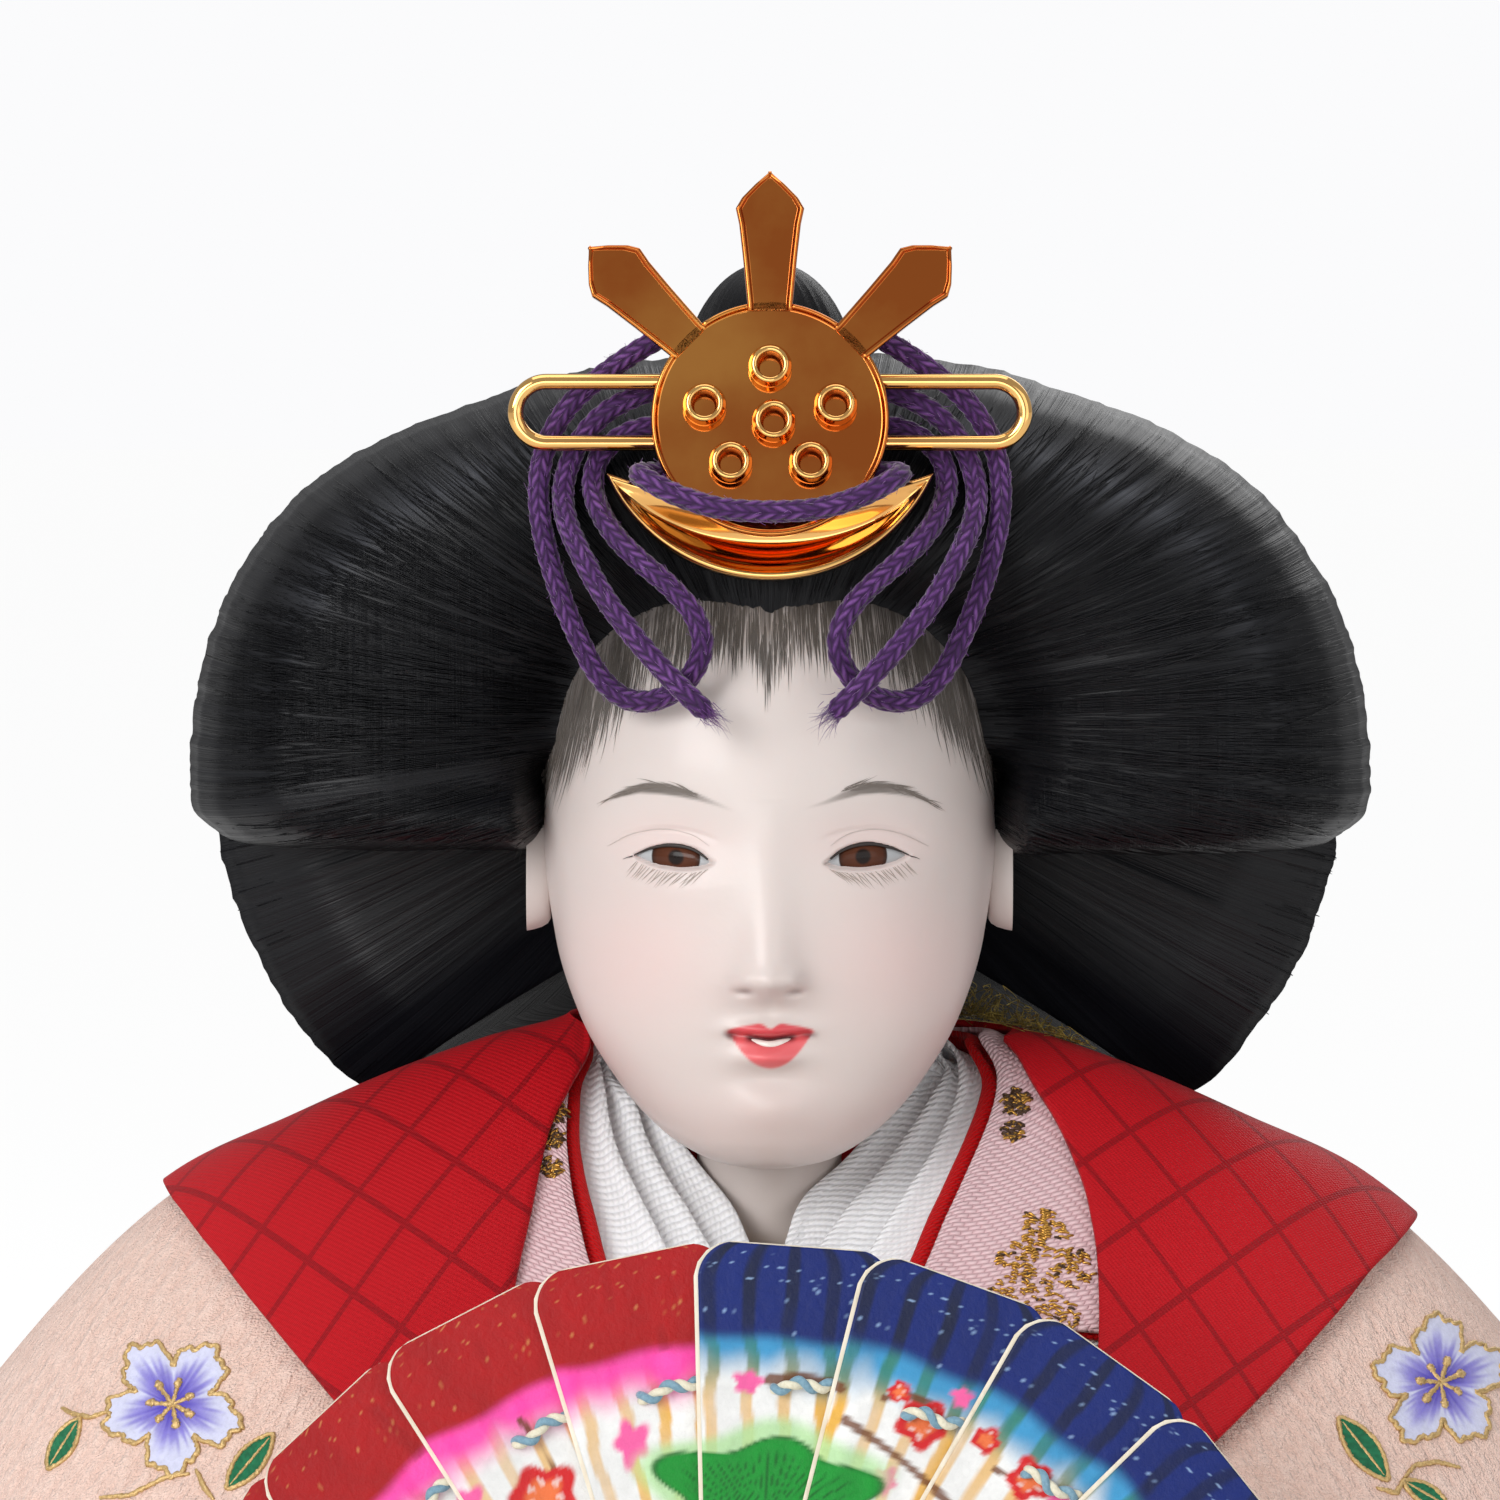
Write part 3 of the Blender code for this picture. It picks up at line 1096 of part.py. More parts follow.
def make_hands():
    """Small white hands that hold the foot of the fan, thumbs before and fingers behind."""
    white = finish("hand_white", (0.80, 0.77, 0.74), 0.5)
    place = fan_place()
    stack = FAN_STACK_STEP * (BLADE_COUNT - 1) / 2 + FAN_BLADE_THICK / 2
    clear = stack + RIVET_HEAD_TALL + 2 * SEAT_GAP
    back = clear + FINGER_RADIUS
    under = FAN_TAIL * 1.25 + FINGER_RADIUS
    for side, label in ((-1, "left"), (1, "right")):
        hand = None
        for number in range(4):
            x = side * (FIRST_FINGER + FINGER_RADIUS * 1.75 * number)
            tip = FINGER_RADIUS * (5.5 - 0.8 * number)
            grip = back * (1 + 0.02 * number)
            lean = HAND_CUP * 0.06 * number
            route = [(x, -under + tip, -grip)]
            for a in np.linspace(math.pi, 2 * math.pi, 5):
                route.append((x + side * lean * math.sin(a), -under + (HAND_CUP + lean) * math.sin(a),
                              grip * math.cos(a)))
            route.append((x - side * lean, -under + tip * 0.7, grip))
            points = [tuple(place @ Vector(p)) for p in route]
            taper = (0.95, 1.05, 1.12, 1.15, 1.12, 1.0, 0.75)
            finger = curve_tube(f"finger_{label}_{number}", points, FINGER_RADIUS, None, tools,
                                resolution=1, tapers=taper)
            finger = mesh_from_curve(finger, tools)
            if hand is None:
                hand = finger
                hand.name = f"hand_{label}"
                tools.objects.unlink(hand)
                parts.objects.link(hand)
                hand.data.materials.append(white)
            else:
                combine(hand, as_tool(finger), "UNION")
        palm_middle = place @ Vector((side * HAND_OFFSET, -under - PALM_DROP, -back - PALM_SETBACK))
        palm = ball(f"palm_{label}", PALM_SIZE, palm_middle, tools, segments=12, rings=7)
        combine(hand, as_tool(palm), "UNION")
        end = Vector(arm_route()[-1])
        end = Vector((side * end.x, end.y, end.z))
        reach = (end - palm_middle).normalized() * SEAT_GAP * 1.5
        wrist = rod(f"wrist_{label}", WRIST_RADIUS, palm_middle, end - reach, tools, segments=12,
                    top_radius=WRIST_RADIUS * 1.15)
        combine(hand, as_tool(wrist), "UNION")


remove_old_objects()
parts = new_collection("hina_doll")
tools = new_collection("cutters")
make_base_board()
make_torso()
make_arms()
make_lap()
make_head()
make_hair()
make_crown()
make_cords()
make_collars()
make_jacket()
make_sleeves()
make_robes()
make_hems()
make_fan()
make_hands()
print("pieces:", len(parts.objects))
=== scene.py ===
import json
import math

import bpy
import numpy as np
from mathutils import Matrix, Vector

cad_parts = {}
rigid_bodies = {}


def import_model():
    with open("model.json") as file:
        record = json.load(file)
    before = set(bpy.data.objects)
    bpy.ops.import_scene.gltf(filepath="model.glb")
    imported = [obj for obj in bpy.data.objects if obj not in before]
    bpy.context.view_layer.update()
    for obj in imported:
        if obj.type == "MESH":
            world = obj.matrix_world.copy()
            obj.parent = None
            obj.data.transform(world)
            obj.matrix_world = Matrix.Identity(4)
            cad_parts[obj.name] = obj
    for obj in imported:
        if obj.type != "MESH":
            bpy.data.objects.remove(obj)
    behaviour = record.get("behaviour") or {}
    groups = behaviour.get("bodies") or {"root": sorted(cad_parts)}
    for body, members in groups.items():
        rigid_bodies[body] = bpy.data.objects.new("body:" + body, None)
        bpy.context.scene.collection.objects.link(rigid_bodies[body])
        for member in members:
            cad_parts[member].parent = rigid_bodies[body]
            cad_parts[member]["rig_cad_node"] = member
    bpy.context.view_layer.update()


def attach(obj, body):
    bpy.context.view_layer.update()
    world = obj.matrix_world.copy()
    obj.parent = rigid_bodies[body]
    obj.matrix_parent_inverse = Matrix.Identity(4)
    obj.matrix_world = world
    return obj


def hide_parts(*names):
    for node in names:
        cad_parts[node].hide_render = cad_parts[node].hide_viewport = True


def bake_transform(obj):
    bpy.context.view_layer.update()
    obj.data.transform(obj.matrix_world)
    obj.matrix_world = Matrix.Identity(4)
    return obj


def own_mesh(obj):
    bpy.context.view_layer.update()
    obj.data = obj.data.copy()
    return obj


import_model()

# The doll sits on the floor, looks along -Y, and +X is on the viewer's right.
# All lengths are in metres.
cloth = {"step": 0.00095, "thick": 0.00045, "foldRise": 0.0023}
robeSize = {"halfWidth": 0.118, "front": 0.082, "back": 0.104, "tall": 0.150, "setback": 0.0046}
headSize = {"width": 0.0324, "depth": 0.0340, "tall": 0.0455, "chin": 0.1390, "roundX": 0.0165}
bothSides = ((-1, "left"), (1, "right"))


# general helpers: curves, grids, tubes and ribbons as whole arrays

def smoothThrough(table, at):
    # cubic between (place, value) pairs, slopes are harmonic means, so it never overshoots
    place, value = np.array(table, float).T
    step = np.diff(place)
    slope = np.diff(value) / step
    product = slope[:-1] * slope[1:]
    total = np.where(product > 0, slope[:-1] + slope[1:], 1.0)
    inner = np.where(product > 0, 2 * product / total, 0.0)
    tangent = np.concatenate(([slope[0]], inner, [slope[-1]]))
    index = np.clip(np.searchsorted(place, at, side="right") - 1, 0, len(step) - 1)
    t = (at - place[index]) / step[index]
    rise = value[index + 1] - value[index]
    start, end = tangent[index] * step[index], tangent[index + 1] * step[index]
    return value[index] + t * (start + t * (3 * rise - 2 * start - end + t * (start + end - 2 * rise)))


def ease(t):
    t = np.clip(t, 0, 1)
    return t * t * (3 - 2 * t)   # smooth step from 0 to 1


def splinePoints(route, count):
    # Catmull-Rom curve through the route's points, read at even arc length
    points = np.array(route, float)
    length = np.concatenate(([0], np.cumsum(np.linalg.norm(np.diff(points, axis=0), axis=1))))
    at = np.linspace(0, length[-1], count)
    padded = np.vstack([2 * points[0] - points[1], points, 2 * points[-1] - points[-2]])
    index = np.clip(np.searchsorted(length, at, side="right") - 1, 0, len(points) - 2)
    t = ((at - length[index]) / (length[index + 1] - length[index]))[:, None]
    a, b, c, d = (padded[index + k] for k in range(4))
    return 0.5 * (2 * b + (c - a) * t + (2 * a - 5 * b + 4 * c - d) * t**2
                  + (3 * b - a - 3 * c + d) * t**3)


def valueNoise(x, y, seed):
    # smooth noise from -1 to 1: random values on a lattice, eased between its corners
    table = np.random.default_rng(seed).uniform(-1, 1, (64, 64))
    ix, iy = np.floor(x).astype(int), np.floor(y).astype(int)
    fx, fy = ease(x - ix), ease(y - iy)
    low = table[ix % 64, iy % 64] * (1 - fx) + table[(ix + 1) % 64, iy % 64] * fx
    high = table[ix % 64, (iy + 1) % 64] * (1 - fx) + table[(ix + 1) % 64, (iy + 1) % 64] * fx
    return low * (1 - fy) + high * fy


def gridQuads(rows, columns, wrap=False):
    # quads of a grid whose columns run to the left seen from outside, rows downwards
    index = np.arange(rows * columns).reshape(rows, columns)
    if wrap:
        index = np.hstack([index, index[:, :1]])
    return np.stack([index[:-1, :-1], index[:-1, 1:], index[1:, 1:], index[1:, :-1]], -1).reshape(-1, 4)


def capRings(points, rows, count, flip=False):
    # a stack of rings, each closed end a fan of triangles about the mean of its ring
    quads = gridQuads(rows, count, wrap=True)
    first, last = points[:count].mean(0), points[-count:].mean(0)
    total = len(points)
    k = np.arange(count)
    n = (k + 1) % count
    base = (rows - 1) * count
    low = np.stack([n, k, np.full(count, total), np.full(count, total)], -1)
    high = np.stack([base + k, base + n, np.full(count, total + 1), np.full(count, total + 1)], -1)
    return np.vstack([points, first, last]), np.vstack([quads[:, ::-1] if flip else quads, low, high])


def joinParts(parts):
    # stack several (points, quads, values per point) into one set of arrays
    points, quads, uvs, start = [], [], [], 0
    for part in parts:
        points.append(part[0])
        quads.append(part[1] + start)
        uvs.append(part[2])
        start += len(part[0])
    return np.vstack(points), np.vstack(quads), np.vstack(uvs)


def carryFrames(path):
    # side and up vectors along a path, turned as little as possible from point to point
    path = np.asarray(path, float)
    tangent = np.gradient(path, axis=0)
    tangent /= np.linalg.norm(tangent, axis=1, keepdims=True)
    side = np.zeros_like(path)
    first = np.cross(tangent[0], (0.0, 0.0, 1.0))
    if np.linalg.norm(first) < 0.1:
        first = np.cross(tangent[0], (1.0, 0.0, 0.0))
    side[0] = first / np.linalg.norm(first)
    for i in range(1, len(path)):
        flat = side[i - 1] - tangent[i] * np.dot(side[i - 1], tangent[i])
        side[i] = flat / np.linalg.norm(flat)
    return side, np.cross(side, tangent)


def tubeArrays(path, radius, sides=10, capEnds=True):
    # circles of the given radius, (n,) or (n, sides), carried along the path, ends closed to a point
    path = np.asarray(path, float)
    side, up = carryFrames(path)
    angle = np.linspace(0, 2 * math.pi, sides + 1)[:-1]
    radius = np.broadcast_to(np.asarray(radius, float), (len(path),)) if np.ndim(radius) < 2 else radius
    radius = radius[:, None] if np.ndim(radius) == 1 else radius
    ring = (side[:, None] * np.cos(angle)[None, :, None] + up[:, None] * np.sin(angle)[None, :, None])
    points = (path[:, None] + ring * radius[..., None]).reshape(-1, 3)
    quads = gridQuads(len(path), sides, wrap=True)
    length = np.concatenate(([0], np.cumsum(np.linalg.norm(np.diff(path, axis=0), axis=1))))
    uv = np.stack([np.tile(angle / (2 * math.pi), len(path)), np.repeat(length, sides)], -1)
    if capEnds:
        count = len(points)
        points = np.vstack([points, path[0], path[-1]])
        uv = np.vstack([uv, [0.5, 0.0], [0.5, length[-1]]])
        k = np.arange(sides)
        n = (k + 1) % sides
        low = np.stack([np.full(sides, count), n, k, k], -1)
        high = np.stack([np.full(sides, count + 1), count - sides + k, count - sides + n,
                         count - sides + n], -1)
        quads = np.vstack([quads, low, high])
    return points, quads, uv


def makeTube(name, path, radius, finish, sides=10):
    # one round tube with closed ends as a piece
    return makeMesh(name, *tubeArrays(path, radius, sides), finish)


def makeMesh(name, points, quads, uv=None, finish=None, tint=None):
    # one smooth piece from arrays: points (n, 3), quads (m, 4), uv (n, 2), tint (n, 3);
    # a quad that repeats its last corner becomes a triangle
    mesh = bpy.data.meshes.new(name)
    triangle = quads[:, 2] == quads[:, 3]
    sizes = np.where(triangle, 3, 4)
    keep = np.ones(quads.shape, bool)
    keep[triangle, 3] = False
    corners = quads[keep]
    mesh.vertices.add(len(points))
    mesh.vertices.foreach_set("co", np.asarray(points, np.float32).ravel())
    mesh.loops.add(len(corners))
    mesh.loops.foreach_set("vertex_index", corners.astype(np.int32))
    mesh.polygons.add(len(quads))
    starts = np.concatenate(([0], np.cumsum(sizes)[:-1])).astype(np.int32)
    mesh.polygons.foreach_set("loop_start", starts)
    mesh.update(calc_edges=True)
    if uv is not None:
        layer = mesh.uv_layers.new(name="cloth")
        layer.data.foreach_set("uv", np.asarray(uv, np.float32)[corners].ravel())
    if tint is not None:
        layer = mesh.color_attributes.new("tint", "FLOAT_COLOR", "POINT")
        full = np.ones((len(points), 4), np.float32)
        full[:, :3] = tint
        layer.data.foreach_set("color", full.ravel())
    mesh.validate()
    mesh.shade_smooth()
    piece = bpy.data.objects.new(name, mesh)
    bpy.context.scene.collection.objects.link(piece)
    if finish:
        mesh.materials.append(finish)
    return piece


def ribbonArrays(paths, widths, outward):
    # flat strips along many paths (count, steps, 3); widths (count, steps), outward like paths
    along = np.gradient(paths, axis=1)
    side = np.cross(along, outward)
    side /= np.linalg.norm(side, axis=-1, keepdims=True) + 1e-12
    left, right = paths - side * widths[..., None] / 2, paths + side * widths[..., None] / 2
    count, steps = paths.shape[:2]
    points = np.stack([left, right], 2).reshape(-1, 3)
    base = (np.arange(count)[:, None] * steps + np.arange(steps - 1)[None]) * 2
    quads = np.stack([base + 1, base, base + 2, base + 3], -1).reshape(-1, 4)
    return points, quads


def hairArrays(paths, widths, sides=3):
    # thin three-sided tubes along many paths, with closed pointed ends
    along = np.gradient(paths, axis=1)
    along /= np.linalg.norm(along, axis=-1, keepdims=True) + 1e-12
    guide = np.zeros_like(paths)
    guide[..., 0] = 0.31
    guide[..., 1] = 0.83
    guide[..., 2] = 0.47
    side = np.cross(along, guide)
    side /= np.linalg.norm(side, axis=-1, keepdims=True) + 1e-12
    up = np.cross(side, along)
    count, steps = paths.shape[:2]
    angle = np.linspace(0, 2 * math.pi, sides + 1)[:-1]
    ring = side[:, :, None] * np.cos(angle)[:, None] + up[:, :, None] * np.sin(angle)[:, None]
    points = (paths[:, :, None] + ring * widths[..., None, None] / 2).reshape(-1, 3)
    base = (np.arange(count)[:, None, None] * steps + np.arange(steps - 1)[None, :, None]) * sides
    k = np.arange(sides)[None, None]
    n = (k + 1) % sides
    quads = np.stack([base + k, base + n, base + sides + n, base + sides + k], -1).reshape(-1, 4)
    ends = np.arange(count)[:, None] * steps * sides
    caps = np.stack([ends + 2, ends + 1, ends, ends], -1).reshape(-1, 4)
    last = ends + (steps - 1) * sides
    tails = np.stack([last, last + 1, last + 2, last + 2], -1).reshape(-1, 4)
    return points, np.vstack([quads, caps, tails])


# finishes: nodes on the piece's own coordinates

def newFinish(name, colour, roughness, metallic=0.0, sheen=0.0, coat=0.0):
    # a material with its tree and shader; cloth with a sheen mirrors less, a coat is smooth
    finish = bpy.data.materials.new(name)
    finish.use_nodes = True
    tree = finish.node_tree
    shader = tree.nodes["Principled BSDF"]
    shader.inputs["Base Color"].default_value = (*colour, 1)
    shader.inputs["Roughness"].default_value = roughness
    shader.inputs["Metallic"].default_value = metallic
    if sheen:
        shader.inputs["Sheen Weight"].default_value = sheen
        shader.inputs["Sheen Roughness"].default_value = 0.4
        shader.inputs["Specular IOR Level"].default_value = 0.18
    if coat:
        shader.inputs["Coat Weight"].default_value = coat
        shader.inputs["Coat Roughness"].default_value = 0.12
    return finish, tree, shader


def node(tree, kind, inputs=(), **settings):
    # add a node, set its properties, then fill its inputs with values or links
    item = tree.nodes.new("ShaderNode" + kind)
    for key, value in settings.items():
        setattr(item, key, value)
    for key, value in dict(inputs).items():
        if isinstance(value, bpy.types.NodeSocket):
            tree.links.new(value, item.inputs[key])
        else:
            item.inputs[key].default_value = value
    return item


def maths(tree, operation, a, b=0.0, c=0.0):
    # one sum on values or links; MULTIPLY_ADD gives a * b + c
    return node(tree, "Math", {0: a, 1: b, 2: c}, operation=operation).outputs[0]


def mixColour(tree, factor, low, high, blend="MIX"):
    # low + (high - low) * factor, or their product with the blend MULTIPLY
    item = tree.nodes.new("ShaderNodeMix")
    item.data_type = "RGBA"
    item.blend_type = blend
    for socket, value in ((item.inputs[0], factor), (item.inputs[6], low), (item.inputs[7], high)):
        if isinstance(value, bpy.types.NodeSocket):
            tree.links.new(value, socket)
        elif socket == item.inputs[0]:
            socket.default_value = value
        else:
            socket.default_value = (*value[:3], 1)
    return item.outputs[2]


def ramp(tree, factor, stops):
    # colours or grey values between the stops (place, colour), straight from one to the next
    item = tree.nodes.new("ShaderNodeValToRGB")
    tree.links.new(factor, item.inputs[0])
    while len(item.color_ramp.elements) < len(stops):
        item.color_ramp.elements.new(0.5)
    for element, (place, colour) in zip(item.color_ramp.elements, stops):
        element.position = place
        element.color = (*colour, 1) if hasattr(colour, "__len__") else (colour, colour, colour, 1)
    return item.outputs[0]


def noise(tree, vector, scale, detail=3.0, roughness=0.5):
    # soft noise from 0 to 1 with about scale spots in a unit of the vector
    return node(tree, "TexNoise", {"Vector": vector, "Scale": scale, "Detail": detail,
                                   "Roughness": roughness}).outputs[0]


def objectPlace(tree, scale=(1, 1, 1)):
    # the piece's own coordinates in metres, times the scale
    place = node(tree, "TexCoord").outputs["Object"]
    return node(tree, "Mapping", {"Vector": place, "Scale": scale}).outputs[0]


def clothPlace(tree, scale=(1, 1, 1)):
    # the cloth's coordinates in metres along its threads, times the scale
    place = node(tree, "UVMap", uv_map="cloth").outputs[0]
    return node(tree, "Mapping", {"Vector": place, "Scale": scale}).outputs[0]


def bump(tree, shader, height, distance):
    # tilts the shading normal as if the surface stood height * distance metres higher
    item = node(tree, "Bump", {"Height": height, "Distance": distance, "Strength": 1.0})
    tree.links.new(item.outputs[0], shader.inputs["Normal"])


def setColour(tree, shader, colour):
    # the link that gives the surface its colour
    tree.links.new(colour, shader.inputs["Base Color"])


def pointTint(tree):
    # the colours painted on the points of a piece
    return node(tree, "Attribute", attribute_name="tint").outputs["Color"]


def mottled(name, base, low, high, roughness, scale, detail=3.0, grainy=0.5, stretch=(1, 1, 1), depth=0.0,
            **more):
    # noise that runs from a low to a high colour, and with a depth also raises the surface
    finish, tree, shader = newFinish(name, base, roughness, **more)
    grain = noise(tree, objectPlace(tree, stretch), scale, detail, grainy)
    setColour(tree, shader, mixColour(tree, grain, low, high))
    if depth:
        bump(tree, shader, grain, depth)
    return finish


def thicken(piece, thickness):
    # gives a surface its thickness, all of it behind the surface
    shell = piece.modifiers.new("thickness", "SOLIDIFY")
    shell.thickness = thickness
    shell.offset = -1.0


def refinish(name, finish):
    # gives a rigid node of the CAD model a better finish
    materials = bpy.data.objects[name].data.materials
    materials.clear()
    materials.append(finish)


def linear(*rgb):
    # display colour 0 to 255 as the shader's linear colour
    c = np.array(rgb, float) / 255
    return tuple(float(v) for v in np.where(c <= 0.04045, c / 12.92, ((c + 0.055) / 1.055) ** 2.4))


def weave(name, colour, thread=0.0004, sheen=0.3, depth=0.00006):
    # plain woven cloth: bump sin(x / thread) * sin(y / thread), blotched a little in colour
    finish, tree, shader = newFinish(name, colour, 0.6, sheen=sheen)
    split = node(tree, "SeparateXYZ", {0: clothPlace(tree)})
    k = 2 * math.pi / thread
    warp = maths(tree, "SINE", maths(tree, "MULTIPLY", split.outputs[0], k))
    weft = maths(tree, "SINE", maths(tree, "MULTIPLY", split.outputs[1], k))
    both = maths(tree, "MULTIPLY", warp, weft)
    blotch = noise(tree, clothPlace(tree), 90.0, 4.0)
    fine = noise(tree, clothPlace(tree, scale=(1, 0.2, 1)), 2200.0, 2.0)
    shade = maths(tree, "MULTIPLY_ADD", both, 0.18, maths(tree, "MULTIPLY_ADD", blotch, 0.5,
                                                          maths(tree, "MULTIPLY", fine, 0.3)))
    dark, light = tuple(v * 0.8 for v in colour), tuple(min(1, v * 1.1) for v in colour)
    setColour(tree, shader, mixColour(tree, shade, dark, light))
    bump(tree, shader, both, depth)
    return finish


# robe surface: every cloth lies on it at a layer counted inwards

sideShares = ((-0.05, 0.113, 1.007), (0.0, 0.123, 0.991), (0.05, 0.174, 0.980), (0.10, 0.233, 0.964),
              (0.155, 0.292, 0.944), (0.22, 0.364, 0.917), (0.40, 0.534, 0.773), (0.60, 0.729, 0.547),
              (0.80, 0.890, 0.293), (0.93, 0.966, 0.107), (1.0, 1.0, 0.010))
frontShares = ((-0.05, 0.082, 0.983), (0.0, 0.092, 0.967), (0.05, 0.106, 0.947), (0.10, 0.138, 0.927),
               (0.155, 0.194, 0.902), (0.22, 0.268, 0.867), (0.40, 0.537, 0.707), (0.60, 0.732, 0.467),
               (0.80, 0.866, 0.240), (0.93, 0.951, 0.080), (1.0, 1.0, 0.010))
backShares = ((-0.05, 0.084, 1.010), (0.0, 0.094, 0.990), (0.05, 0.134, 0.963), (0.10, 0.165, 0.940),
              (0.155, 0.185, 0.913), (0.22, 0.205, 0.873), (0.40, 0.317, 0.707), (0.60, 0.481, 0.473),
              (0.80, 0.654, 0.220), (0.93, 0.817, 0.060), (1.0, 1.0, 0.011))
jacketHemBack = ((92.0, 0.2516), (110.0, 0.262), (130.0, 0.31), (150.0, 0.46), (165.0, 0.495), (180.0, 0.50))
sleeveEdgeShares = ((0.14, 84.0), (0.20, 62.0), (0.26, 38.0), (0.30, 26.0), (0.35, 16.0), (0.42, 9.0),
                    (0.50, 19.0), (0.60, 33.0), (0.80, 54.0), (1.0, 70.0))
robeFrontShares = ((0.13, 0.207, 0.847), (0.17, 0.256, 0.76), (0.20, 0.305, 0.68), (0.235, 0.335, 0.605),
                   (0.285, 0.385, 0.545), (0.33, 0.48, 0.512), (0.37, 0.585, 0.485))


def pick(table, column):
    # one column of a table beside its first
    return [(row[0], row[column]) for row in table]


def robeShape(theta, place):
    # an ellipse in plan at each place from neck 0 to floor 1: reach and height follow the side,
    # front and back profiles, and soft folds deepen towards the hem
    turn = np.radians(theta)
    side, ahead = np.sin(turn), np.cos(turn)
    reach = smoothThrough(pick(sideShares, 1), place) * robeSize["halfWidth"]
    sideHeight = smoothThrough(pick(sideShares, 2), place) * robeSize["tall"]
    front = smoothThrough(pick(frontShares, 1), place) * robeSize["front"]
    frontHeight = smoothThrough(pick(frontShares, 2), place) * robeSize["tall"]
    back = smoothThrough(pick(backShares, 1), place) * robeSize["back"]
    backHeight = smoothThrough(pick(backShares, 2), place) * robeSize["tall"]
    forward = ahead > 0
    setback = robeSize["setback"] * (1 - np.clip(place / 0.20, 0, 1)) ** 2
    x = reach * side
    y = -np.where(forward, front, back) * ahead + setback
    z = sideHeight * side**2 + np.where(forward, frontHeight, backHeight) * ahead**2
    depth = np.clip((place - 0.34) / 0.66, 0, 1) ** 1.3
    fade = 1 - 0.75 * np.clip((place - 0.90) / 0.10, 0, 1)
    wave = cloth["foldRise"] * depth * fade * np.sin(7 * turn + 5 * place)
    return np.stack([x + side * wave, y - ahead * wave, z], -1)


def robePoint(theta, place, inset=0.0):
    # the robe's surface moved inwards along its normal by the inset, and that normal
    theta, place = np.broadcast_arrays(np.asarray(theta, float), np.asarray(place, float))
    around = robeShape(theta + 0.5, place) - robeShape(theta - 0.5, place)
    down = robeShape(theta, place + 0.004) - robeShape(theta, place - 0.004)
    normal = np.cross(down, around)
    normal /= np.linalg.norm(normal, axis=-1, keepdims=True)
    return robeShape(theta, place) - normal * np.asarray(inset)[..., None], normal


def arcPlace(grid):
    # cloth coordinates in metres: arc length along rows and columns, counted from the middle
    across = np.linalg.norm(np.diff(grid, axis=1), axis=2)
    u = np.concatenate((np.zeros((len(grid), 1)), np.cumsum(across, axis=1)), axis=1)
    u -= u[:, [u.shape[1] // 2]]
    down = np.linalg.norm(np.diff(grid, axis=0), axis=2)
    v = np.concatenate((np.zeros((1, grid.shape[1])), np.cumsum(down, axis=0)), axis=0)
    return np.stack([u, v], -1)


def clothPiece(name, grid, finish, node, uv=None):
    # a sheet of cloth from a grid of points, its thickness behind it
    rows, columns = grid.shape[:2]
    uv = arcPlace(grid) if uv is None else uv
    piece = makeMesh(name, grid.reshape(-1, 3), gridQuads(rows, columns), uv.reshape(-1, 2), finish)
    thicken(piece, cloth["thick"])
    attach(piece, "figure")
    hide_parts(node)
    return piece


# camera, light and floor

# the width is what the frame shows at the aim, and pixels is how many it measures across
view = {"rise": 4.0, "aim": (-0.0014, -0.014, 0.169), "distance": 0.550, "width": 0.105, "pixels": 1500}


def cameraAxes():
    # from the doll towards the camera, upwards in the picture, and the camera's own place
    rise = math.radians(view["rise"])
    away = np.array([0.0, -math.cos(rise), math.sin(rise)])
    up = np.array([0.0, math.sin(rise), math.cos(rise)])
    return away, up, np.array(view["aim"]) + away * view["distance"]


def makeCamera():
    # stands level with the face, at the photograph's angle and framing
    away = Vector(cameraAxes()[0])
    lens = bpy.data.cameras.new("camera")
    lens.sensor_width = 36
    lens.lens = 36 * view["distance"] / view["width"]
    lens.clip_start = 0.01
    camera = bpy.data.objects.new("camera", lens)
    bpy.context.scene.collection.objects.link(camera)
    camera.location = Vector(view["aim"]) + away * view["distance"]
    camera.rotation_euler = away.to_track_quat("Z", "Y").to_euler()
    bpy.context.scene.camera = camera


def photoPoint(px, py, depth):
    # world point on the plane y = depth that the camera shows at a pixel of the frame
    away, up, eye = cameraAxes()
    px, py, depth = np.broadcast_arrays(np.asarray(px, float), np.asarray(py, float), depth)
    scale = view["width"] / view["pixels"] / view["distance"]
    ray = (-away + np.array([1.0, 0, 0]) * ((px - 750) * scale)[..., None]
           - up * ((py - 750) * scale)[..., None])
    t = (depth - eye[1]) / ray[..., 1]
    return eye + ray * t[..., None]


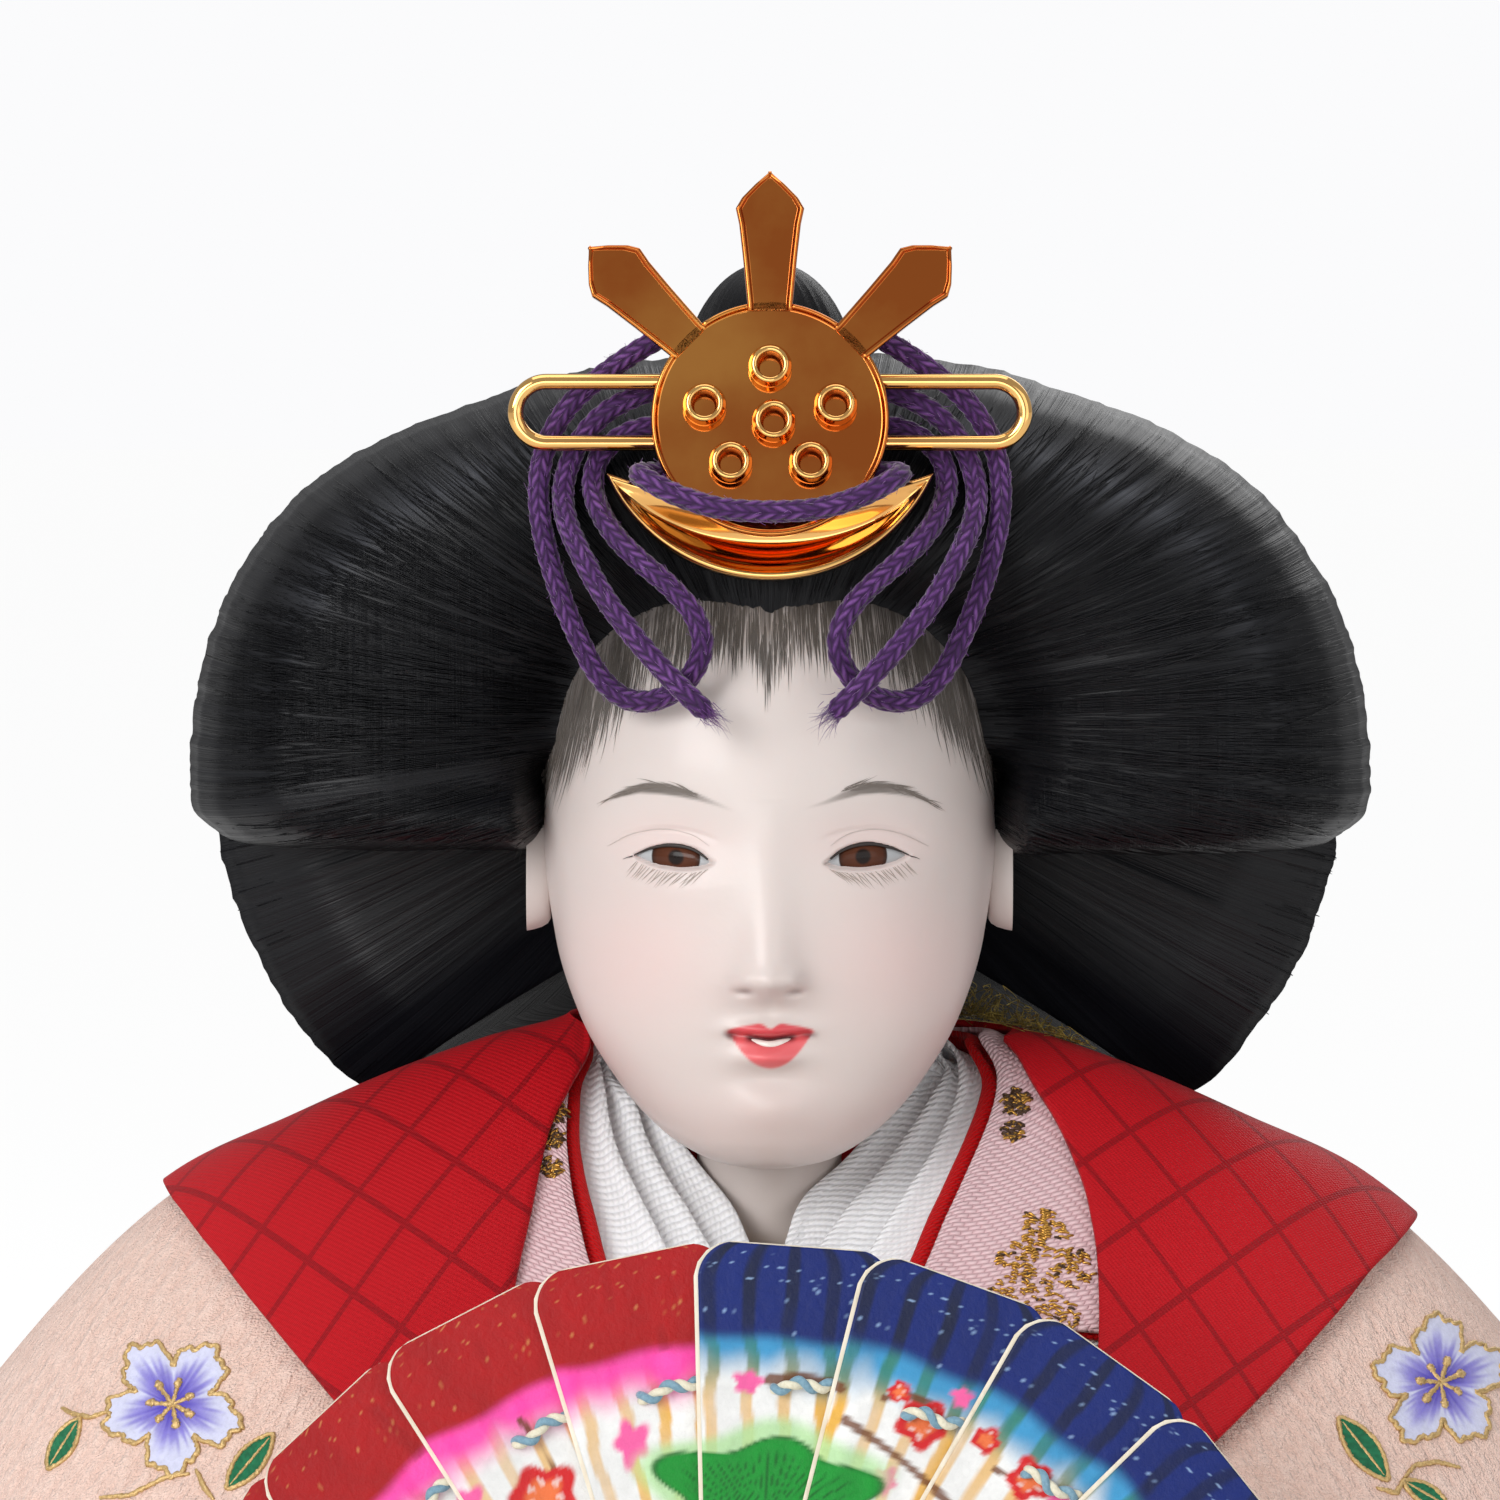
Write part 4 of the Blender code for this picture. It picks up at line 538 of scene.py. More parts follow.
def makeStage():
    # a pale floor that fades into a plain backdrop, soft lamps, and an even sky
    finish, tree, shader = newFinish("floor_pale", (0.78, 0.78, 0.78), 0.9)
    rays = node(tree, "LightPath")
    seen = maths(tree, "MAXIMUM", rays.outputs["Is Glossy Ray"], rays.outputs["Is Transmission Ray"])
    seen = maths(tree, "MAXIMUM", maths(tree, "MULTIPLY", seen, 0.4),
                 maths(tree, "MULTIPLY", rays.outputs["Is Camera Ray"], 0.72))
    glow = node(tree, "Emission", {"Color": (1.0, 1.0, 1.0, 1), "Strength": 1.21})
    mixed = node(tree, "MixShader", {0: seen, 1: shader.outputs[0], 2: glow.outputs[0]})
    tree.links.new(mixed.outputs[0], tree.nodes["Material Output"].inputs["Surface"])
    size = 6.0
    points = np.array([(-size, -size, 0), (size, -size, 0), (size, size, 0), (-size, size, 0)], float)
    floor = makeMesh("floor", points, np.array([[0, 1, 2, 3]]), finish=finish)
    floor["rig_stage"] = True
    world = bpy.data.worlds.new("studio")
    bpy.context.scene.world = world
    world.use_nodes = True
    tree = world.node_tree
    path = node(tree, "LightPath")
    camera = path.outputs["Is Camera Ray"]
    back = tree.nodes["Background"]
    back.inputs["Color"].default_value = (0.95, 0.95, 0.96, 1)
    strength = maths(tree, "MULTIPLY_ADD", camera, 0.555, 0.46)
    tree.links.new(strength, back.inputs["Strength"])
    lamps = (("key", (-0.56, -0.76, 0.52), 0.50, 5.8), ("fill", (0.62, -0.66, 0.32), 0.6, 1.2),
             ("top", (0.0, 0.05, 0.95), 0.7, 2.4), ("rim", (0.25, 0.65, 0.55), 0.4, 0.9),
             ("low", (-0.16, -0.95, 0.06), 0.5, 2.1))
    for name, place, wide, power in lamps:
        light = bpy.data.lights.new(name, "AREA")
        light.size = wide
        light.energy = power
        lamp = bpy.data.objects.new(name, light)
        bpy.context.scene.collection.objects.link(lamp)
        lamp.location = place
        aim = Vector(place) - Vector((0, 0, 0.14))
        lamp.rotation_euler = aim.to_track_quat("Z", "Y").to_euler()
    bpy.context.scene.view_settings.view_transform = "Standard"


# robes

lapelLeft = ((0.0, 66.0), (0.0144, 55.5), (0.0425, 45.5), (0.0767, 39.0), (0.1088, 34.0), (0.145, 30.0),
             (0.1812, 27.0), (0.2134, 25.0), (0.30, 21.0), (0.35, 17.0), (0.40, 11.5), (0.50, 11.0))
lapelRight = ((0.0, 100.0), (0.0345, 70.0), (0.0626, 57.0), (0.0827, 51.5), (0.1189, 45.0), (0.1571, 40.0),
              (0.1792, 37.0), (0.2134, 33.0), (0.2435, 30.0), (0.2696, 27.5), (0.31, 23.5), (0.35, 19.0),
              (0.40, 13.0), (0.50, 11.0))
jacketHemLeft = ((0.0, 0.40), (14.0, 0.40), (22.0, 0.36), (30.0, 0.315), (37.0, 0.290), (42.5, 0.2737),
                 (49.5, 0.2576), (59.0, 0.2415), (72.5, 0.2294), (84.0, 0.226), (92.0, 0.226),
                 (110.0, 0.245)) + jacketHemBack[2:]
jacketHemRight = ((0.0, 0.40), (14.0, 0.40), (24.0, 0.37), (30.0, 0.34), (37.0, 0.3119), (44.0, 0.2918),
                  (52.5, 0.2737), (64.5, 0.2576), (80.0, 0.252)) + jacketHemBack
jacket = {"red": linear(188, 5, 22), "dark": linear(112, 4, 16), "lattice": 0.0074, "line": 0.085,
          "neckDrop": 0.030, "twill": 0.00046, "columns": 220, "rows": 110}
sleeve = {"peach": linear(251, 222, 209), "layer": 1.3, "columns": 150, "rows": 150, "reach": 128.0,
          "top": 0.16, "long": 0.835, "lead": 2.1,
          "linings": (linear(222, 130, 140), linear(238, 212, 140), linear(110, 165, 120),
                      linear(150, 110, 170))}
under = {"scarlet": linear(190, 32, 30), "white": linear(236, 234, 226), "lapLayer": 6.8,
         "backLayer": 2.3}


def jacketFinish():
    # twill ground with a darker lozenge lattice, both from the cloth's own coordinates
    finish, tree, shader = newFinish("jacket_twill", jacket["red"], 0.55, sheen=0.03)
    place = clothPlace(tree, scale=(1 / jacket["lattice"], 1 / jacket["lattice"] * 0.8, 1))
    split = node(tree, "SeparateXYZ", {0: place})
    plus = maths(tree, "ADD", split.outputs[0], split.outputs[1])
    minus = maths(tree, "SUBTRACT", split.outputs[0], split.outputs[1])
    lines = None
    for side in (plus, minus):
        wave = maths(tree, "PINGPONG", side, 0.5)
        line = maths(tree, "LESS_THAN", wave, jacket["line"] / 2)
        lines = line if lines is None else maths(tree, "MAXIMUM", lines, line)
    fine = node(tree, "SeparateXYZ", {0: clothPlace(tree)})
    slant = maths(tree, "ADD", fine.outputs[0], fine.outputs[1])
    k = 2 * math.pi / jacket["twill"]
    twill = maths(tree, "SINE", maths(tree, "MULTIPLY", slant, k))
    back = maths(tree, "SINE", maths(tree, "MULTIPLY", maths(
        tree, "SUBTRACT", fine.outputs[0], fine.outputs[1]), k * 1.9))
    blotch = noise(tree, clothPlace(tree), 60.0, 4.0)
    grain = noise(tree, clothPlace(tree, scale=(1, 1, 1)), 3000.0, 2.0)
    shade = maths(tree, "MULTIPLY_ADD", twill, 0.05, maths(tree, "MULTIPLY_ADD", grain, 0.5, maths(
        tree, "MULTIPLY", blotch, 0.45)))
    light = tuple(min(1.0, v * 1.18 + 0.004) for v in jacket["red"])
    deep = tuple(v * 0.74 for v in jacket["red"])
    ground = mixColour(tree, shade, deep, light)
    worn = maths(tree, "MULTIPLY", lines, maths(tree, "MULTIPLY_ADD", grain, 0.8, 0.15))
    setColour(tree, shader, mixColour(tree, worn, ground, jacket["dark"]))
    height = maths(tree, "MULTIPLY_ADD", twill, 0.35, maths(tree, "MULTIPLY_ADD", back, 0.3, maths(
        tree, "MULTIPLY_ADD", lines, -0.5, maths(tree, "MULTIPLY", grain, 0.9))))
    bump(tree, shader, height, 0.000045)
    return finish


def jacketGrid(columns, rows):
    # from one lapel round the back to the other, from the neckline down to the hem
    across = np.linspace(-1, 1, columns)[None, :]
    right = across > 0
    nominal = 180 - np.abs(across) * np.where(right, 153.5, 157.7)
    hem = np.where(right, smoothThrough(jacketHemRight, nominal), smoothThrough(jacketHemLeft, nominal))
    neck = jacket["neckDrop"] * ease((across - 0.3) / 0.4)
    place = neck + np.linspace(0, 1, rows)[:, None] ** 1.6 * (hem - neck)
    lapel = np.where(right, smoothThrough(lapelRight, place), smoothThrough(lapelLeft, place))
    theta = 180 - across * (180 - lapel)
    return theta, place


def panelPlace(grid):
    # straight grain: distance out along the shoulder ridge, and down the panel from that ridge
    ridge = robePoint(90.0, np.linspace(-0.05, 0.42, 60))[0]
    arc = np.concatenate(([0], np.cumsum(np.linalg.norm(np.diff(ridge, axis=0), axis=1))))
    out = np.abs(grid[..., 0])
    u = np.interp(out, ridge[:, 0], arc) * np.sign(grid[..., 0])
    dy = grid[..., 1] - np.interp(out, ridge[:, 0], ridge[:, 1])
    dz = grid[..., 2] - np.interp(out, ridge[:, 0], ridge[:, 2])
    return np.stack([u, np.hypot(dy, dz) * np.sign(dy)], -1)


def crepeFinish():
    # crinkled crepe: fine wavy ribs and a soft colour drift
    finish, tree, shader = newFinish("sleeve_crepe", sleeve["peach"], 0.7, sheen=0.25)
    ribs = noise(tree, clothPlace(tree, scale=(1.0, 0.34, 1)), 1250.0, 3.0, 0.6)
    grain = noise(tree, clothPlace(tree), 5200.0, 2.0)
    blotch = noise(tree, clothPlace(tree), 45.0, 4.0)
    shade = maths(tree, "MULTIPLY_ADD", ribs, 1.7, maths(tree, "MULTIPLY_ADD", blotch, 0.4, -0.65))
    deep = tuple(v * c for v, c in zip(sleeve["peach"], (0.92, 0.82, 0.78)))
    light = tuple(min(1.0, v * 1.05) for v in sleeve["peach"])
    setColour(tree, shader, mixColour(tree, shade, deep, light))
    height = maths(tree, "MULTIPLY_ADD", grain, 0.4, ribs)
    bump(tree, shader, height, 0.00095)
    return finish


def makeRobes():
    # jacket, then on each side the sleeve and its four linings, each a layer further in
    red, crepe = jacketFinish(), crepeFinish()
    theta, place = jacketGrid(jacket["columns"], jacket["rows"])
    grid = robePoint(theta, place)[0]
    clothPiece("jacket_cloth", grid, red, "red_jacket",
               uv=panelPlace(grid))
    for side, label in bothSides:
        place = (sleeve["top"] + sleeve["long"] * np.linspace(0, 1, sleeve["rows"]))[:, None]
        edge = smoothThrough(sleeveEdgeShares, place)
        theta = edge + (sleeve["reach"] - edge) * np.linspace(0, 1, sleeve["columns"])[None, :]
        theta = side * theta[:, ::-side]
        grid = robePoint(theta, place, sleeve["layer"] * cloth["step"])[0]
        clothPiece(f"sleeve_{label}_cloth", grid, crepe, f"sleeve_{label}")
        for number, colour in enumerate(sleeve["linings"], 1):
            finish = weave(f"lining_silk_{label}_{number}", colour, sheen=0.3)
            rows = np.linspace(sleeve["top"] + sleeve["long"] * 5 / 12, 0.995, 90)[:, None]
            edge = smoothThrough(sleeveEdgeShares, rows)
            lead = sleeve["lead"] * number
            theta = edge - lead + (6 + lead) * np.linspace(0, 1, 14)[None, :]
            theta = side * theta[:, ::-side]
            grid = robePoint(theta, rows, (sleeve["layer"] + number) * cloth["step"])[0]
            clothPiece(f"lining_{label}_{number}", grid, finish, f"sleeve_lining_{label}_{number}")
    makeUnderRobes(crepe)
    print("robes made")


def makeUnderRobes(crepe):
    # robe front over chest and lap, robe back, train, pleated trousers and the spread hems
    across = np.linspace(1, -1, 90)
    table = np.array(robeFrontShares)
    wanted = np.linspace(0, 1, 40)
    at = np.linspace(0, 1, len(table))
    wide, deep, high = (smoothThrough(np.stack([at, table[:, k]], -1), wanted) for k in range(3))
    rows = np.stack([robeSize["halfWidth"] * wide[:, None] * across,
                     -robeSize["front"] * deep[:, None] * (1 - 0.32 * across**2),
                     robeSize["tall"] * high[:, None] - robeSize["tall"] * 0.02 * across**2], -1)
    low = np.linspace(0.62, 0.70, 12)[:, None]
    layer = under["lapLayer"] * cloth["step"]
    lap = robePoint(42 * across[None, :], low, layer)[0]
    bend = np.linspace(0, 1, 8)[1:-1, None, None]
    joint = rows[-1] * (1 - bend) + lap[0] * bend
    grid = np.concatenate((rows, joint, lap))
    clothPiece("robe_front_cloth", grid, crepe, "robe_front")
    back = np.concatenate(([0.30, 0.37], np.linspace(0.44, 0.99, 60)))[:, None]
    theta = 180 - np.linspace(-62, 62, 120)[None, :]
    grid = robePoint(theta, back, under["backLayer"] * cloth["step"])[0]
    clothPiece("robe_back_cloth", grid, crepe, "robe_back")
    train = weave("train_silk", under["white"], thread=0.0005, sheen=0.2, depth=0.00004)
    rows = np.linspace(0.44, 0.99, 80)[:, None]
    theta = 180 - np.linspace(-44, 44, 130)[None, :]
    grid = robePoint(theta, rows, cloth["step"])[0]
    clothPiece("train_cloth", grid, train, "train")
    scarlet = weave("trouser_silk", under["scarlet"], thread=0.0005, sheen=0.4)
    rows = np.linspace(0.66, 0.97, 60)[:, None]
    theta = np.linspace(56, -56, 240)[None, :]
    pleat = 0.00035 * (np.abs(((theta / 4.0) % 2) - 1) - 0.5)
    grid = robePoint(theta, rows, (under["lapLayer"] + 1) * cloth["step"] + pleat)[0]
    clothPiece("trousers_cloth", grid, scarlet, "trousers")
    colours = (sleeve["peach"], sleeve["linings"][0], sleeve["linings"][1])
    turn = np.radians(np.linspace(60, -60, 160))[None, :]
    for number, colour in enumerate(colours, 1):
        reach = np.interp(np.linspace(0, 2, 14), [0, 1, 2], [0.905, 0.96, 1.0 + 0.035 * number])[:, None]
        rise = 0.0011 * (len(colours) + 1 - number)
        x = robeSize["halfWidth"] * reach * np.sin(turn)
        y = -robeSize["front"] * reach * np.cos(turn)
        z = rise + 0 * x + cloth["foldRise"] * 0.12 * np.sin(14 * turn)
        finish = weave(f"hem_silk_{number}", colour, sheen=0.3)
        clothPiece(f"hem_{number}_cloth", np.stack([x, y, z], -1), finish, f"hem_layer_{number}")


# head: shell-white egg with nose, lips, eye hollows, ears and neck

headShares = ((0.000, 0.10, 0.60, -0.50), (0.018, 0.27, 0.82, -0.36), (0.058, 0.46, 0.92, -0.20),
              (0.128, 0.65, 0.965, 0.00), (0.231, 0.83, 0.985, 0.22), (0.350, 0.944, 1.00, 0.62),
              (0.506, 1.000, 0.985, 0.95), (0.629, 0.985, 0.96, 1.00), (0.742, 0.930, 0.895, 0.98),
              (0.870, 0.720, 0.735, 0.86), (0.960, 0.420, 0.44, 0.60), (1.000, 0.080, 0.02, 0.16))
skin = {"white": linear(212, 201, 196), "blush": linear(236, 190, 186), "upperLip": linear(212, 74, 82),
        "lowerLip": linear(228, 104, 108), "mouth": linear(70, 20, 25), "brow": linear(104, 95, 88),
        "ink": linear(62, 56, 52), "lash": linear(44, 36, 32), "paleLash": linear(168, 154, 144),
        "columns": 250, "rows": 250}
eyePlaces = {"left": ((633, 856), (714, 864), (650, 848.5), (671, 845), (694, 849.5),
                      (652, 865), (676, 869.5), (698, 869)),
             "right": ((910, 856), (824, 864), (892, 848), (867, 843.5), (843, 849.5),
                       (890, 865), (866, 869.5), (840, 869))}
iris = {"left": (676, 857), "right": (863, 856), "radius": 25}


def headHalves(share):
    # half the head's width, and its reach to the front and the back, at a share of its height
    return [smoothThrough(pick(headShares, k), share) * headSize[size] / 2
            for k, size in ((1, "width"), (2, "depth"), (3, "depth"))]


def plainFace(x, z):
    # front of the bare egg at world x and z: an ellipse in plan whose size follows the height
    wide, front, back = headHalves(np.clip((z - headSize["chin"]) / headSize["tall"], 0, 1))
    cosine = np.sqrt(np.clip(1 - (x / wide) ** 2, 0, 1))
    return (back - front) / 2 - (front + back) / 2 * cosine


def faceCoords(x, z):
    # nearest pixel of the photograph's frame for a point of the face
    away, up, eye = cameraAxes()
    point = np.stack(np.broadcast_arrays(x, plainFace(x, z), z), -1) - eye
    depth = -(point @ away)
    scale = view["pixels"] / view["width"] * view["distance"] / depth
    return 750 + point[..., 0] * scale, 750 - (point @ up) * scale


def bell(value, width):
    # 1 at zero, falling to 1 / e at the width
    return np.exp(-(value / width) ** 2)


def faceRelief(px, py):
    # how far each feature stands before the egg, in metres, worked out in the frame's pixels:
    # nose ridge, tip and wings, nostrils, lips with their parting, chin, cheeks, lids and hollows
    mid = 768.5
    ridge = np.clip((py - 800) / 185, 0, 1)
    under = ease((1016 - py) / 44)
    wide = 21 + 11 * ridge**2.2
    nose = 0.0021 * (0.16 + 0.84 * ridge**1.7) * ridge**0.5 * under * bell(px - mid, wide * 1.12)
    wings = sum(0.00042 * bell(px - (mid + s * 25), 12.0) * bell(py - 979, 12) for s in (-1, 1))
    tip = 0.0004 * bell(px - mid, 15) * bell(py - 983, 15)
    nostrils = sum(0.00045 * bell(px - (mid + s * 25), 8.5) * bell(py - 992, 4) for s in (-1, 1))
    groove = 0.00012 * bell(px - mid, 7) * bell(py - 1010, 10)
    upper = 0.0008 * bell(px - mid, 36) * bell(py - 1029, 8.5)
    lower = 0.0010 * bell(px - mid, 31) * bell(py - 1057, 10)
    parting = 0.00075 * bell(py - mouthLine(px), 3.6) * ease((47 - abs(px - mid)) / 12)
    below = 0.00030 * bell(px - mid, 34) * bell(py - 1080, 10)
    chin = 0.0006 * bell(px - mid, 42) * bell(py - 1112, 24)
    sockets = sum(0.00055 * bell(px - c, 62) * bell(py - 838, 34) for c in (672, 866))
    sockets = sockets - sum(0.0003 * bell(px - c, 55) * bell(py - 888, 18) for c in (672, 866)) * 0.3
    crease = sum(0.00012 * bell(py - (829 + 0.0042 * (px - c) ** 2), 2.4) * ease((58 - abs(px - c)) / 22)
                 for c in (663, 873))
    opening = sum(eyeInside(px, py, side) for side in ("left", "right")) * 0.00062
    return (nose + wings + tip - nostrils - groove + upper + lower - parting - below + chin - sockets
            - crease - opening)


def mouthLine(px):
    # parting of the lips: a shallow bow, higher at its middle peaks and ends
    x = np.abs(px - 769)
    return 1037 + 3.2 * np.exp(-(x / 14) ** 2) - 0.0030 * np.clip(x - 12, 0, 60) ** 2 * 1.1


def lidCurves(side, count):
    # upper and lower lid lines from the outer to the inner corner, in pixels
    outer, inner, a, b, c, d, e, f = eyePlaces[side]
    return splinePoints([outer, a, b, c, inner], count), splinePoints([outer, d, e, f, inner], count)


def eyeInside(px, py, side):
    # 1 inside an eye opening, 0 outside, with a soft edge of about three pixels
    upper, lower = lidCurves(side, 60)
    order = np.argsort(upper[:, 0])
    top = np.interp(px, upper[order, 0], upper[order, 1])
    order = np.argsort(lower[:, 0])
    low = np.interp(px, lower[order, 0], lower[order, 1])
    gap = np.minimum(py - top, low - py)
    ends = np.minimum(px - upper[:, 0].min(), upper[:, 0].max() - px)
    return ease((gap + 1.6) / 3.0) * ease((ends + 1) / 3)


def facePoint(px, py, lift=0.0):
    # point of the finished face that the camera shows at a pixel, lifted outwards
    px, py = np.asarray(px, float), np.asarray(py, float)
    relief = faceRelief(px, py)
    point = photoPoint(px, py, -0.016)
    for _ in range(6):   # settles within a micrometre
        depth = plainFace(point[..., 0], point[..., 2]) - relief
        point = photoPoint(px, py, depth)
    side = point[..., 0] / headSize["roundX"]
    out = np.stack([side, -np.sqrt(np.clip(1 - side**2, 0.05, 1)), 0 * px], -1)
    return point + out * lift


def facePaint(px, py):
    # colours laid over the white: blush on cheeks and chin, lips, dark parting, shaded eye corners, and painted shade
    # at the nostrils
    white, blush = np.array(skin["white"]), np.array(skin["blush"])
    red = np.clip(sum(0.30 * bell(px - c, 85) * bell(py - 960, 75) for c in (640, 900))
                  + 0.16 * bell(px - 768, 90) * bell(py - 1118, 45)
                  + sum(0.22 * bell(px - c, 60) * bell(py - 842, 26) for c in (668, 868)), 0, 1)
    colour = white + (blush - white) * red[..., None]
    x = np.abs(px - 770.5)
    line = mouthLine(px)
    bow = 1024.0 + 3.6 * bell(x, 6.0) - 1.2 * bell(x - 11, 6) + 0.0060 * np.clip(x - 12, 0, 60) ** 2
    upper = ease((py - bow + 1.5) / 3) * ease((line - py + 1.5) / 3) * ease((46 - x) / 6)
    sag = 1068.0 - 0.0200 * x**2
    lower = ease((sag - py + 2) / 4) * ease((py - line + 1.5) / 3) * ease((44 - x) / 6)
    for amount, paint in ((upper, skin["upperLip"]), (lower, skin["lowerLip"])):
        colour = colour + (np.array(paint) - colour) * amount[..., None]
    dark = bell(py - line - 1.5, 3.2) * np.clip(ease((28 - x) / 8) + 0.75 * bell(x - 40, 6), 0, 1)
    colour = colour + (np.array(skin["mouth"]) - colour) * np.clip(dark, 0, 1)[..., None]
    colour = browPaint(colour, px, py)
    colour = hairPaint(colour, px, py)
    # painted shade under the nose at the nostrils
    nostrilShade = np.clip(sum(bell(px - c, 6.5) * bell(py - 990, 3.2) for c in (745, 796)), 0, 1) * 0.42
    colour = colour + (np.array(skin["mouth"]) * 1.6 - colour) * nostrilShade[..., None]
    return colour


# middle line, half thickness and strength of each painted brow
brows = (((606, 801, 1.0, 0.2), (620, 794, 3.0, 0.65), (640, 788.5, 4.6, 0.85), (660, 788.5, 5.6, 0.95),
          (680, 792, 4.8, 0.9), (700, 798, 3.2, 0.65), (716, 804, 1.9, 0.35), (736, 812, 0.8, 0.0)),
         ((804, 809, 0.8, 0.0), (824, 803, 1.7, 0.35), (840, 797, 3.2, 0.65), (860, 790, 4.8, 0.9),
          (880, 787.5, 5.6, 0.95), (900, 790, 4.6, 0.8), (918, 796, 2.6, 0.5), (936, 804, 0.8, 0.0)))
# how far down the painted hair reaches across the forehead
paintedHair = ((536, 850), (545, 835), (560, 815), (590, 778), (615, 738), (640, 706), (680, 680),
               (720, 666), (752, 668), (764, 690), (768, 706), (772, 690), (784, 668), (830, 664),
               (868, 676), (902, 698), (925, 728), (955, 768), (982, 798), (996, 830), (1006, 856))


def browPaint(colour, px, py):
    # a soft grey crescent over each eye
    for table in brows:
        line = np.array(table, float)
        middle, half, strong = (np.interp(px, line[:, 0], line[:, k]) for k in (1, 2, 3))
        within = (px > line[0, 0]) & (px < line[-1, 0])
        amount = ease((half - np.abs(py - middle)) / 3.0 + 0.5) * strong * within
        colour = colour + (np.array(skin["brow"]) - colour) * amount[..., None]
    return colour


def hairPaint(colour, px, py):
    # ink washed down from the hairline in streaks that fade into the skin
    side = (px - 768) / 230
    strand = px - 0.28 * side * (py - 640)
    streak = valueNoise(strand / 4.6 + 400, py / 90 + 3, 21)
    fine = valueNoise(strand / 2.6 + 900, py / 70 + 8, 22)
    reach = np.interp(px, *np.array(paintedHair, float).T) + 15 * streak + 7 * fine
    edge = 72 + 18 * np.abs(side)
    depth = (reach - py) / edge
    amount = np.clip(depth, 0, 1) ** 1.25 * (0.86 + 0.16 * fine)
    ink = np.array(skin["ink"])
    amount = np.clip(amount, 0, 0.97) * ease((py - 560) / 20)
    return colour + (ink - colour) * amount[..., None]


def faceFinish():
    # shell-white coat, polished but not glassy, with the painted colours as a point colour
    finish, tree, shader = newFinish("shell_white", skin["white"], 0.42, coat=0.12)
    paint = node(tree, "VertexColor", layer_name="tint").outputs[0]
    setColour(tree, shader, paint)
    shader.inputs["Subsurface Weight"].default_value = 0.12
    shader.inputs["Subsurface Radius"].default_value = (0.0025, 0.0012, 0.0009)
    shader.inputs["Subsurface Scale"].default_value = 0.5
    grain = noise(tree, objectPlace(tree), 900.0, 4.0)
    bump(tree, shader, grain, 0.00002)
    return finish


def makeHead():
    # an egg of rings, closer together over the face, pushed back by the relief and painted
    finish = faceFinish()
    rows = np.concatenate((np.linspace(0, 0.06, 14)[:-1], np.linspace(0.06, 0.78, skin["rows"])[:-1],
                           np.linspace(0.78, 1, 24)))
    turns = np.linspace(-1, 1, skin["columns"] + 1)[:-1]
    around = -math.pi * turns * (0.42 + 0.58 * np.abs(turns) ** 1.5)
    share, around = np.meshgrid(rows, around, indexing="ij")
    wide, front, back = headHalves(share)
    x = wide * np.sin(around)
    z = headSize["chin"] + share * headSize["tall"]
    y = (back - front) / 2 - (front + back) / 2 * np.cos(around)
    px, py = faceCoords(x, z)
    ahead = ease(np.cos(around) / 0.35)
    y = y - faceRelief(px, py) * ahead
    colour = facePaint(px, py)
    white = np.array(skin["white"])
    colour = white + (colour - white) * ahead[..., None]
    points = np.stack([x, y, z], -1).reshape(-1, 3)
    points, quads = capRings(points, len(rows), skin["columns"], flip=True)
    tint = np.vstack([colour.reshape(-1, 3), white, white])
    head = makeMesh("face", points, quads, None, finish, tint)
    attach(head, "head_group")
    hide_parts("head")
    neck = tubeArrays(np.array([(0, 0, 0.1312), (0, 0, 0.134), (0, 0, 0.138), (0, 0, 0.142), (0, 0, 0.148)]),
                      np.array([0.0050, 0.0052, 0.0052, 0.0052, 0.0051]), 40)
    neckPiece = makeMesh("neck", *neck, finish=plainSkin())
    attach(neckPiece, "head_group")
    for side, label in bothSides:
        makeEar(side, label)
        makeEye(label)
    makeFacePaintStrokes()
    makeTeeth()
    print("head made")


def plainSkin():
    # the same coat without painted colours
    finish, tree, shader = newFinish("shell_white_plain", skin["white"], 0.45, coat=0.1)
    shade = noise(tree, objectPlace(tree), 60.0, 3.0)
    setColour(tree, shader, mixColour(tree, shade, tuple(v * 0.95 for v in skin["white"]),
                                      skin["white"]))
    bump(tree, shader, noise(tree, objectPlace(tree), 900.0, 4.0), 0.00002)
    return finish


def makeEar(side, label):
    # an oval shell: a dish whose rim rolls forward, lobe at its foot
    u = np.linspace(0, 2 * math.pi, 49)[:-1]
    v = np.linspace(0, 1, 22)
    vv, uu = np.meshgrid(v, u, indexing="ij")
    tall, deep = 0.0046 - 0.0006 * (np.sin(uu) < 0) * np.abs(np.sin(uu)), 0.0027
    radius = np.sin(vv * math.pi)
    rim = 0.0011 * np.exp(-((vv - 0.50) / 0.10) ** 2) - 0.0009 * np.exp(-((vv - 0.26) / 0.13) ** 2)
    out = np.where(vv < 0.5, 0.0007, -0.0009) * np.cos(vv * math.pi) ** 2 * 0.6 + rim
    x = side * (headSize["width"] / 2 + 0.0002 + out)
    y = 0.0002 + deep * radius * np.cos(uu) + 0.0012 * np.sin(uu) * radius * 0.3
    z = headSize["chin"] + headSize["tall"] * 0.44 + tall * radius * np.sin(uu)
    points = np.stack([x, y, z], -1).reshape(-1, 3)
    quads = gridQuads(22, 48, wrap=True)
    if side < 0:
        quads = quads[:, ::-1]
    ear = makeMesh(f"ear_{label}", points, quads, finish=plainSkin())
    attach(ear, "head_group")


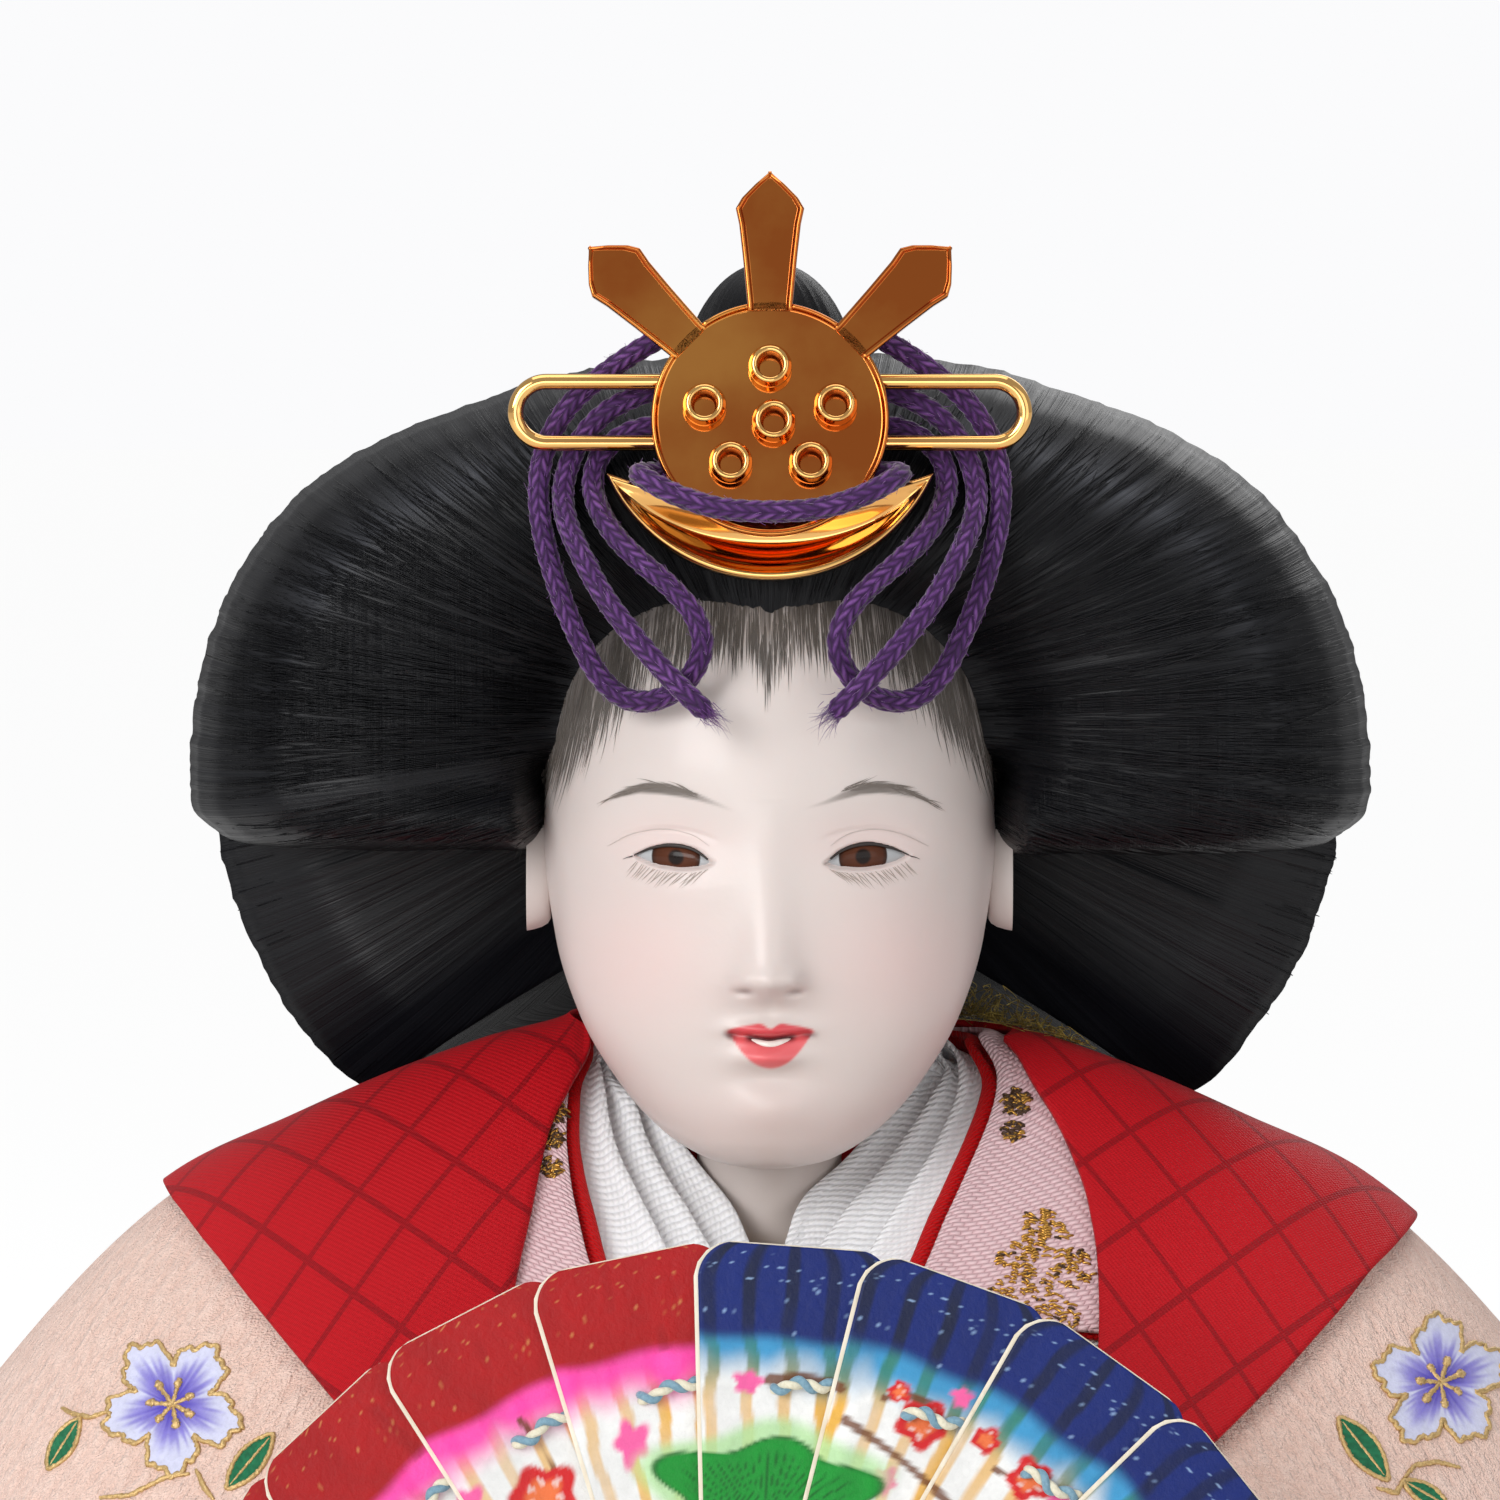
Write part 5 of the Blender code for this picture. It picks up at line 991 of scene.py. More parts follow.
def eyeFinish(label):
    # glass eye: white, brown iris with a darker rim, black pupil, under a clear coat
    finish, tree, shader = newFinish(f"eye_glass_{label}", (0.75, 0.75, 0.72), 0.22, coat=0.12)
    shader.inputs["Coat Roughness"].default_value = 0.05
    shader.inputs["Specular IOR Level"].default_value = 0.15
    centre = facePoint(*iris[label])
    place = node(tree, "Mapping", {"Vector": node(tree, "TexCoord").outputs["Object"],
                                   "Location": tuple(-centre)}).outputs[0]
    split = node(tree, "SeparateXYZ", {0: place})
    flat = node(tree, "CombineXYZ", {0: split.outputs[0], 2: split.outputs[2]}).outputs[0]
    away = node(tree, "VectorMath", {0: flat}, operation="LENGTH").outputs["Value"]
    radius = iris["radius"] * view["width"] / view["pixels"]
    share = maths(tree, "DIVIDE", away, radius)
    colour = ramp(tree, share, ((0.0, linear(22, 14, 12)), (0.26, linear(30, 18, 14)),
                                (0.36, linear(84, 45, 27)), (0.78, linear(76, 40, 24)),
                                (0.95, linear(50, 30, 22)), (1.0, linear(176, 178, 180))))
    setColour(tree, shader, colour)
    return finish


def makeEye(label):
    # a patch between the lid lines, bulged like the ball, set just under the skin
    upper, lower = lidCurves(label, 49)
    v = np.linspace(-0.12, 1.12, 17)[:, None, None]
    pixels = lower[None] * (1 - v) + upper[None] * v
    points = facePoint(pixels[..., 0], pixels[..., 1])
    base = photoPoint(pixels[..., 0], pixels[..., 1], plainFace(points[..., 0], points[..., 2]))
    u = np.linspace(0, 1, 49)[None, :]
    bulge = 0.00042 * np.sin(np.pi * u) ** 0.7 * np.sin(np.pi * np.clip(v[..., 0], 0, 1)) ** 0.8
    points = base.copy()
    points[..., 1] = base[..., 1] + 0.00095 - bulge
    quads = gridQuads(17, 49)
    if label == "left":
        quads = quads[:, ::-1]
    eye = makeMesh(f"eye_{label}_glass", points.reshape(-1, 3), quads[:, ::-1], finish=eyeFinish(label))
    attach(eye, "head_group")
    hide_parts(f"eye_{label}")


def strokeFinish(name, colour, roughness=0.5):
    # brush paint, a little thinner at places
    return mottled(name, colour, tuple(v * 0.8 for v in colour), colour, roughness, 1500.0, 2.0)


def paintStrokes(name, starts, ends, bends, widths, finish, lift=0.00005):
    # brush strokes from start to end pixels, bowed sideways, widest early and running out thin
    starts, ends = np.asarray(starts, float), np.asarray(ends, float)
    t = np.linspace(0, 1, 9)[None, :, None]
    along = ends - starts
    across = np.stack([-along[:, 1], along[:, 0]], -1)
    pixels = (starts[:, None] + along[:, None] * t
              + across[:, None] * np.asarray(bends)[:, None, None] * 4 * t * (1 - t))
    points = facePoint(pixels[..., 0], pixels[..., 1], lift)
    shape = np.sin(np.pi * np.clip(t[..., 0] * 0.82 + 0.12, 0, 1)) ** 0.8
    shape = shape * (1 - t[..., 0] ** 3)
    wide = np.asarray(widths)[:, None] * shape * view["width"] / view["pixels"] + 0.000004
    outward = np.zeros_like(points)
    outward[..., 0] = points[..., 0] / headSize["roundX"]
    outward[..., 1] = -1
    verts, quads = ribbonArrays(points, wide, outward)
    piece = makeMesh(name, verts, quads, finish=finish)
    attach(piece, "head_group")


# middle of each brow's hairs and the crease over each eye, in pixels
browLines = {"left": ((604, 803), (628, 792), (655, 786), (684, 791), (712, 800), (736, 810)),
             "right": ((806, 808), (830, 795), (860, 786), (890, 786), (918, 796), (936, 805))}
creaseLines = {"left": ((608, 846), (632, 834), (662, 829), (690, 834), (710, 846)),
               "right": ((830, 846), (848, 834), (874, 829), (902, 834), (928, 846))}


def makeFacePaintStrokes():
    # brow hairs that fan outwards from the middle line, then lids, lashes and hairline
    rng = np.random.default_rng(4)
    brow = strokeFinish("brow_paint", linear(118, 108, 100))
    lash = strokeFinish("lash_paint", skin["lash"])
    for outwards, label in bothSides:
        path = splinePoints(browLines[label], 60)
        count = 70
        at = rng.uniform(0.08, 0.72, count) if label == "left" else rng.uniform(0.28, 0.92, count)
        base = np.stack([np.interp(at * 59, np.arange(60), path[:, k]) for k in (0, 1)], -1)
        thick = 5.2 * np.sin(np.pi * np.clip(at * 0.9 + 0.06, 0, 1)) ** 0.7
        base[:, 1] += rng.normal(0, 0.24, count) * thick
        towards = np.interp(at * 59, np.arange(60), np.gradient(path[:, 1]) / np.gradient(path[:, 0]))
        length = rng.uniform(14, 24, count)
        angle = towards + rng.normal(0, 0.10, count)
        ends = base + np.stack([outwards * length, outwards * length * angle], -1)
        paintStrokes(f"brow_{label}", base, ends, rng.normal(0, 0.05, count),
                     rng.uniform(0.5, 0.9, count), brow)
        makeLidLine(label, outwards, lash, rng)
    makeHairlineStrokes(rng)


def makeLidLine(label, outwards, lash, rng):
    # dark line along the upper lid with its tail, fine strokes for the lashes, the crease above
    upper, lower = lidCurves(label, 60)
    tail = np.array([upper[0] + (outwards * 9, 3.0)])
    route = np.vstack([tail, upper[0] + (outwards * 4, 1.0), upper[::6]])
    path = splinePoints(route, 60)
    points = facePoint(path[:, 0], path[:, 1], 0.00012)
    radius = np.interp(np.linspace(0, 1, 60), [0, 0.25, 0.6, 1], [0.000012, 0.00008, 0.00017, 0.00007])
    line = makeTube(f"lid_line_{label}", points, radius, lash, 8)
    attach(line, "head_group")
    path = splinePoints(creaseLines[label], 40)
    soft = strokeFinish(f"crease_paint_{label}", linear(206, 193, 187))
    points = facePoint(path[:, 0], path[:, 1], 0.00005)
    radius = 0.000035 * np.sin(np.pi * np.linspace(0.02, 0.98, 40)) ** 0.6 + 0.000004
    crease = makeTube(f"lid_crease_{label}", points, radius, soft, 6)
    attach(crease, "head_group")
    count = 26
    at = np.linspace(0.05, 0.93, count) + rng.normal(0, 0.008, count)
    fan = (at - 0.35) * 26 * outwards
    pale = strokeFinish(f"lower_lash_paint_{label}", skin["paleLash"])
    base = np.stack([np.interp(at * 59, np.arange(60), lower[:, k]) for k in (0, 1)], -1)
    base[:, 1] += 3
    ends = base + np.stack([fan * 0.25 + 13 * outwards + rng.normal(0, 1.0, count),
                            rng.uniform(11, 17, count)], -1)
    paintStrokes(f"lower_lash_{label}", base, ends, rng.normal(0, 0.03, count), np.full(count, 0.75), pale)


def makeHairlineStrokes(rng):
    # fine black strokes that run from under the hair onto the forehead and temples
    black = strokeFinish("hairline_paint", linear(84, 77, 71), 0.6)
    count = 1500
    base = np.zeros((count, 2))
    base[:, 0] = 768 + 236 * np.clip(rng.normal(0, 0.30, count) + rng.choice((-0.72, 0, 0.72), count), -1, 1)
    side = (base[:, 0] - 768) / 230
    limit = np.interp(base[:, 0], *np.array(paintedHair, float).T)
    reach = rng.uniform(34, 92, count) * (0.7 + 0.5 * np.abs(side))
    tips = limit + rng.normal(-12, 13, count)
    base[:, 1] = tips - reach
    ends = np.stack([base[:, 0] + 0.26 * side * reach, tips], -1)
    paintStrokes("hairline_strokes", base, ends, rng.normal(0, 0.02, count) + 0.02 * side,
                 rng.uniform(0.45, 0.95, count), black, lift=0.00004)


def makeTeeth():
    # a pale bead of teeth in the parting of the lips
    finish = mottled("tooth_white", linear(235, 230, 222), linear(222, 214, 204), linear(240, 236, 230),
                     0.25, 3000.0, 2.0, coat=0.3)
    px = np.linspace(-20, 20, 41)
    path = facePoint(771 + px, mouthLine(771 + px) + 5.0 - 0.006 * px**2, 0.0)
    radius = 0.00030 * np.sqrt(np.clip(1 - (px / 20.5) ** 2, 0.001, 1))
    path[:, 1] += 0.00012
    teeth = makeTube("teeth", path, radius, finish, 10)
    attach(teeth, "head_group")


# hair: two swept wings, a topknot and the long tail, all combed strands

frontHairShares = ((-90.0, 0.290), (-60.0, 0.335), (-38.0, 0.471), (-24.0, 0.713), (-17.0, 0.992),
                   (-12.5, 1.230), (-8.0, 1.300), (0.0, 1.285), (8.0, 1.262), (17.0, 1.215),
                   (26.0, 1.155), (40.0, 1.020), (52.0, 0.925), (68.0, 0.850), (80.0, 0.812),
                   (90.0, 0.805))
backHairShares = ((-90.0, 0.800), (-70.0, 0.860), (-54.0, 1.090), (-47.0, 1.215), (-38.0, 1.262),
                  (-27.0, 1.275), (-17.0, 1.275), (-5.0, 1.245), (8.0, 1.200), (20.0, 1.130),
                  (35.0, 0.990), (52.0, 0.850), (70.0, 0.770), (90.0, 0.745))
frontSideShares = ((0.0, 0.20), (0.36, 0.24), (0.50, 0.46), (0.66, 0.56), (0.82, 0.47), (0.93, 0.20),
                   (1.0, -0.20))
frontTopShares = ((0.0, 0.62), (0.36, 0.735), (0.60, 0.69), (0.80, 0.54), (0.92, 0.26), (1.0, -0.20))
hair = {"middle": 0.170, "grown": 0.025, "lean": 0.018, "frontBack": 0.0080, "backBack": 0.0240,
        "black": (0.0026, 0.0026, 0.0038), "sheen": (0.022, 0.024, 0.029), "rough": 0.34,
        "angles": 540, "napeRadius": 0.0150, "napeTop": 0.1528, "napeFlare": 1.48,
        "uvScale": 0.03, "ridgeAt": 0.83, "ridgeWide": 0.09, "ridgeTone": (0.070, 0.073, 0.084),
        "looseFront": 1600, "looseBack": 1000, "strand": 0.00011, "crowd": 0.33, "crowdTurn": 10}


def between(tree, value):
    # the value held between 0 and 1
    return maths(tree, "MINIMUM", maths(tree, "MAXIMUM", value, 0.0), 1.0)


def hairFinish(name, ridge=False):
    # combed silk: many strand lines along the flow, in bump and in faint streaks of painted sheen over the black
    finish, tree, shader = newFinish(name, hair["black"], hair["rough"])
    fine, broad, lock = (noise(tree, clothPlace(tree, scale=(across, along, 1)), 1.0, detail, grainy)
                         for across, along, detail, grainy in ((5200, 14, 3.0, 0.7), (900, 7, 3.0, 0.6),
                                                               (160, 5, 2.0, 0.5)))
    shade = maths(tree, "MULTIPLY_ADD", fine, 0.6, maths(tree, "MULTIPLY_ADD", broad, 0.5, maths(
        tree, "MULTIPLY_ADD", lock, 0.4, -0.42)))
    # the strands lighten towards the sheen colour, a painted sheen
    colour = mixColour(tree, maths(tree, "POWER", maths(tree, "MAXIMUM", shade, 0.0), 2.4),
                       hair["black"], hair["sheen"])
    dim = 1.0
    if ridge:
        colour, dim = sweptLight(tree, colour, fine)
    setColour(tree, shader, colour)
    rough = maths(tree, "MULTIPLY_ADD", fine, 0.22, hair["rough"] - 0.10)
    tree.links.new(rough, shader.inputs["Roughness"])
    height = maths(tree, "MULTIPLY_ADD", broad, 0.9, maths(tree, "MULTIPLY_ADD", lock, 1.4, fine))
    bump(tree, shader, height, 0.00012)
    # the hollow over the shoulders stays dark: no gloss within the nape's cone
    place = node(tree, "SeparateXYZ", {0: objectPlace(tree)})
    away = maths(tree, "SQRT", maths(tree, "MULTIPLY_ADD", place.outputs[0], place.outputs[0], maths(
        tree, "MULTIPLY", place.outputs[1], place.outputs[1])))
    flare = maths(tree, "MULTIPLY_ADD", place.outputs[2], -hair["napeFlare"], napeReach(0.0, 0.0060))
    clear = between(tree, maths(tree, "DIVIDE", maths(tree, "SUBTRACT", away, flare), 0.010))
    clear = maths(tree, "MULTIPLY", clear, dim)
    shader.inputs["Specular IOR Level"].default_value = 0.2
    tree.links.new(maths(tree, "MULTIPLY_ADD", clear, 0.22, 0.008), shader.inputs["Specular IOR Level"])
    return finish


def sweptLight(tree, colour, fine):
    # the lit ridge that runs round a wing's upper half a little inside its rim, broken up by the
    # strands, and the gloss that the rim loses, most of all down the sides
    place = node(tree, "SeparateXYZ", {0: clothPlace(tree)})
    turn = maths(tree, "SINE", maths(tree, "DIVIDE", place.outputs[0], hair["uvScale"]))
    reach = maths(tree, "DIVIDE", place.outputs[1], hair["uvScale"])
    high = between(tree, maths(tree, "MULTIPLY_ADD", turn, 1.6, 0.1))

    def near(at, wide):
        # 1 at a share of the wing's reach, falling straight to 0
        off = maths(tree, "ABSOLUTE", maths(tree, "SUBTRACT", reach, at))
        return maths(tree, "MAXIMUM", maths(tree, "SUBTRACT", 1.0, maths(tree, "DIVIDE", off, wide)), 0.0)

    band = maths(tree, "POWER", near(hair["ridgeAt"], hair["ridgeWide"]), 1.4)
    lit = maths(tree, "MULTIPLY", maths(tree, "MULTIPLY", band, high), maths(tree, "MAXIMUM", maths(
        tree, "MULTIPLY_ADD", fine, 2.2, -0.5), 0.0))
    low = maths(tree, "MULTIPLY_ADD", high, -0.7, 1.0)
    dim = maths(tree, "MULTIPLY_ADD", maths(tree, "MULTIPLY", near(1.0, 0.20), low), -0.95, 1.0)
    return mixColour(tree, maths(tree, "MINIMUM", lit, 1.0), colour, hair["ridgeTone"]), dim


def hairReach(front, angle):
    # outline of a wing about its middle, a little wider on the viewer's right
    table = frontHairShares if front else backHairShares
    folded = np.degrees(np.arcsin(np.clip(np.sin(angle), -1, 1)))
    grown = 1 + hair["grown"] + hair["lean"] * np.cos(angle)
    return smoothThrough(table, folded) * headSize["width"] * grown


def wingPoint(front, angle, t, lift=0.0):
    # t runs 0 to 1 over the face of the wing out to its rim, and 1 to 2 over its domed back;
    # the front wing swells forward by shares of the head's depth, more at its top
    half = headSize["depth"] / 2
    reach = hairReach(front, angle)
    share = np.where(t <= 1, t, 2 - t)
    ahead = np.clip(share, 0, 1)
    if front:
        side = smoothThrough(frontSideShares, ahead)
        top = smoothThrough(frontTopShares, ahead)
        upward = np.clip(np.sin(angle), 0, 1) ** 2
        y = -(side + (top - side) * upward) * half
        low = ease((0.1690 - hair["middle"] - reach * share * np.sin(angle)) / 0.004)
        y = y + 0.0100 * low * ease((0.0184 - np.abs(reach * share * np.cos(angle))) / 0.003)
        rim, back = 0.2 * half, hair["frontBack"]
    else:
        y = hair["frontBack"] + 0.00064 + half * 0.18 * np.clip(ahead - 0.84, 0, 1) / 0.16
        rim, back = hair["frontBack"] + 0.00064 + half * 0.18, hair["backBack"]
    dome = rim + (back - rim) * np.sqrt(np.clip(1 - ahead**3, 0, 1))
    y = np.where(t <= 1, y, dome)
    out = reach * share
    point = np.stack([out * np.cos(angle), y + 0 * out, hair["middle"] + out * np.sin(angle)], -1)
    if np.any(lift):
        radial = np.stack([np.cos(angle), 0 * angle, np.sin(angle)], -1)
        facing = np.where(t <= 1, -1.0, 1.0)
        forward = np.stack([0 * angle, facing + 0 * angle, 0 * angle], -1)
        edge = np.clip(1 - np.abs(t - 1) / 0.22, 0, 1)[..., None]
        normal = radial * (0.25 + 0.75 * edge) + forward * (1 - edge)
        normal /= np.linalg.norm(normal, axis=-1, keepdims=True)
        point = point + normal * np.asarray(lift)[..., None]
    return point


def lockWave(angle, t, seed):
    # shallow grooves between combed locks, running with the strands
    coarse = valueNoise(angle * 9.0 + 40, t * 1.3 + 3, seed)
    fine = valueNoise(angle * 42.0 + 90, t * 2.0 + 5, seed + 1)
    thread = valueNoise(angle * 150.0 + 400, t * 3.0 + 9, seed + 2)
    return 0.00016 * coarse + 0.00010 * fine + 0.00005 * thread


def wingSteps():
    # closer together at the rim, where the surface turns
    face = 1 - np.linspace(1, 0.03 ** (1 / 1.5), 60) ** 1.5 * 0.78
    back = 1 + np.linspace(0, 1, 42)[1:] ** 1.5 * 0.97
    return np.concatenate((face, back))


def crowded(angle):
    # moves strands towards the wing's lower left and upper right, where its outline turns sharpest
    return angle - hair["crowd"] * np.sin(2 * (angle + math.radians(hair["crowdTurn"])))


def napeReach(z, room=0.0):
    # radius of the hollow's cone at a height: it widens downwards from the nape
    return hair["napeRadius"] + room + (hair["napeTop"] - z) * hair["napeFlare"]


def makeWing(front, name, finish, loose, seed):
    # rings of a wing from the parting over its rim to its back, combed by the locks' waves
    angle = np.linspace(-math.pi, math.pi, hair["angles"] + 1)[:-1]
    angle = crowded(angle)
    t = wingSteps() if front else np.concatenate((np.linspace(0.3, 1, 24), wingSteps()[60:]))
    tt, aa = np.meshgrid(t, angle, indexing="ij")
    points = wingPoint(front, aa, tt, lockWave(aa, tt, seed) - 0.00010)
    uv = np.stack([aa * hair["uvScale"], tt * hair["uvScale"]], -1).reshape(-1, 2)
    uv = np.vstack([uv, uv[0], uv[-1]])
    flat, quads = capRings(points.reshape(-1, 3), len(t), len(angle))
    ridged = hairFinish("hair_swept", ridge=True) if front else finish
    wing = makeMesh(name, flat, quads, uv, ridged)
    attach(wing, "head_group")
    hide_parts("hair_front" if front else "hair_back")
    makeLooseHair(front, f"{name}_strands", finish, loose, seed)
    return wing


def makeLooseHair(front, name, finish, count, seed):
    # single strands that follow the comb lines, a few of them lifting off at the rim
    rng = np.random.default_rng(seed)
    steps = 12
    start = rng.uniform(-math.pi, math.pi, count)
    start = crowded(start)
    drift = rng.normal(0, 0.035, count)
    begin = rng.uniform(0.34, 0.62, count) if front else rng.uniform(0.9, 1.1, count)
    end = rng.uniform(0.84, 0.985, count) if front else rng.uniform(1.35, 1.9, count)
    s = np.linspace(0, 1, steps)[None]
    t = begin[:, None] + (end - begin)[:, None] * s
    angle = start[:, None] + drift[:, None] * s**1.5
    lift = 0.00006 + 0.00011 * rng.uniform(0, 1, count)[:, None] ** 2 * np.sin(np.pi * s)
    stray = (rng.uniform(0, 1, count) < 0.045)[:, None]
    lift = lift + stray * rng.uniform(0.0003, 0.0009, count)[:, None] * np.sin(np.pi * s) ** 2
    points = wingPoint(front, angle, t, lift)
    blocked = nearShoulders(points)
    widths = hair["strand"] * np.sin(np.pi * (0.06 + 0.9 * s)) ** 0.5 + 0 * t
    points, widths = points[~blocked], widths[~blocked]
    verts, quads = hairArrays(points, widths)
    uv = np.stack([verts[:, 0], verts[:, 2]], -1)
    piece = makeMesh(name, verts, quads, uv, finish)
    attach(piece, "head_group")


def nearShoulders(points):
    # strands that would reach into the hollow of the nape or the shoulders are left out
    away = np.hypot(points[..., 0], points[..., 1])
    return np.any((points[..., 2] < hair["napeTop"]) & (away < napeReach(points[..., 2], 0.0006)), axis=1)


def cutNape(wing):
    # the cone-shaped hollow over the shoulders, pressed into the back wing
    mesh = wing.data
    points = np.empty(len(mesh.vertices) * 3, np.float32)
    mesh.vertices.foreach_get("co", points)
    points = points.reshape(-1, 3).astype(float)
    away = np.hypot(points[:, 0], points[:, 1])
    flare = napeReach(points[:, 2], 0.0002)
    inside = (points[:, 2] < hair["napeTop"]) & (away < flare)
    slope = hair["napeFlare"]
    gap = (flare - away) / (1 + slope**2)
    radial = points[:, :2] / np.maximum(away, 1e-6)[:, None]
    points[inside, :2] += radial[inside] * gap[inside, None]
    points[inside, 2] += gap[inside] * slope
    mesh.vertices.foreach_set("co", points.astype(np.float32).ravel())
    mesh.update()


def makeTopknot(finish):
    # an egg of hair bound upright, its strands running from foot to crown
    v = np.linspace(0.02, 0.985, 40)
    u = np.linspace(0, 2 * math.pi, 121)[:-1]
    vv, uu = np.meshgrid(v, u, indexing="ij")
    polar = math.pi * vv
    groove = 1 + 0.02 * valueNoise(uu * 10 + 30, vv * 2, 5) + 0.012 * valueNoise(uu * 40 + 80, vv * 3, 6)
    x = 0.00625 * np.sin(polar) * np.cos(uu) * groove
    y = 0.0060 * np.sin(polar) * np.sin(uu) * groove
    z = 0.1940 + 0.0090 * np.cos(polar)
    uv = np.stack([uu * 0.006, vv * 0.02], -1).reshape(-1, 2)
    knot = makeMesh("topknot_hair", np.stack([x, y, z], -1).reshape(-1, 3),
                    gridQuads(len(v), len(u), wrap=True), uv, finish=finish)
    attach(knot, "head_group")
    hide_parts("topknot")


tail = {"width": 0.0135, "thick": 0.0030, "end": 0.97}


def makeTail(finish):
    # a flat oval carried down the middle of the back, grooved lengthways, with a thinning end
    place = np.linspace(0.0, tail["end"], 110)
    angle = np.linspace(0, 2 * math.pi, 121)[:-1]
    base, normal = robePoint(180, place)
    wide = tail["width"] / 2 * (0.8 + 0.45 * place)
    centre = base + normal * (cloth["step"] + tail["thick"] / 2)
    aa, pp = np.meshgrid(angle, place, indexing="xy")
    groove = 1 + 0.05 * valueNoise(aa * 12 + 30, pp * 3, 8) + 0.03 * valueNoise(aa * 45 + 70, pp * 4, 9)
    thick = tail["thick"] / 2 * np.where(pp > 0.9, 1 - 0.5 * (pp - 0.9) / 0.07, 1)
    points = (centre[:, None] + np.array([1.0, 0, 0]) * (wide[:, None] * np.cos(aa) * 0.985)[..., None]
              + normal[:, None] * (thick * np.sin(aa) * groove * 0.95)[..., None])
    uv = np.stack([aa * 0.006, pp * 0.14], -1).reshape(-1, 2)
    flat, quads = capRings(points.reshape(-1, 3), len(place), len(angle))
    uv = np.vstack([uv, uv[0], uv[-1]])
    piece = makeMesh("tail_hair", flat, quads, uv, finish)
    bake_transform(piece)
    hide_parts("hair_tail")
    paper = mottled("tie_paper", linear(240, 238, 230), linear(222, 218, 206), linear(246, 244, 238), 0.75,
                    900.0, 4.0, stretch=(1, 1, 4), depth=0.00005)
    for number in (1, 2, 3):
        refinish(f"hair_tie_{number}", paper)


def makeHair():
    # both wings, the hollow in the back one, the knot and the tail
    combed = hairFinish("hair_black")
    makeWing(True, "hair_wing_front", combed, hair["looseFront"], 21)
    back = makeWing(False, "hair_wing_back", combed, hair["looseBack"], 31)
    cutNape(back)
    makeTopknot(combed)
    makeTail(combed)
    print("hair made")


# crown: a polished plate with three leaves and six cups, a dished comb and wire pins

# inside is a dark bronze painted as shade in the wells of the cups
crown = {"base": 0.184982, "lean": 12.0, "face": 0.01615, "thick": 0.0006, "disc": 0.0083,
         "rise": 0.0073, "reach": 0.0249, "width": 0.0048, "turn": 46.0, "bead": 0.00030,
         "gold": linear(240, 190, 116), "bronze": linear(222, 150, 74), "paintedReflection": linear(186, 96, 42),
         "copper": linear(206, 128, 62), "inside": linear(96, 62, 26)}
leafShares = ((0.0, 0.66), (0.35, 0.79), (0.60, 0.90), (0.72, 1.0), (0.80, 0.82), (0.90, 0.44), (1.0, 0.0))
cup = {"radius": 0.00147, "hole": 0.0009, "tall": 0.0017}
cupShares = ((0.0, 0.43), (-0.55, 0.10), (0.55, 0.10), (0.03, -0.04), (-0.33, -0.39), (0.34, -0.39))
comb = {"halfWidth": 0.0114, "tall": 0.0075, "thick": 0.0024, "face": 0.01485, "dip": 0.0020,
        "tips": 0.44, "dish": 0.0015, "rim": 0.0006}
pins = {"wire": 0.00055, "reach": 0.0178, "start": 0.0070, "tall": 0.0043, "rise": 0.0003,
        "behind": 0.0035}
crownTurn = np.array(Matrix.Rotation(math.radians(90 - crown["lean"]), 3, "X"))


def crownPlace(points, face=None, base=None):
    # from the plate's own frame (right, up the plate, towards the viewer) to the doll's
    origin = np.array([0, -(crown["face"] if face is None else face), base or crown["base"]])
    return np.asarray(points) @ crownTurn.T + origin


def giltFinish(name, patches, waves, gold, copper):
    # mirror gilding: random patches of the copper colour, which are painted reflections, pale at places, faint waves
    # in the polish
    finish, tree, shader = newFinish(name, gold, 0.10, metallic=1.0)
    broad = noise(tree, objectPlace(tree), 75.0, 2.0, 0.5)
    fine = noise(tree, objectPlace(tree), 900.0, 3.0)
    factor = ramp(tree, maths(tree, "MULTIPLY_ADD", fine, 0.10, broad), ((0.36, 0.0), (0.64, 1.0)))
    factor = maths(tree, "MULTIPLY", factor, patches)
    colour = mixColour(tree, factor, gold, copper)
    setColour(tree, shader, colour)
    tree.links.new(maths(tree, "MULTIPLY_ADD", fine, 0.08, 0.05), shader.inputs["Roughness"])
    bump(tree, shader, noise(tree, objectPlace(tree), 160.0, 1.5), waves)
    return finish


def edgeProfile(bead):
    # cross-section of a plate with a rounded bead along its edge: inwards distance and height
    step = np.array([0.0, 0.02, 0.10, 0.28, 0.5, 0.72, 0.9, 1.0]) * bead * 1.5
    rise = np.array([0.0, 0.35, 0.72, 1.0, 1.0, 0.72, 0.25, 0.0]) * bead
    return step, rise


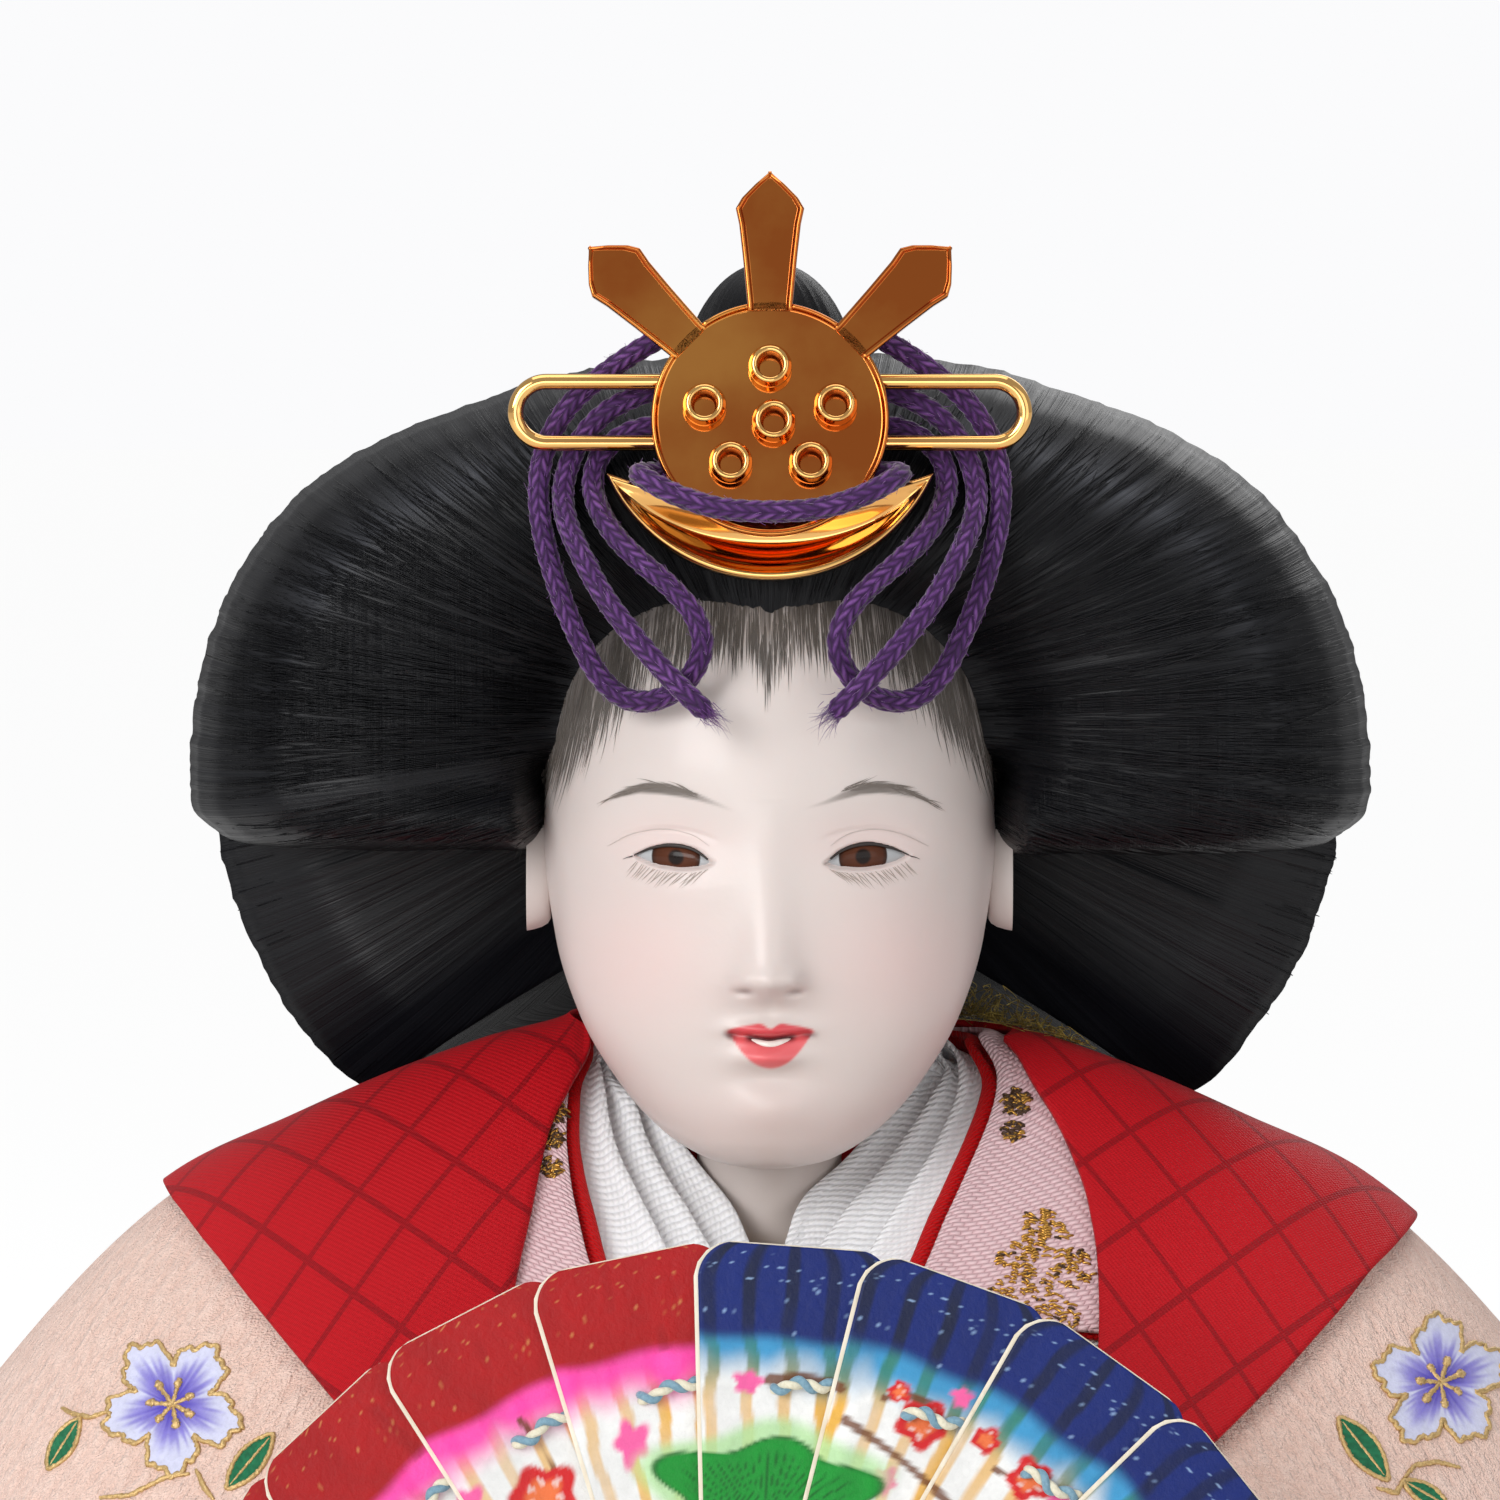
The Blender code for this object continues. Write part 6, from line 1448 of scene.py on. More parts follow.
def makeLeaf(name, turn, finish):
    # rings across the leaf, carried from inside the disc out to its pointed tip
    share = np.concatenate((np.linspace(-0.05, 0.6, 24), np.linspace(0.6, 1.0, 34)[1:]))
    half = crown["width"] / 2 * np.interp(share, *np.array(leafShares).T)
    half = np.maximum(half, 0.00012)
    low = math.sqrt(crown["disc"]**2 - (crown["width"] / 2 * leafShares[0][1]) ** 2)
    out = low + (crown["reach"] - crown["rise"] - low) * share
    step, rise = edgeProfile(crown["bead"])
    inner = (step[-1] * 1.08, step[-1] * 1.6)
    inward = np.concatenate((step, inner, [1.0], inner[::-1], step[::-1]))
    flat = np.zeros(2)
    front = crown["thick"] / 2 + np.concatenate((rise, flat, [0.0], flat, rise[::-1]))
    side = np.concatenate((-np.ones(len(step) + 2), [0], np.ones(len(step) + 2)))
    x = side[None] * np.maximum(half[:, None] - inward[None], 0)
    squeeze = np.clip(half / 0.0009, 0, 1)[:, None]
    z = crown["thick"] / 2 + (front - crown["thick"] / 2)[None] * squeeze
    back = np.stack([half, 0 * half, -half], -1) * 0.98
    x = np.hstack([x, back])
    z = np.hstack([z, np.full((len(share), 3), -crown["thick"] / 2)])
    y = np.broadcast_to(out[:, None], x.shape)
    spin = math.radians(turn)
    across, up = x * math.cos(spin) - y * math.sin(spin), x * math.sin(spin) + y * math.cos(spin)
    local = np.stack([across, up + crown["rise"], z], -1)
    count = x.shape[1]
    points, quads = capRings(crownPlace(local.reshape(-1, 3)), len(share), count)
    return makeMesh(name, points, quads, None, finish)


def latheArrays(profile, sides):
    # profile rows (radius, height) turned about the third axis, from the middle of the front
    # outwards and round to the middle of the back
    profile = np.asarray(profile, float)
    angle = np.linspace(0, 2 * math.pi, sides + 1)[:-1]
    r, h = profile[:, 0][:, None], profile[:, 1][:, None]
    points = np.stack([r * np.cos(angle), r * np.sin(angle), h + 0 * angle], -1).reshape(-1, 3)
    return points, gridQuads(len(profile), sides, wrap=True)


def makeCrown():
    # the disc is turned, its rim beaded but for three gaps where the leaves grow out; cups are turned too
    # the plate's patches of darker orange are painted reflections
    gilt = giltFinish("gilt_plate", 0.9, 0.00002, crown["bronze"], crown["paintedReflection"])
    bright = giltFinish("gilt_bright", 0.35, 0.00001, crown["gold"], crown["copper"])
    # the wells of the cups are a dark bronze, painted shade inside them, flecked with copper
    inside = mottled("gilt_inside_painted_shade", crown["inside"], crown["inside"], crown["copper"], 0.35, 1500.0,
                     metallic=1.0)
    thick, radius = crown["thick"], crown["disc"]
    step, rise = edgeProfile(crown["bead"])
    rim = [(radius - d, thick / 2 + h) for d, h in zip(step[::-1], rise[::-1])]
    profile = [(0.00001, thick / 2)] + [(radius * k, thick / 2) for k in (0.3, 0.6, 0.85, 0.93)] + rim
    profile += [(radius, -thick / 2 + 0.00005), (radius * 0.99, -thick / 2), (0.00001, -thick / 2)]
    points, quads = latheArrays(profile, 360)
    for turn in (crown["turn"], 0.0, -crown["turn"]):
        away = np.degrees(np.arctan2(-points[:, 0], points[:, 1])) - turn
        near = ease((11.5 - np.abs(away)) / 1.5) * (np.hypot(points[:, 0], points[:, 1]) > radius * 0.9)
        points[:, 2] = np.minimum(points[:, 2], thick / 2 + crown["bead"] * (1 - near))
    points = crownPlace(points + np.array([0, crown["rise"], 0]))
    disc = makeMesh("crown_disc", points, quads[:, ::-1], None, gilt)
    pieces = [disc]
    for name, turn in (("left", crown["turn"]), ("middle", 0.0), ("right", -crown["turn"])):
        pieces.append(makeLeaf(f"crown_leaf_{name}", turn, gilt))
    r, hole, tall = cup["radius"], cup["hole"], cup["tall"]
    a = np.linspace(0, math.pi, 9)
    lip = [((r * 0.90 + hole) / 2 - (r * 0.90 - hole) / 2 * math.cos(t), tall + 0.00018 * math.sin(t))
           for t in a]
    well = [(0.00001, -0.0002), (hole * 0.8, 0.0), (hole, 0.0004), (hole, tall - 0.0001)]
    profile = [(hole, tall - 0.0003)]
    profile += lip + [(r * 0.99, tall * 0.82), (r * 1.04, tall * 0.60), (r * 1.0, tall * 0.38),
                      (r * 0.86, tall * 0.22), (r * 0.84, tall * 0.10), (r * 0.95, 0.0),
                      (0.00001, -0.0001)]
    for number, (right, up) in enumerate(cupShares, 1):
        points, quads = latheArrays(profile, 48)
        middle = np.array([right * radius, crown["rise"] + up * radius, thick / 2])
        pieces.append(makeMesh(f"crown_cup_{number}", crownPlace(points + middle), quads[:, ::-1],
                                None, bright))
        points, quads = latheArrays(well, 32)
        pieces.append(makeMesh(f"crown_cup_{number}_inside", crownPlace(points + middle),
                                quads[:, ::-1], None, inside))
    for piece in pieces:
        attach(piece, "head_group")
        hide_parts("crown_plate")
    makeComb(bright)
    makePins(bright)
    refinish("crown_stem", bright)
    print("crown made")


def moonHeight(x, half, sag):
    # height of an arc that runs through the tips at zero and sags in the middle
    radius = (half**2 + sag**2) / (2 * sag)
    return radius - sag - np.sqrt(np.clip(radius**2 - x**2, 0, None))


def makeComb(finish):
    # rings across the half moon: a beaded front rim, a deep dish, and a flat back
    u = np.sin(np.linspace(-1, 1, 121) * math.pi / 2) * 0.9995
    x = comb["halfWidth"] * u
    low = moonHeight(x, comb["halfWidth"], comb["tall"])
    high = moonHeight(x, comb["halfWidth"], comb["dip"])
    v = np.concatenate(([0.0, 0.02, 0.05, 0.09, 0.13], np.linspace(0.18, 0.86, 15),
                        [0.89, 0.92, 0.95, 0.98, 1.0]))
    tall = (high - low)[:, None]
    edge = np.minimum(v, 1 - v)[None] * tall
    rim = np.clip(edge / comb["rim"], 0, 1)
    bead = 0.00022 * np.sin(np.pi * rim)
    hollow = comb["dish"] * ease((edge - comb["rim"] * 0.8) / 0.0022) * np.clip(tall / 0.004, 0, 1)
    front = comb["thick"] / 2 - 0.00018 + bead - hollow
    y = high[:, None] - tall * v[None]
    back = np.linspace(1, 0, 7)[None]
    yBack = high[:, None] - tall * (0.03 + 0.94 * back)
    zBack = -comb["thick"] / 2 + 0 * yBack
    ring = np.stack([np.broadcast_to(x[:, None], (len(x), len(v) + 7)), np.hstack([y, yBack]),
                     np.hstack([front, zBack])], -1)
    local = ring.reshape(-1, 3)
    tips = crown["base"] + crown["rise"] * comb["tips"]
    world = crownPlace(local, face=comb["face"] - comb["thick"] / 2, base=tips)
    points, quads = capRings(world, len(x), len(v) + 7)
    piece = makeMesh("comb_dish", points, quads, None, finish)
    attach(piece, "head_group")
    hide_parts("comb")


def makePins(finish):
    # a bent wire loop on each side, just behind the disc
    bend = pins["tall"] / 2
    height = crown["base"] + crown["rise"] + pins["rise"]
    plane = crown["face"] - pins["behind"]
    for side, label in bothSides:
        a = np.linspace(math.pi / 2, -math.pi / 2, 33)
        arcX = pins["reach"] - bend + bend * np.cos(a)
        straight = np.linspace(pins["start"], pins["reach"] - bend, 12)[:-1]
        x = np.concatenate((straight, arcX, straight[::-1]))
        z = height + np.concatenate((np.full(11, bend), bend * np.sin(a), np.full(11, -bend)))
        path = np.stack([side * x, np.full(len(x), -plane), z], -1)
        pin = makeTube(f"hairpin_{label}_wire", path, pins["wire"], finish, sides=24)
        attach(pin, "head_group")
        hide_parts(f"hairpin_{label}")


# cords: plaited silk, one loop on each side and one that runs round the foot of the crown

# dark is painted shade for the plait's grooves, light is a painted highlight on its stitches
cord = {"radius": 0.00075, "stitch": 0.00098, "columns": 8, "sides": 56, "row": 0.00014,
        "dark": (0.022, 0.006, 0.034), "silk": linear(72, 34, 92), "light": linear(128, 82, 150)}
loopRoute = (
    (-0.0068, -0.0108, 0.1982), (-0.0092, -0.0107, 0.1969), (-0.0118, -0.01065, 0.1951),
    (-0.0139, -0.01065, 0.1932), (-0.0153, -0.01065, 0.1911), (-0.0161, -0.0108, 0.1887),
    (-0.0162, -0.0113, 0.1858), (-0.0156, -0.0120, 0.1827), (-0.0146, -0.0127, 0.1796),
    (-0.0134, -0.0132, 0.1768), (-0.0121, -0.0137, 0.1744), (-0.0104, -0.0144, 0.1728),
    (-0.0085, -0.0152, 0.1725), (-0.0066, -0.0162, 0.1733), (-0.0052, -0.0170, 0.1749),
    (-0.0047, -0.0173, 0.1768), (-0.0054, -0.0171, 0.1788), (-0.0070, -0.0165, 0.1806),
    (-0.0089, -0.0158, 0.1822), (-0.0106, -0.0149, 0.1838), (-0.0118, -0.0134, 0.1855),
    (-0.0124, -0.0118, 0.1872), (-0.0122, -0.0108, 0.1889), (-0.0113, -0.01065, 0.1902),
    (-0.0097, -0.0107, 0.1912), (-0.0076, -0.0108, 0.1917),
)
frontRoute = (
    (-0.0042, -0.0196, 0.1718), (-0.0056, -0.0194, 0.1731), (-0.0077, -0.0187, 0.1752),
    (-0.0098, -0.0178, 0.1776), (-0.0116, -0.0168, 0.1800), (-0.0131, -0.0154, 0.1826),
    (-0.0142, -0.0134, 0.1850), (-0.0145, -0.0117, 0.1870), (-0.0141, -0.0108, 0.1889),
    (-0.0133, -0.01065, 0.1906), (-0.0118, -0.01065, 0.1923), (-0.0098, -0.0107, 0.1935),
    (-0.0074, -0.0108, 0.1941), (-0.0056, -0.0112, 0.1928), (-0.0050, -0.0119, 0.1906),
    (-0.0054, -0.0127, 0.1890), (-0.0067, -0.0133, 0.1884), (-0.0082, -0.0142, 0.1884),
    (-0.0091, -0.0157, 0.1884), (-0.0083, -0.0171, 0.1879), (-0.0065, -0.0177, 0.1870),
    (-0.0040, -0.0180, 0.1862), (-0.0016, -0.0181, 0.1859),
)


def evenPath(route, step):
    # the smooth route, read again at an even spacing
    fine = splinePoints(route, 40 * len(route))
    length = np.concatenate(([0], np.cumsum(np.linalg.norm(np.diff(fine, axis=0), axis=1))))
    at = np.linspace(0, length[-1], int(round(length[-1] / step)) + 1)
    return np.stack([np.interp(at, length, fine[:, k]) for k in range(3)], -1), float(length[-1])


def plait(around, along):
    # height of a plaited cord, 0 in the grooves and 1 on the strands: columns of slanted stitches
    # that lean left and right by turns, so that two columns together make a row of arrowheads
    column = around / (2 * math.pi) * cord["columns"]
    index = np.floor(column)
    inside = column - index
    lean = np.where(index % 2 == 0, inside, 1 - inside)
    wave = along / cord["stitch"] - lean * 1.05
    stitch = np.abs(np.sin(math.pi * wave)) ** 0.7
    seam = np.clip(np.sin(math.pi * inside) * 1.6, 0, 1) ** 0.6
    return stitch * (0.35 + 0.65 * seam), wave


def cordFinish():
    # yarns of silk that run along the plait's stitches
    finish, tree, shader = newFinish("cord_silk_plait", cord["silk"], 0.55, sheen=0.5)
    tint = pointTint(tree)
    thread = noise(tree, clothPlace(tree, scale=(12, 3200, 1)), 1.0, 3.0)
    shade = maths(tree, "MULTIPLY_ADD", thread, 0.9, 0.55)
    setColour(tree, shader, mixColour(tree, 1.0, tint, shade, blend="MULTIPLY"))
    bump(tree, shader, thread, 0.00004)
    return finish


def mixArrays(low, high, factor):
    # low * (1 - factor) + high * factor for colours
    return np.asarray(low) * (1 - factor[..., None]) + np.asarray(high) * factor[..., None]


def makeCord(name, route, finish, cadNode):
    # a tube whose radius follows the plait, .86 to 1.06 of the cord's, thin at its cut ends
    path, length = evenPath(route, cord["row"])
    sides, count = cord["sides"], len(path)
    around = np.linspace(0, 2 * math.pi, sides + 1)[:-1][None]
    along = np.linspace(0, length, count)[:, None]
    height, wave = plait(around + 0 * along, along + 0 * around)
    radius = cord["radius"] * (0.86 + 0.20 * height)
    ends = np.minimum(along, length - along)
    radius = radius * np.clip(0.55 + ends / 0.0006 * 0.45, 0, 1)
    points, quads, uv = tubeArrays(path, radius, sides)
    # painted light and shade: the grooves go to the dark colour as painted shade, and the tops of the stitches take
    # the light colour as a painted highlight
    shift = valueNoise(np.floor(wave) * 3.7 + 50, np.floor(around * cord["columns"] / 6.2832) * 5.1, 3)
    tone = np.clip(height**1.5 * (0.75 + 0.25 * shift), 0, 1)
    tint = mixArrays(cord["dark"], cord["silk"], np.clip(tone * 1.6, 0, 1))
    gloss = np.clip(tone * 1.8 - 1.0, 0, 1)[..., None]
    tint = tint + (np.asarray(cord["light"]) - np.asarray(cord["silk"])) * gloss
    tint = np.vstack([tint.reshape(-1, 3), cord["dark"], cord["dark"]])
    piece = makeMesh(name, points, quads, uv, finish, tint=tint)
    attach(piece, "head_group")
    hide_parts(cadNode)
    return path


def makeFray(name, ends, finish, rng):
    # loose threads that spread from the cut ends
    paths, widths = [], []
    for place, heading in ends:
        heading = heading / np.linalg.norm(heading)
        for _ in range(90):
            spread = rng.normal(0, 0.33, 3)
            start = place + rng.normal(0, 0.00032, 3) - heading * 0.0006
            reach = rng.uniform(0.0007, 0.0017)
            s = np.linspace(0, 1, 6)[:, None]
            curl = rng.normal(0, 0.00022, 3)
            paths.append(start + (heading + spread * s) * reach * s + curl * s**2)
            widths.append(0.00006 * (1.15 - s[:, 0]))
    points, quads = hairArrays(np.array(paths), np.array(widths))
    # the loose threads are tinted part way to the painted highlight colour
    tint = np.tile(mixArrays(cord["silk"], cord["light"], np.full(1, 0.4)), (len(points), 1))
    piece = makeMesh(name, points, quads, np.zeros((len(points), 2)), finish, tint=tint)
    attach(piece, "head_group")


def makeFuzz(name, paths, finish, rng):
    # short fibres that stand off the cords
    starts, headings = [], []
    for path in paths:
        tangent = np.gradient(path, axis=0)
        tangent /= np.linalg.norm(tangent, axis=1, keepdims=True)
        at = rng.integers(4, len(path) - 4, int(len(path) * 1.1))
        out = rng.normal(0, 1, (len(at), 3))
        out -= tangent[at] * (out * tangent[at]).sum(1, keepdims=True)
        out /= np.linalg.norm(out, axis=1, keepdims=True)
        starts.append(path[at] + out * cord["radius"] * 0.92)
        headings.append(out * 0.35 + tangent[at] * rng.choice([-1, 1], (len(at), 1)))
    starts, headings = np.vstack(starts), np.vstack(headings)
    s = np.linspace(0, 1, 4)[None, :, None]
    reach = rng.uniform(0.0002, 0.0006, (len(starts), 1, 1))
    curl = rng.normal(0, 0.0001, (len(starts), 1, 3))
    lines = starts[:, None] + headings[:, None] * reach * s + curl * s**2
    points, quads = hairArrays(lines, np.full(lines.shape[:2], 0.00003))
    # the fibres take the painted highlight colour
    tint = np.tile(np.asarray(cord["light"]), (len(points), 1))
    piece = makeMesh(name, points, quads, np.zeros((len(points), 2)), finish, tint=tint)
    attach(piece, "head_group")


def makeCords():
    # the right loop is the left one's mirror image; the front cord runs on into its own mirror image
    finish = cordFinish()
    rng = np.random.default_rng(12)
    mirrored = [(-x, y, z) for x, y, z in loopRoute]
    across = list(frontRoute) + [(-x, y, z) for x, y, z in frontRoute][::-1]
    left = makeCord("cord_loop_left", loopRoute, finish, "cord_left")
    right = makeCord("cord_loop_right", mirrored, finish, "cord_right")
    front = makeCord("cord_round_crown", across, finish, "cord_front")
    makeFray("cord_frayed_ends", ((front[0], front[0] - front[4]), (front[-1], front[-1] - front[-5])),
             finish, rng)
    makeFuzz("cord_fuzz", (left, right, front), finish, rng)
    print("cords made")


# collars: three ribbed white ones, a red rolled edge and the pink one with gold blossoms

# for each collar: how many layers it lies under the jacket, width and height of its rounded inner edge, height
# of its soft middle, the share of its width that shows, and how far it runs on under the next ones
collars = {"white_collar_1": (5, 0.0006, 0.00030, 0.00008, 0.36, 1.0),
           "white_collar_2": (4, 0.0006, 0.00030, 0.00008, 0.40, 1.0),
           "white_collar_3": (3, 0.0006, 0.00030, 0.00008, 0.42, 0.9),
           "red_collar": (2, 0.00075, 0.00055, 0.0, 0.3, 0.9),
           "pink_collar": (1, 0.0009, 0.00035, 0.00022, 0.9, 1.0)}
ribbed = {"white": linear(255, 255, 255), "shade": linear(244, 245, 249), "rib": 0.00070, "cross": 0.00040}
pinkCollar = {"pink": linear(238, 208, 211), "deep": linear(212, 166, 172), "seed": 0.00062,
              "gold": linear(214, 162, 78), "dark": linear(78, 52, 30),
              "blossoms": ((1044, 1232, 26), (1018, 1262, 24), (1072, 1268, 24), (1040, 1300, 24),
                           (1016, 1102, 15), (1013, 1131, 12), (556, 1112, 11), (553, 1140, 12),
                           (551, 1168, 11), (1062, 1318, 22), (560, 1290, 16), (1004, 1292, 14))}


# angle and place on the robe of each collar's inner edge, then of the last one's outer edge, for the
# left and the right side: at the back, beside the neck, at the jaw and on down to the lap of the fan
collarEdges = {
    -1: {"white_collar_1": ((180, -0.045), (120, -0.035), (75, -0.0138), (38, 0.0023), (18.5, 0.0405),
                            (6.5, 0.0847), (0.4, 0.150)),
         "white_collar_2": ((180, -0.020), (122, -0.018), (79, -0.0090), (41.5, 0.0124), (24, 0.0526),
                            (12.5, 0.1008), (2.5, 0.1772)),
         "white_collar_3": ((180, 0.000), (120, -0.004), (72, -0.0060), (44.5, 0.0244), (28.5, 0.0666),
                            (17, 0.1169), (7.5, 0.1892)),
         "red_collar": ((180, 0.015), (118, 0.006), (68, -0.0010), (45.5, 0.0385), (32.5, 0.0827),
                        (23.5, 0.131), (14.5, 0.2053)),
         "pink_collar": ((180, 0.025), (118, 0.015), (66, 0.0050), (45, 0.0485), (32.5, 0.0948),
                         (24.5, 0.143), (15.5, 0.2154)),
         "outer": ((180, 0.050), (118, 0.045), (66, 0.040), (47, 0.0737), (38.5, 0.1209), (32.5, 0.1772),
                   (27.5, 0.2395))},
    1: {"white_collar_1": ((180, -0.045), (120, -0.035), (75, -0.0097), (42, 0.0043), (17, 0.0465),
                           (5, 0.0847), (0.4, 0.150)),
        "white_collar_2": ((180, -0.020), (122, -0.018), (78, -0.0037), (49.5, 0.0164), (25, 0.0566),
                           (11.5, 0.1028), (1.5, 0.1712)),
        "white_collar_3": ((180, 0.000), (122, -0.002), (80, 0.0003), (50, 0.0305), (30, 0.0707),
                           (17, 0.1189), (7, 0.1892)),
        "red_collar": ((180, 0.015), (122, 0.010), (78, 0.0063), (49.5, 0.0465), (32, 0.0867),
                       (21.5, 0.131), (11.5, 0.2033)),
        "pink_collar": ((180, 0.025), (122, 0.020), (78, 0.0144), (48.5, 0.0586), (32.5, 0.0988),
                        (22.5, 0.143), (12.5, 0.2134)),
        "outer": ((180, 0.050), (122, 0.055), (78, 0.060), (60.5, 0.0800), (50, 0.1249), (41, 0.1832),
                  (33.5, 0.2475))}}
collarStations = (0.0, 0.28, 0.5, 0.625, 0.75, 0.875, 1.0)


def collarEdge(name, along):
    # angle and place of one edge at along, -1 at the left front, 0 at the back and 1 at the right front
    result = np.zeros((2,) + along.shape)
    for side in (-1, 1):
        rows = collarEdges[side][name]
        chosen = (along < 0) == (side < 0)
        for k in (0, 1):
            table = tuple((at, row[k]) for at, row in zip(collarStations, rows))
            result[k] = np.where(chosen, smoothThrough(table, np.abs(along)), result[k])
    return result


def collarPlaces(name, along, across):
    # from the collar's own inner edge to where it ends under the next ones
    names = [*collars, "outer"]
    inner = collarEdge(name, along)
    outer = collarEdge(names[min(names.index(name) + 3, 5)], along)
    theta, place = inner + (outer - inner) * across * collars[name][5]
    theta = theta * np.where(along < 0, -1, 1)
    theta = np.where(theta < 0, theta + 360, theta)
    return theta, place


def collarGrid(name, along, across):
    # the collar's surface with its rolled inner edge, and its outward normals
    theta, place = collarPlaces(name, along, across)
    layer, roll, rise, soft, shown, _ = collars[name]
    grid, normal = robePoint(theta, place, layer * cloth["step"])
    down = np.linalg.norm(np.diff(grid, axis=0), axis=2)
    depth = np.concatenate((np.zeros((1, grid.shape[1])), np.cumsum(down, axis=0)))
    wide = np.maximum(depth[-1][None] * shown, 1e-6)
    bead = np.sqrt(np.clip(1 - ((depth - roll * 0.8) / roll) ** 2, 0, 1)) * rise
    middle = soft * np.sin(math.pi * np.clip(depth / wide, 0, 1)) ** 0.8
    lift = np.maximum(bead, middle * (depth > roll * 0.8))
    return grid + normal * lift[..., None], normal


def ribbedFinish():
    # ribs across the collar with a finer crossing thread, as in gauze
    finish, tree, shader = newFinish("collar_gauze", ribbed["white"], 0.55, sheen=0.25)
    split = node(tree, "SeparateXYZ", {0: clothPlace(tree)})
    k = 2 * math.pi
    lean = maths(tree, "MULTIPLY_ADD", split.outputs[1], 0.35, split.outputs[0])
    rib = maths(tree, "MULTIPLY_ADD", maths(tree, "SINE", maths(tree, "MULTIPLY", lean, k / ribbed["rib"])),
                0.5, 0.5)
    rib = maths(tree, "POWER", rib, 0.7)
    cross = maths(tree, "SINE", maths(tree, "MULTIPLY_ADD", split.outputs[1], k / ribbed["cross"],
                                      maths(tree, "MULTIPLY", lean, k / ribbed["rib"] * 0.5)))
    cross = maths(tree, "MULTIPLY_ADD", cross, 0.20, 0.80)
    height = maths(tree, "MULTIPLY", rib, cross)
    worn = noise(tree, clothPlace(tree), 1600.0, 2.0)
    # the grooves between the ribs take the darker shade colour as painted shade, and the rib tops are white; a little
    # wear noise is mixed in
    setColour(tree, shader, mixColour(tree, maths(tree, "MULTIPLY_ADD", height, 0.85, maths(
        tree, "MULTIPLY", worn, 0.2)), ribbed["shade"], ribbed["white"]))
    bump(tree, shader, height, 0.00011)
    return finish


def seedFinish(name, colour, deep, pitch, depth):
    # basket weave: rows of seed-like floats, every other row shifted by half a float
    finish, tree, shader = newFinish(name, colour, 0.55, sheen=0.07)
    split = node(tree, "SeparateXYZ", {0: clothPlace(tree)})
    row = maths(tree, "MULTIPLY", split.outputs[0], 1 / (pitch * 0.72))
    shift = maths(tree, "MULTIPLY", maths(tree, "FLOOR", row), 0.5)
    place = maths(tree, "MULTIPLY_ADD", split.outputs[1], 1 / (pitch * 1.25), shift)
    a = maths(tree, "SINE", maths(tree, "MULTIPLY", maths(tree, "FRACT", row), math.pi))
    b = maths(tree, "SINE", maths(tree, "MULTIPLY", maths(tree, "FRACT", place), math.pi))
    seed = maths(tree, "POWER", maths(tree, "MULTIPLY", a, b), 0.6)
    worn = noise(tree, clothPlace(tree), 1500.0, 3.0)
    shade = maths(tree, "MULTIPLY_ADD", seed, 0.8, maths(tree, "MULTIPLY", worn, 0.3))
    setColour(tree, shader, mixColour(tree, shade, deep, colour))
    bump(tree, shader, seed, depth)
    return finish


def photoPixel(points):
    # where the camera shows points, in pixels of the frame
    away, up, eye = cameraAxes()
    gap = np.asarray(points) - eye
    scale = -(gap @ away) * view["width"] / view["pixels"] / view["distance"]
    return 750 + gap[..., 0] / scale, 750 - (gap @ up) / scale


def blossomReach(turn, size, seed):
    # outline of a five-petalled cherry blossom, each petal notched at its tip
    petal = np.abs(np.cos(2.5 * turn + seed))
    notch = 0.22 * np.exp(-((np.cos(2.5 * turn + seed) ** 2 - 1) / 0.10) ** 2)
    return size * (0.42 + 0.62 * petal**0.8 - notch)


def makeBlossomStitches():
    # short gold and dark stitches on the pink collar, wherever a blossom's petals lie
    along, across = np.linspace(-1, 1, 560)[None], np.linspace(0.03, 0.97, 34)[:, None]
    along = along + 0 * across
    along = along + (np.arange(34)[:, None] % 2) * (along[0, 1] - along[0, 0]) / 2
    grid, normal = collarGrid("pink_collar", np.clip(along, -1, 1), across)
    px, py = photoPixel(grid)
    facing = normal[..., 1] < -0.1
    rng = np.random.default_rng(8)
    for tone, colour, rough in (("gold", pinkCollar["gold"], 0.28), ("dark", pinkCollar["dark"], 0.45)):
        chosen = np.zeros(px.shape, bool)
        for number, (cx, cy, size) in enumerate(pinkCollar["blossoms"]):
            away = np.hypot(px - cx, py - cy)
            turn = np.arctan2(py - cy, px - cx)
            share = away / blossomReach(turn, size, number)
            ring = (share < 1) & ((share > 0.62) | (share < 0.30) | (np.abs(np.sin(2.5 * turn)) > 0.86))
            chosen |= ring
        lot = rng.uniform(0, 1, px.shape)
        limit = np.where(px < 800, 0.45, np.where(py < 1180, 0.40, 0.82))
        chosen &= facing & ((lot < limit) if tone == "gold" else (lot >= limit) & (lot < 0.96))
        starts, out = grid[chosen], normal[chosen]
        spread = np.roll(grid, -1, axis=0) - grid
        heading = spread[chosen]
        heading /= np.linalg.norm(heading, axis=1, keepdims=True) + 1e-9
        heading += rng.normal(0, 0.25, heading.shape)
        s = np.linspace(-0.5, 0.5, 5)[None, :, None]
        reach = rng.uniform(0.00036, 0.00062, (len(starts), 1, 1))
        arch = out[:, None] * (0.00010 - 0.00050 * s**2)
        lines = starts[:, None] + heading[:, None] * reach * s + arch
        widths = np.full(lines.shape[:2], 0.00021)
        points, quads = hairArrays(lines, widths, sides=5)
        finish = mottled(f"collar_thread_{tone}", colour, tuple(c * 0.55 for c in colour), colour, rough,
                         2400.0, 2.0, metallic=0.9 if tone == "gold" else 0.3)
        piece = makeMesh(f"collar_blossoms_{tone}", points, quads, np.zeros((len(points), 2)), finish)
        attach(piece, "figure")


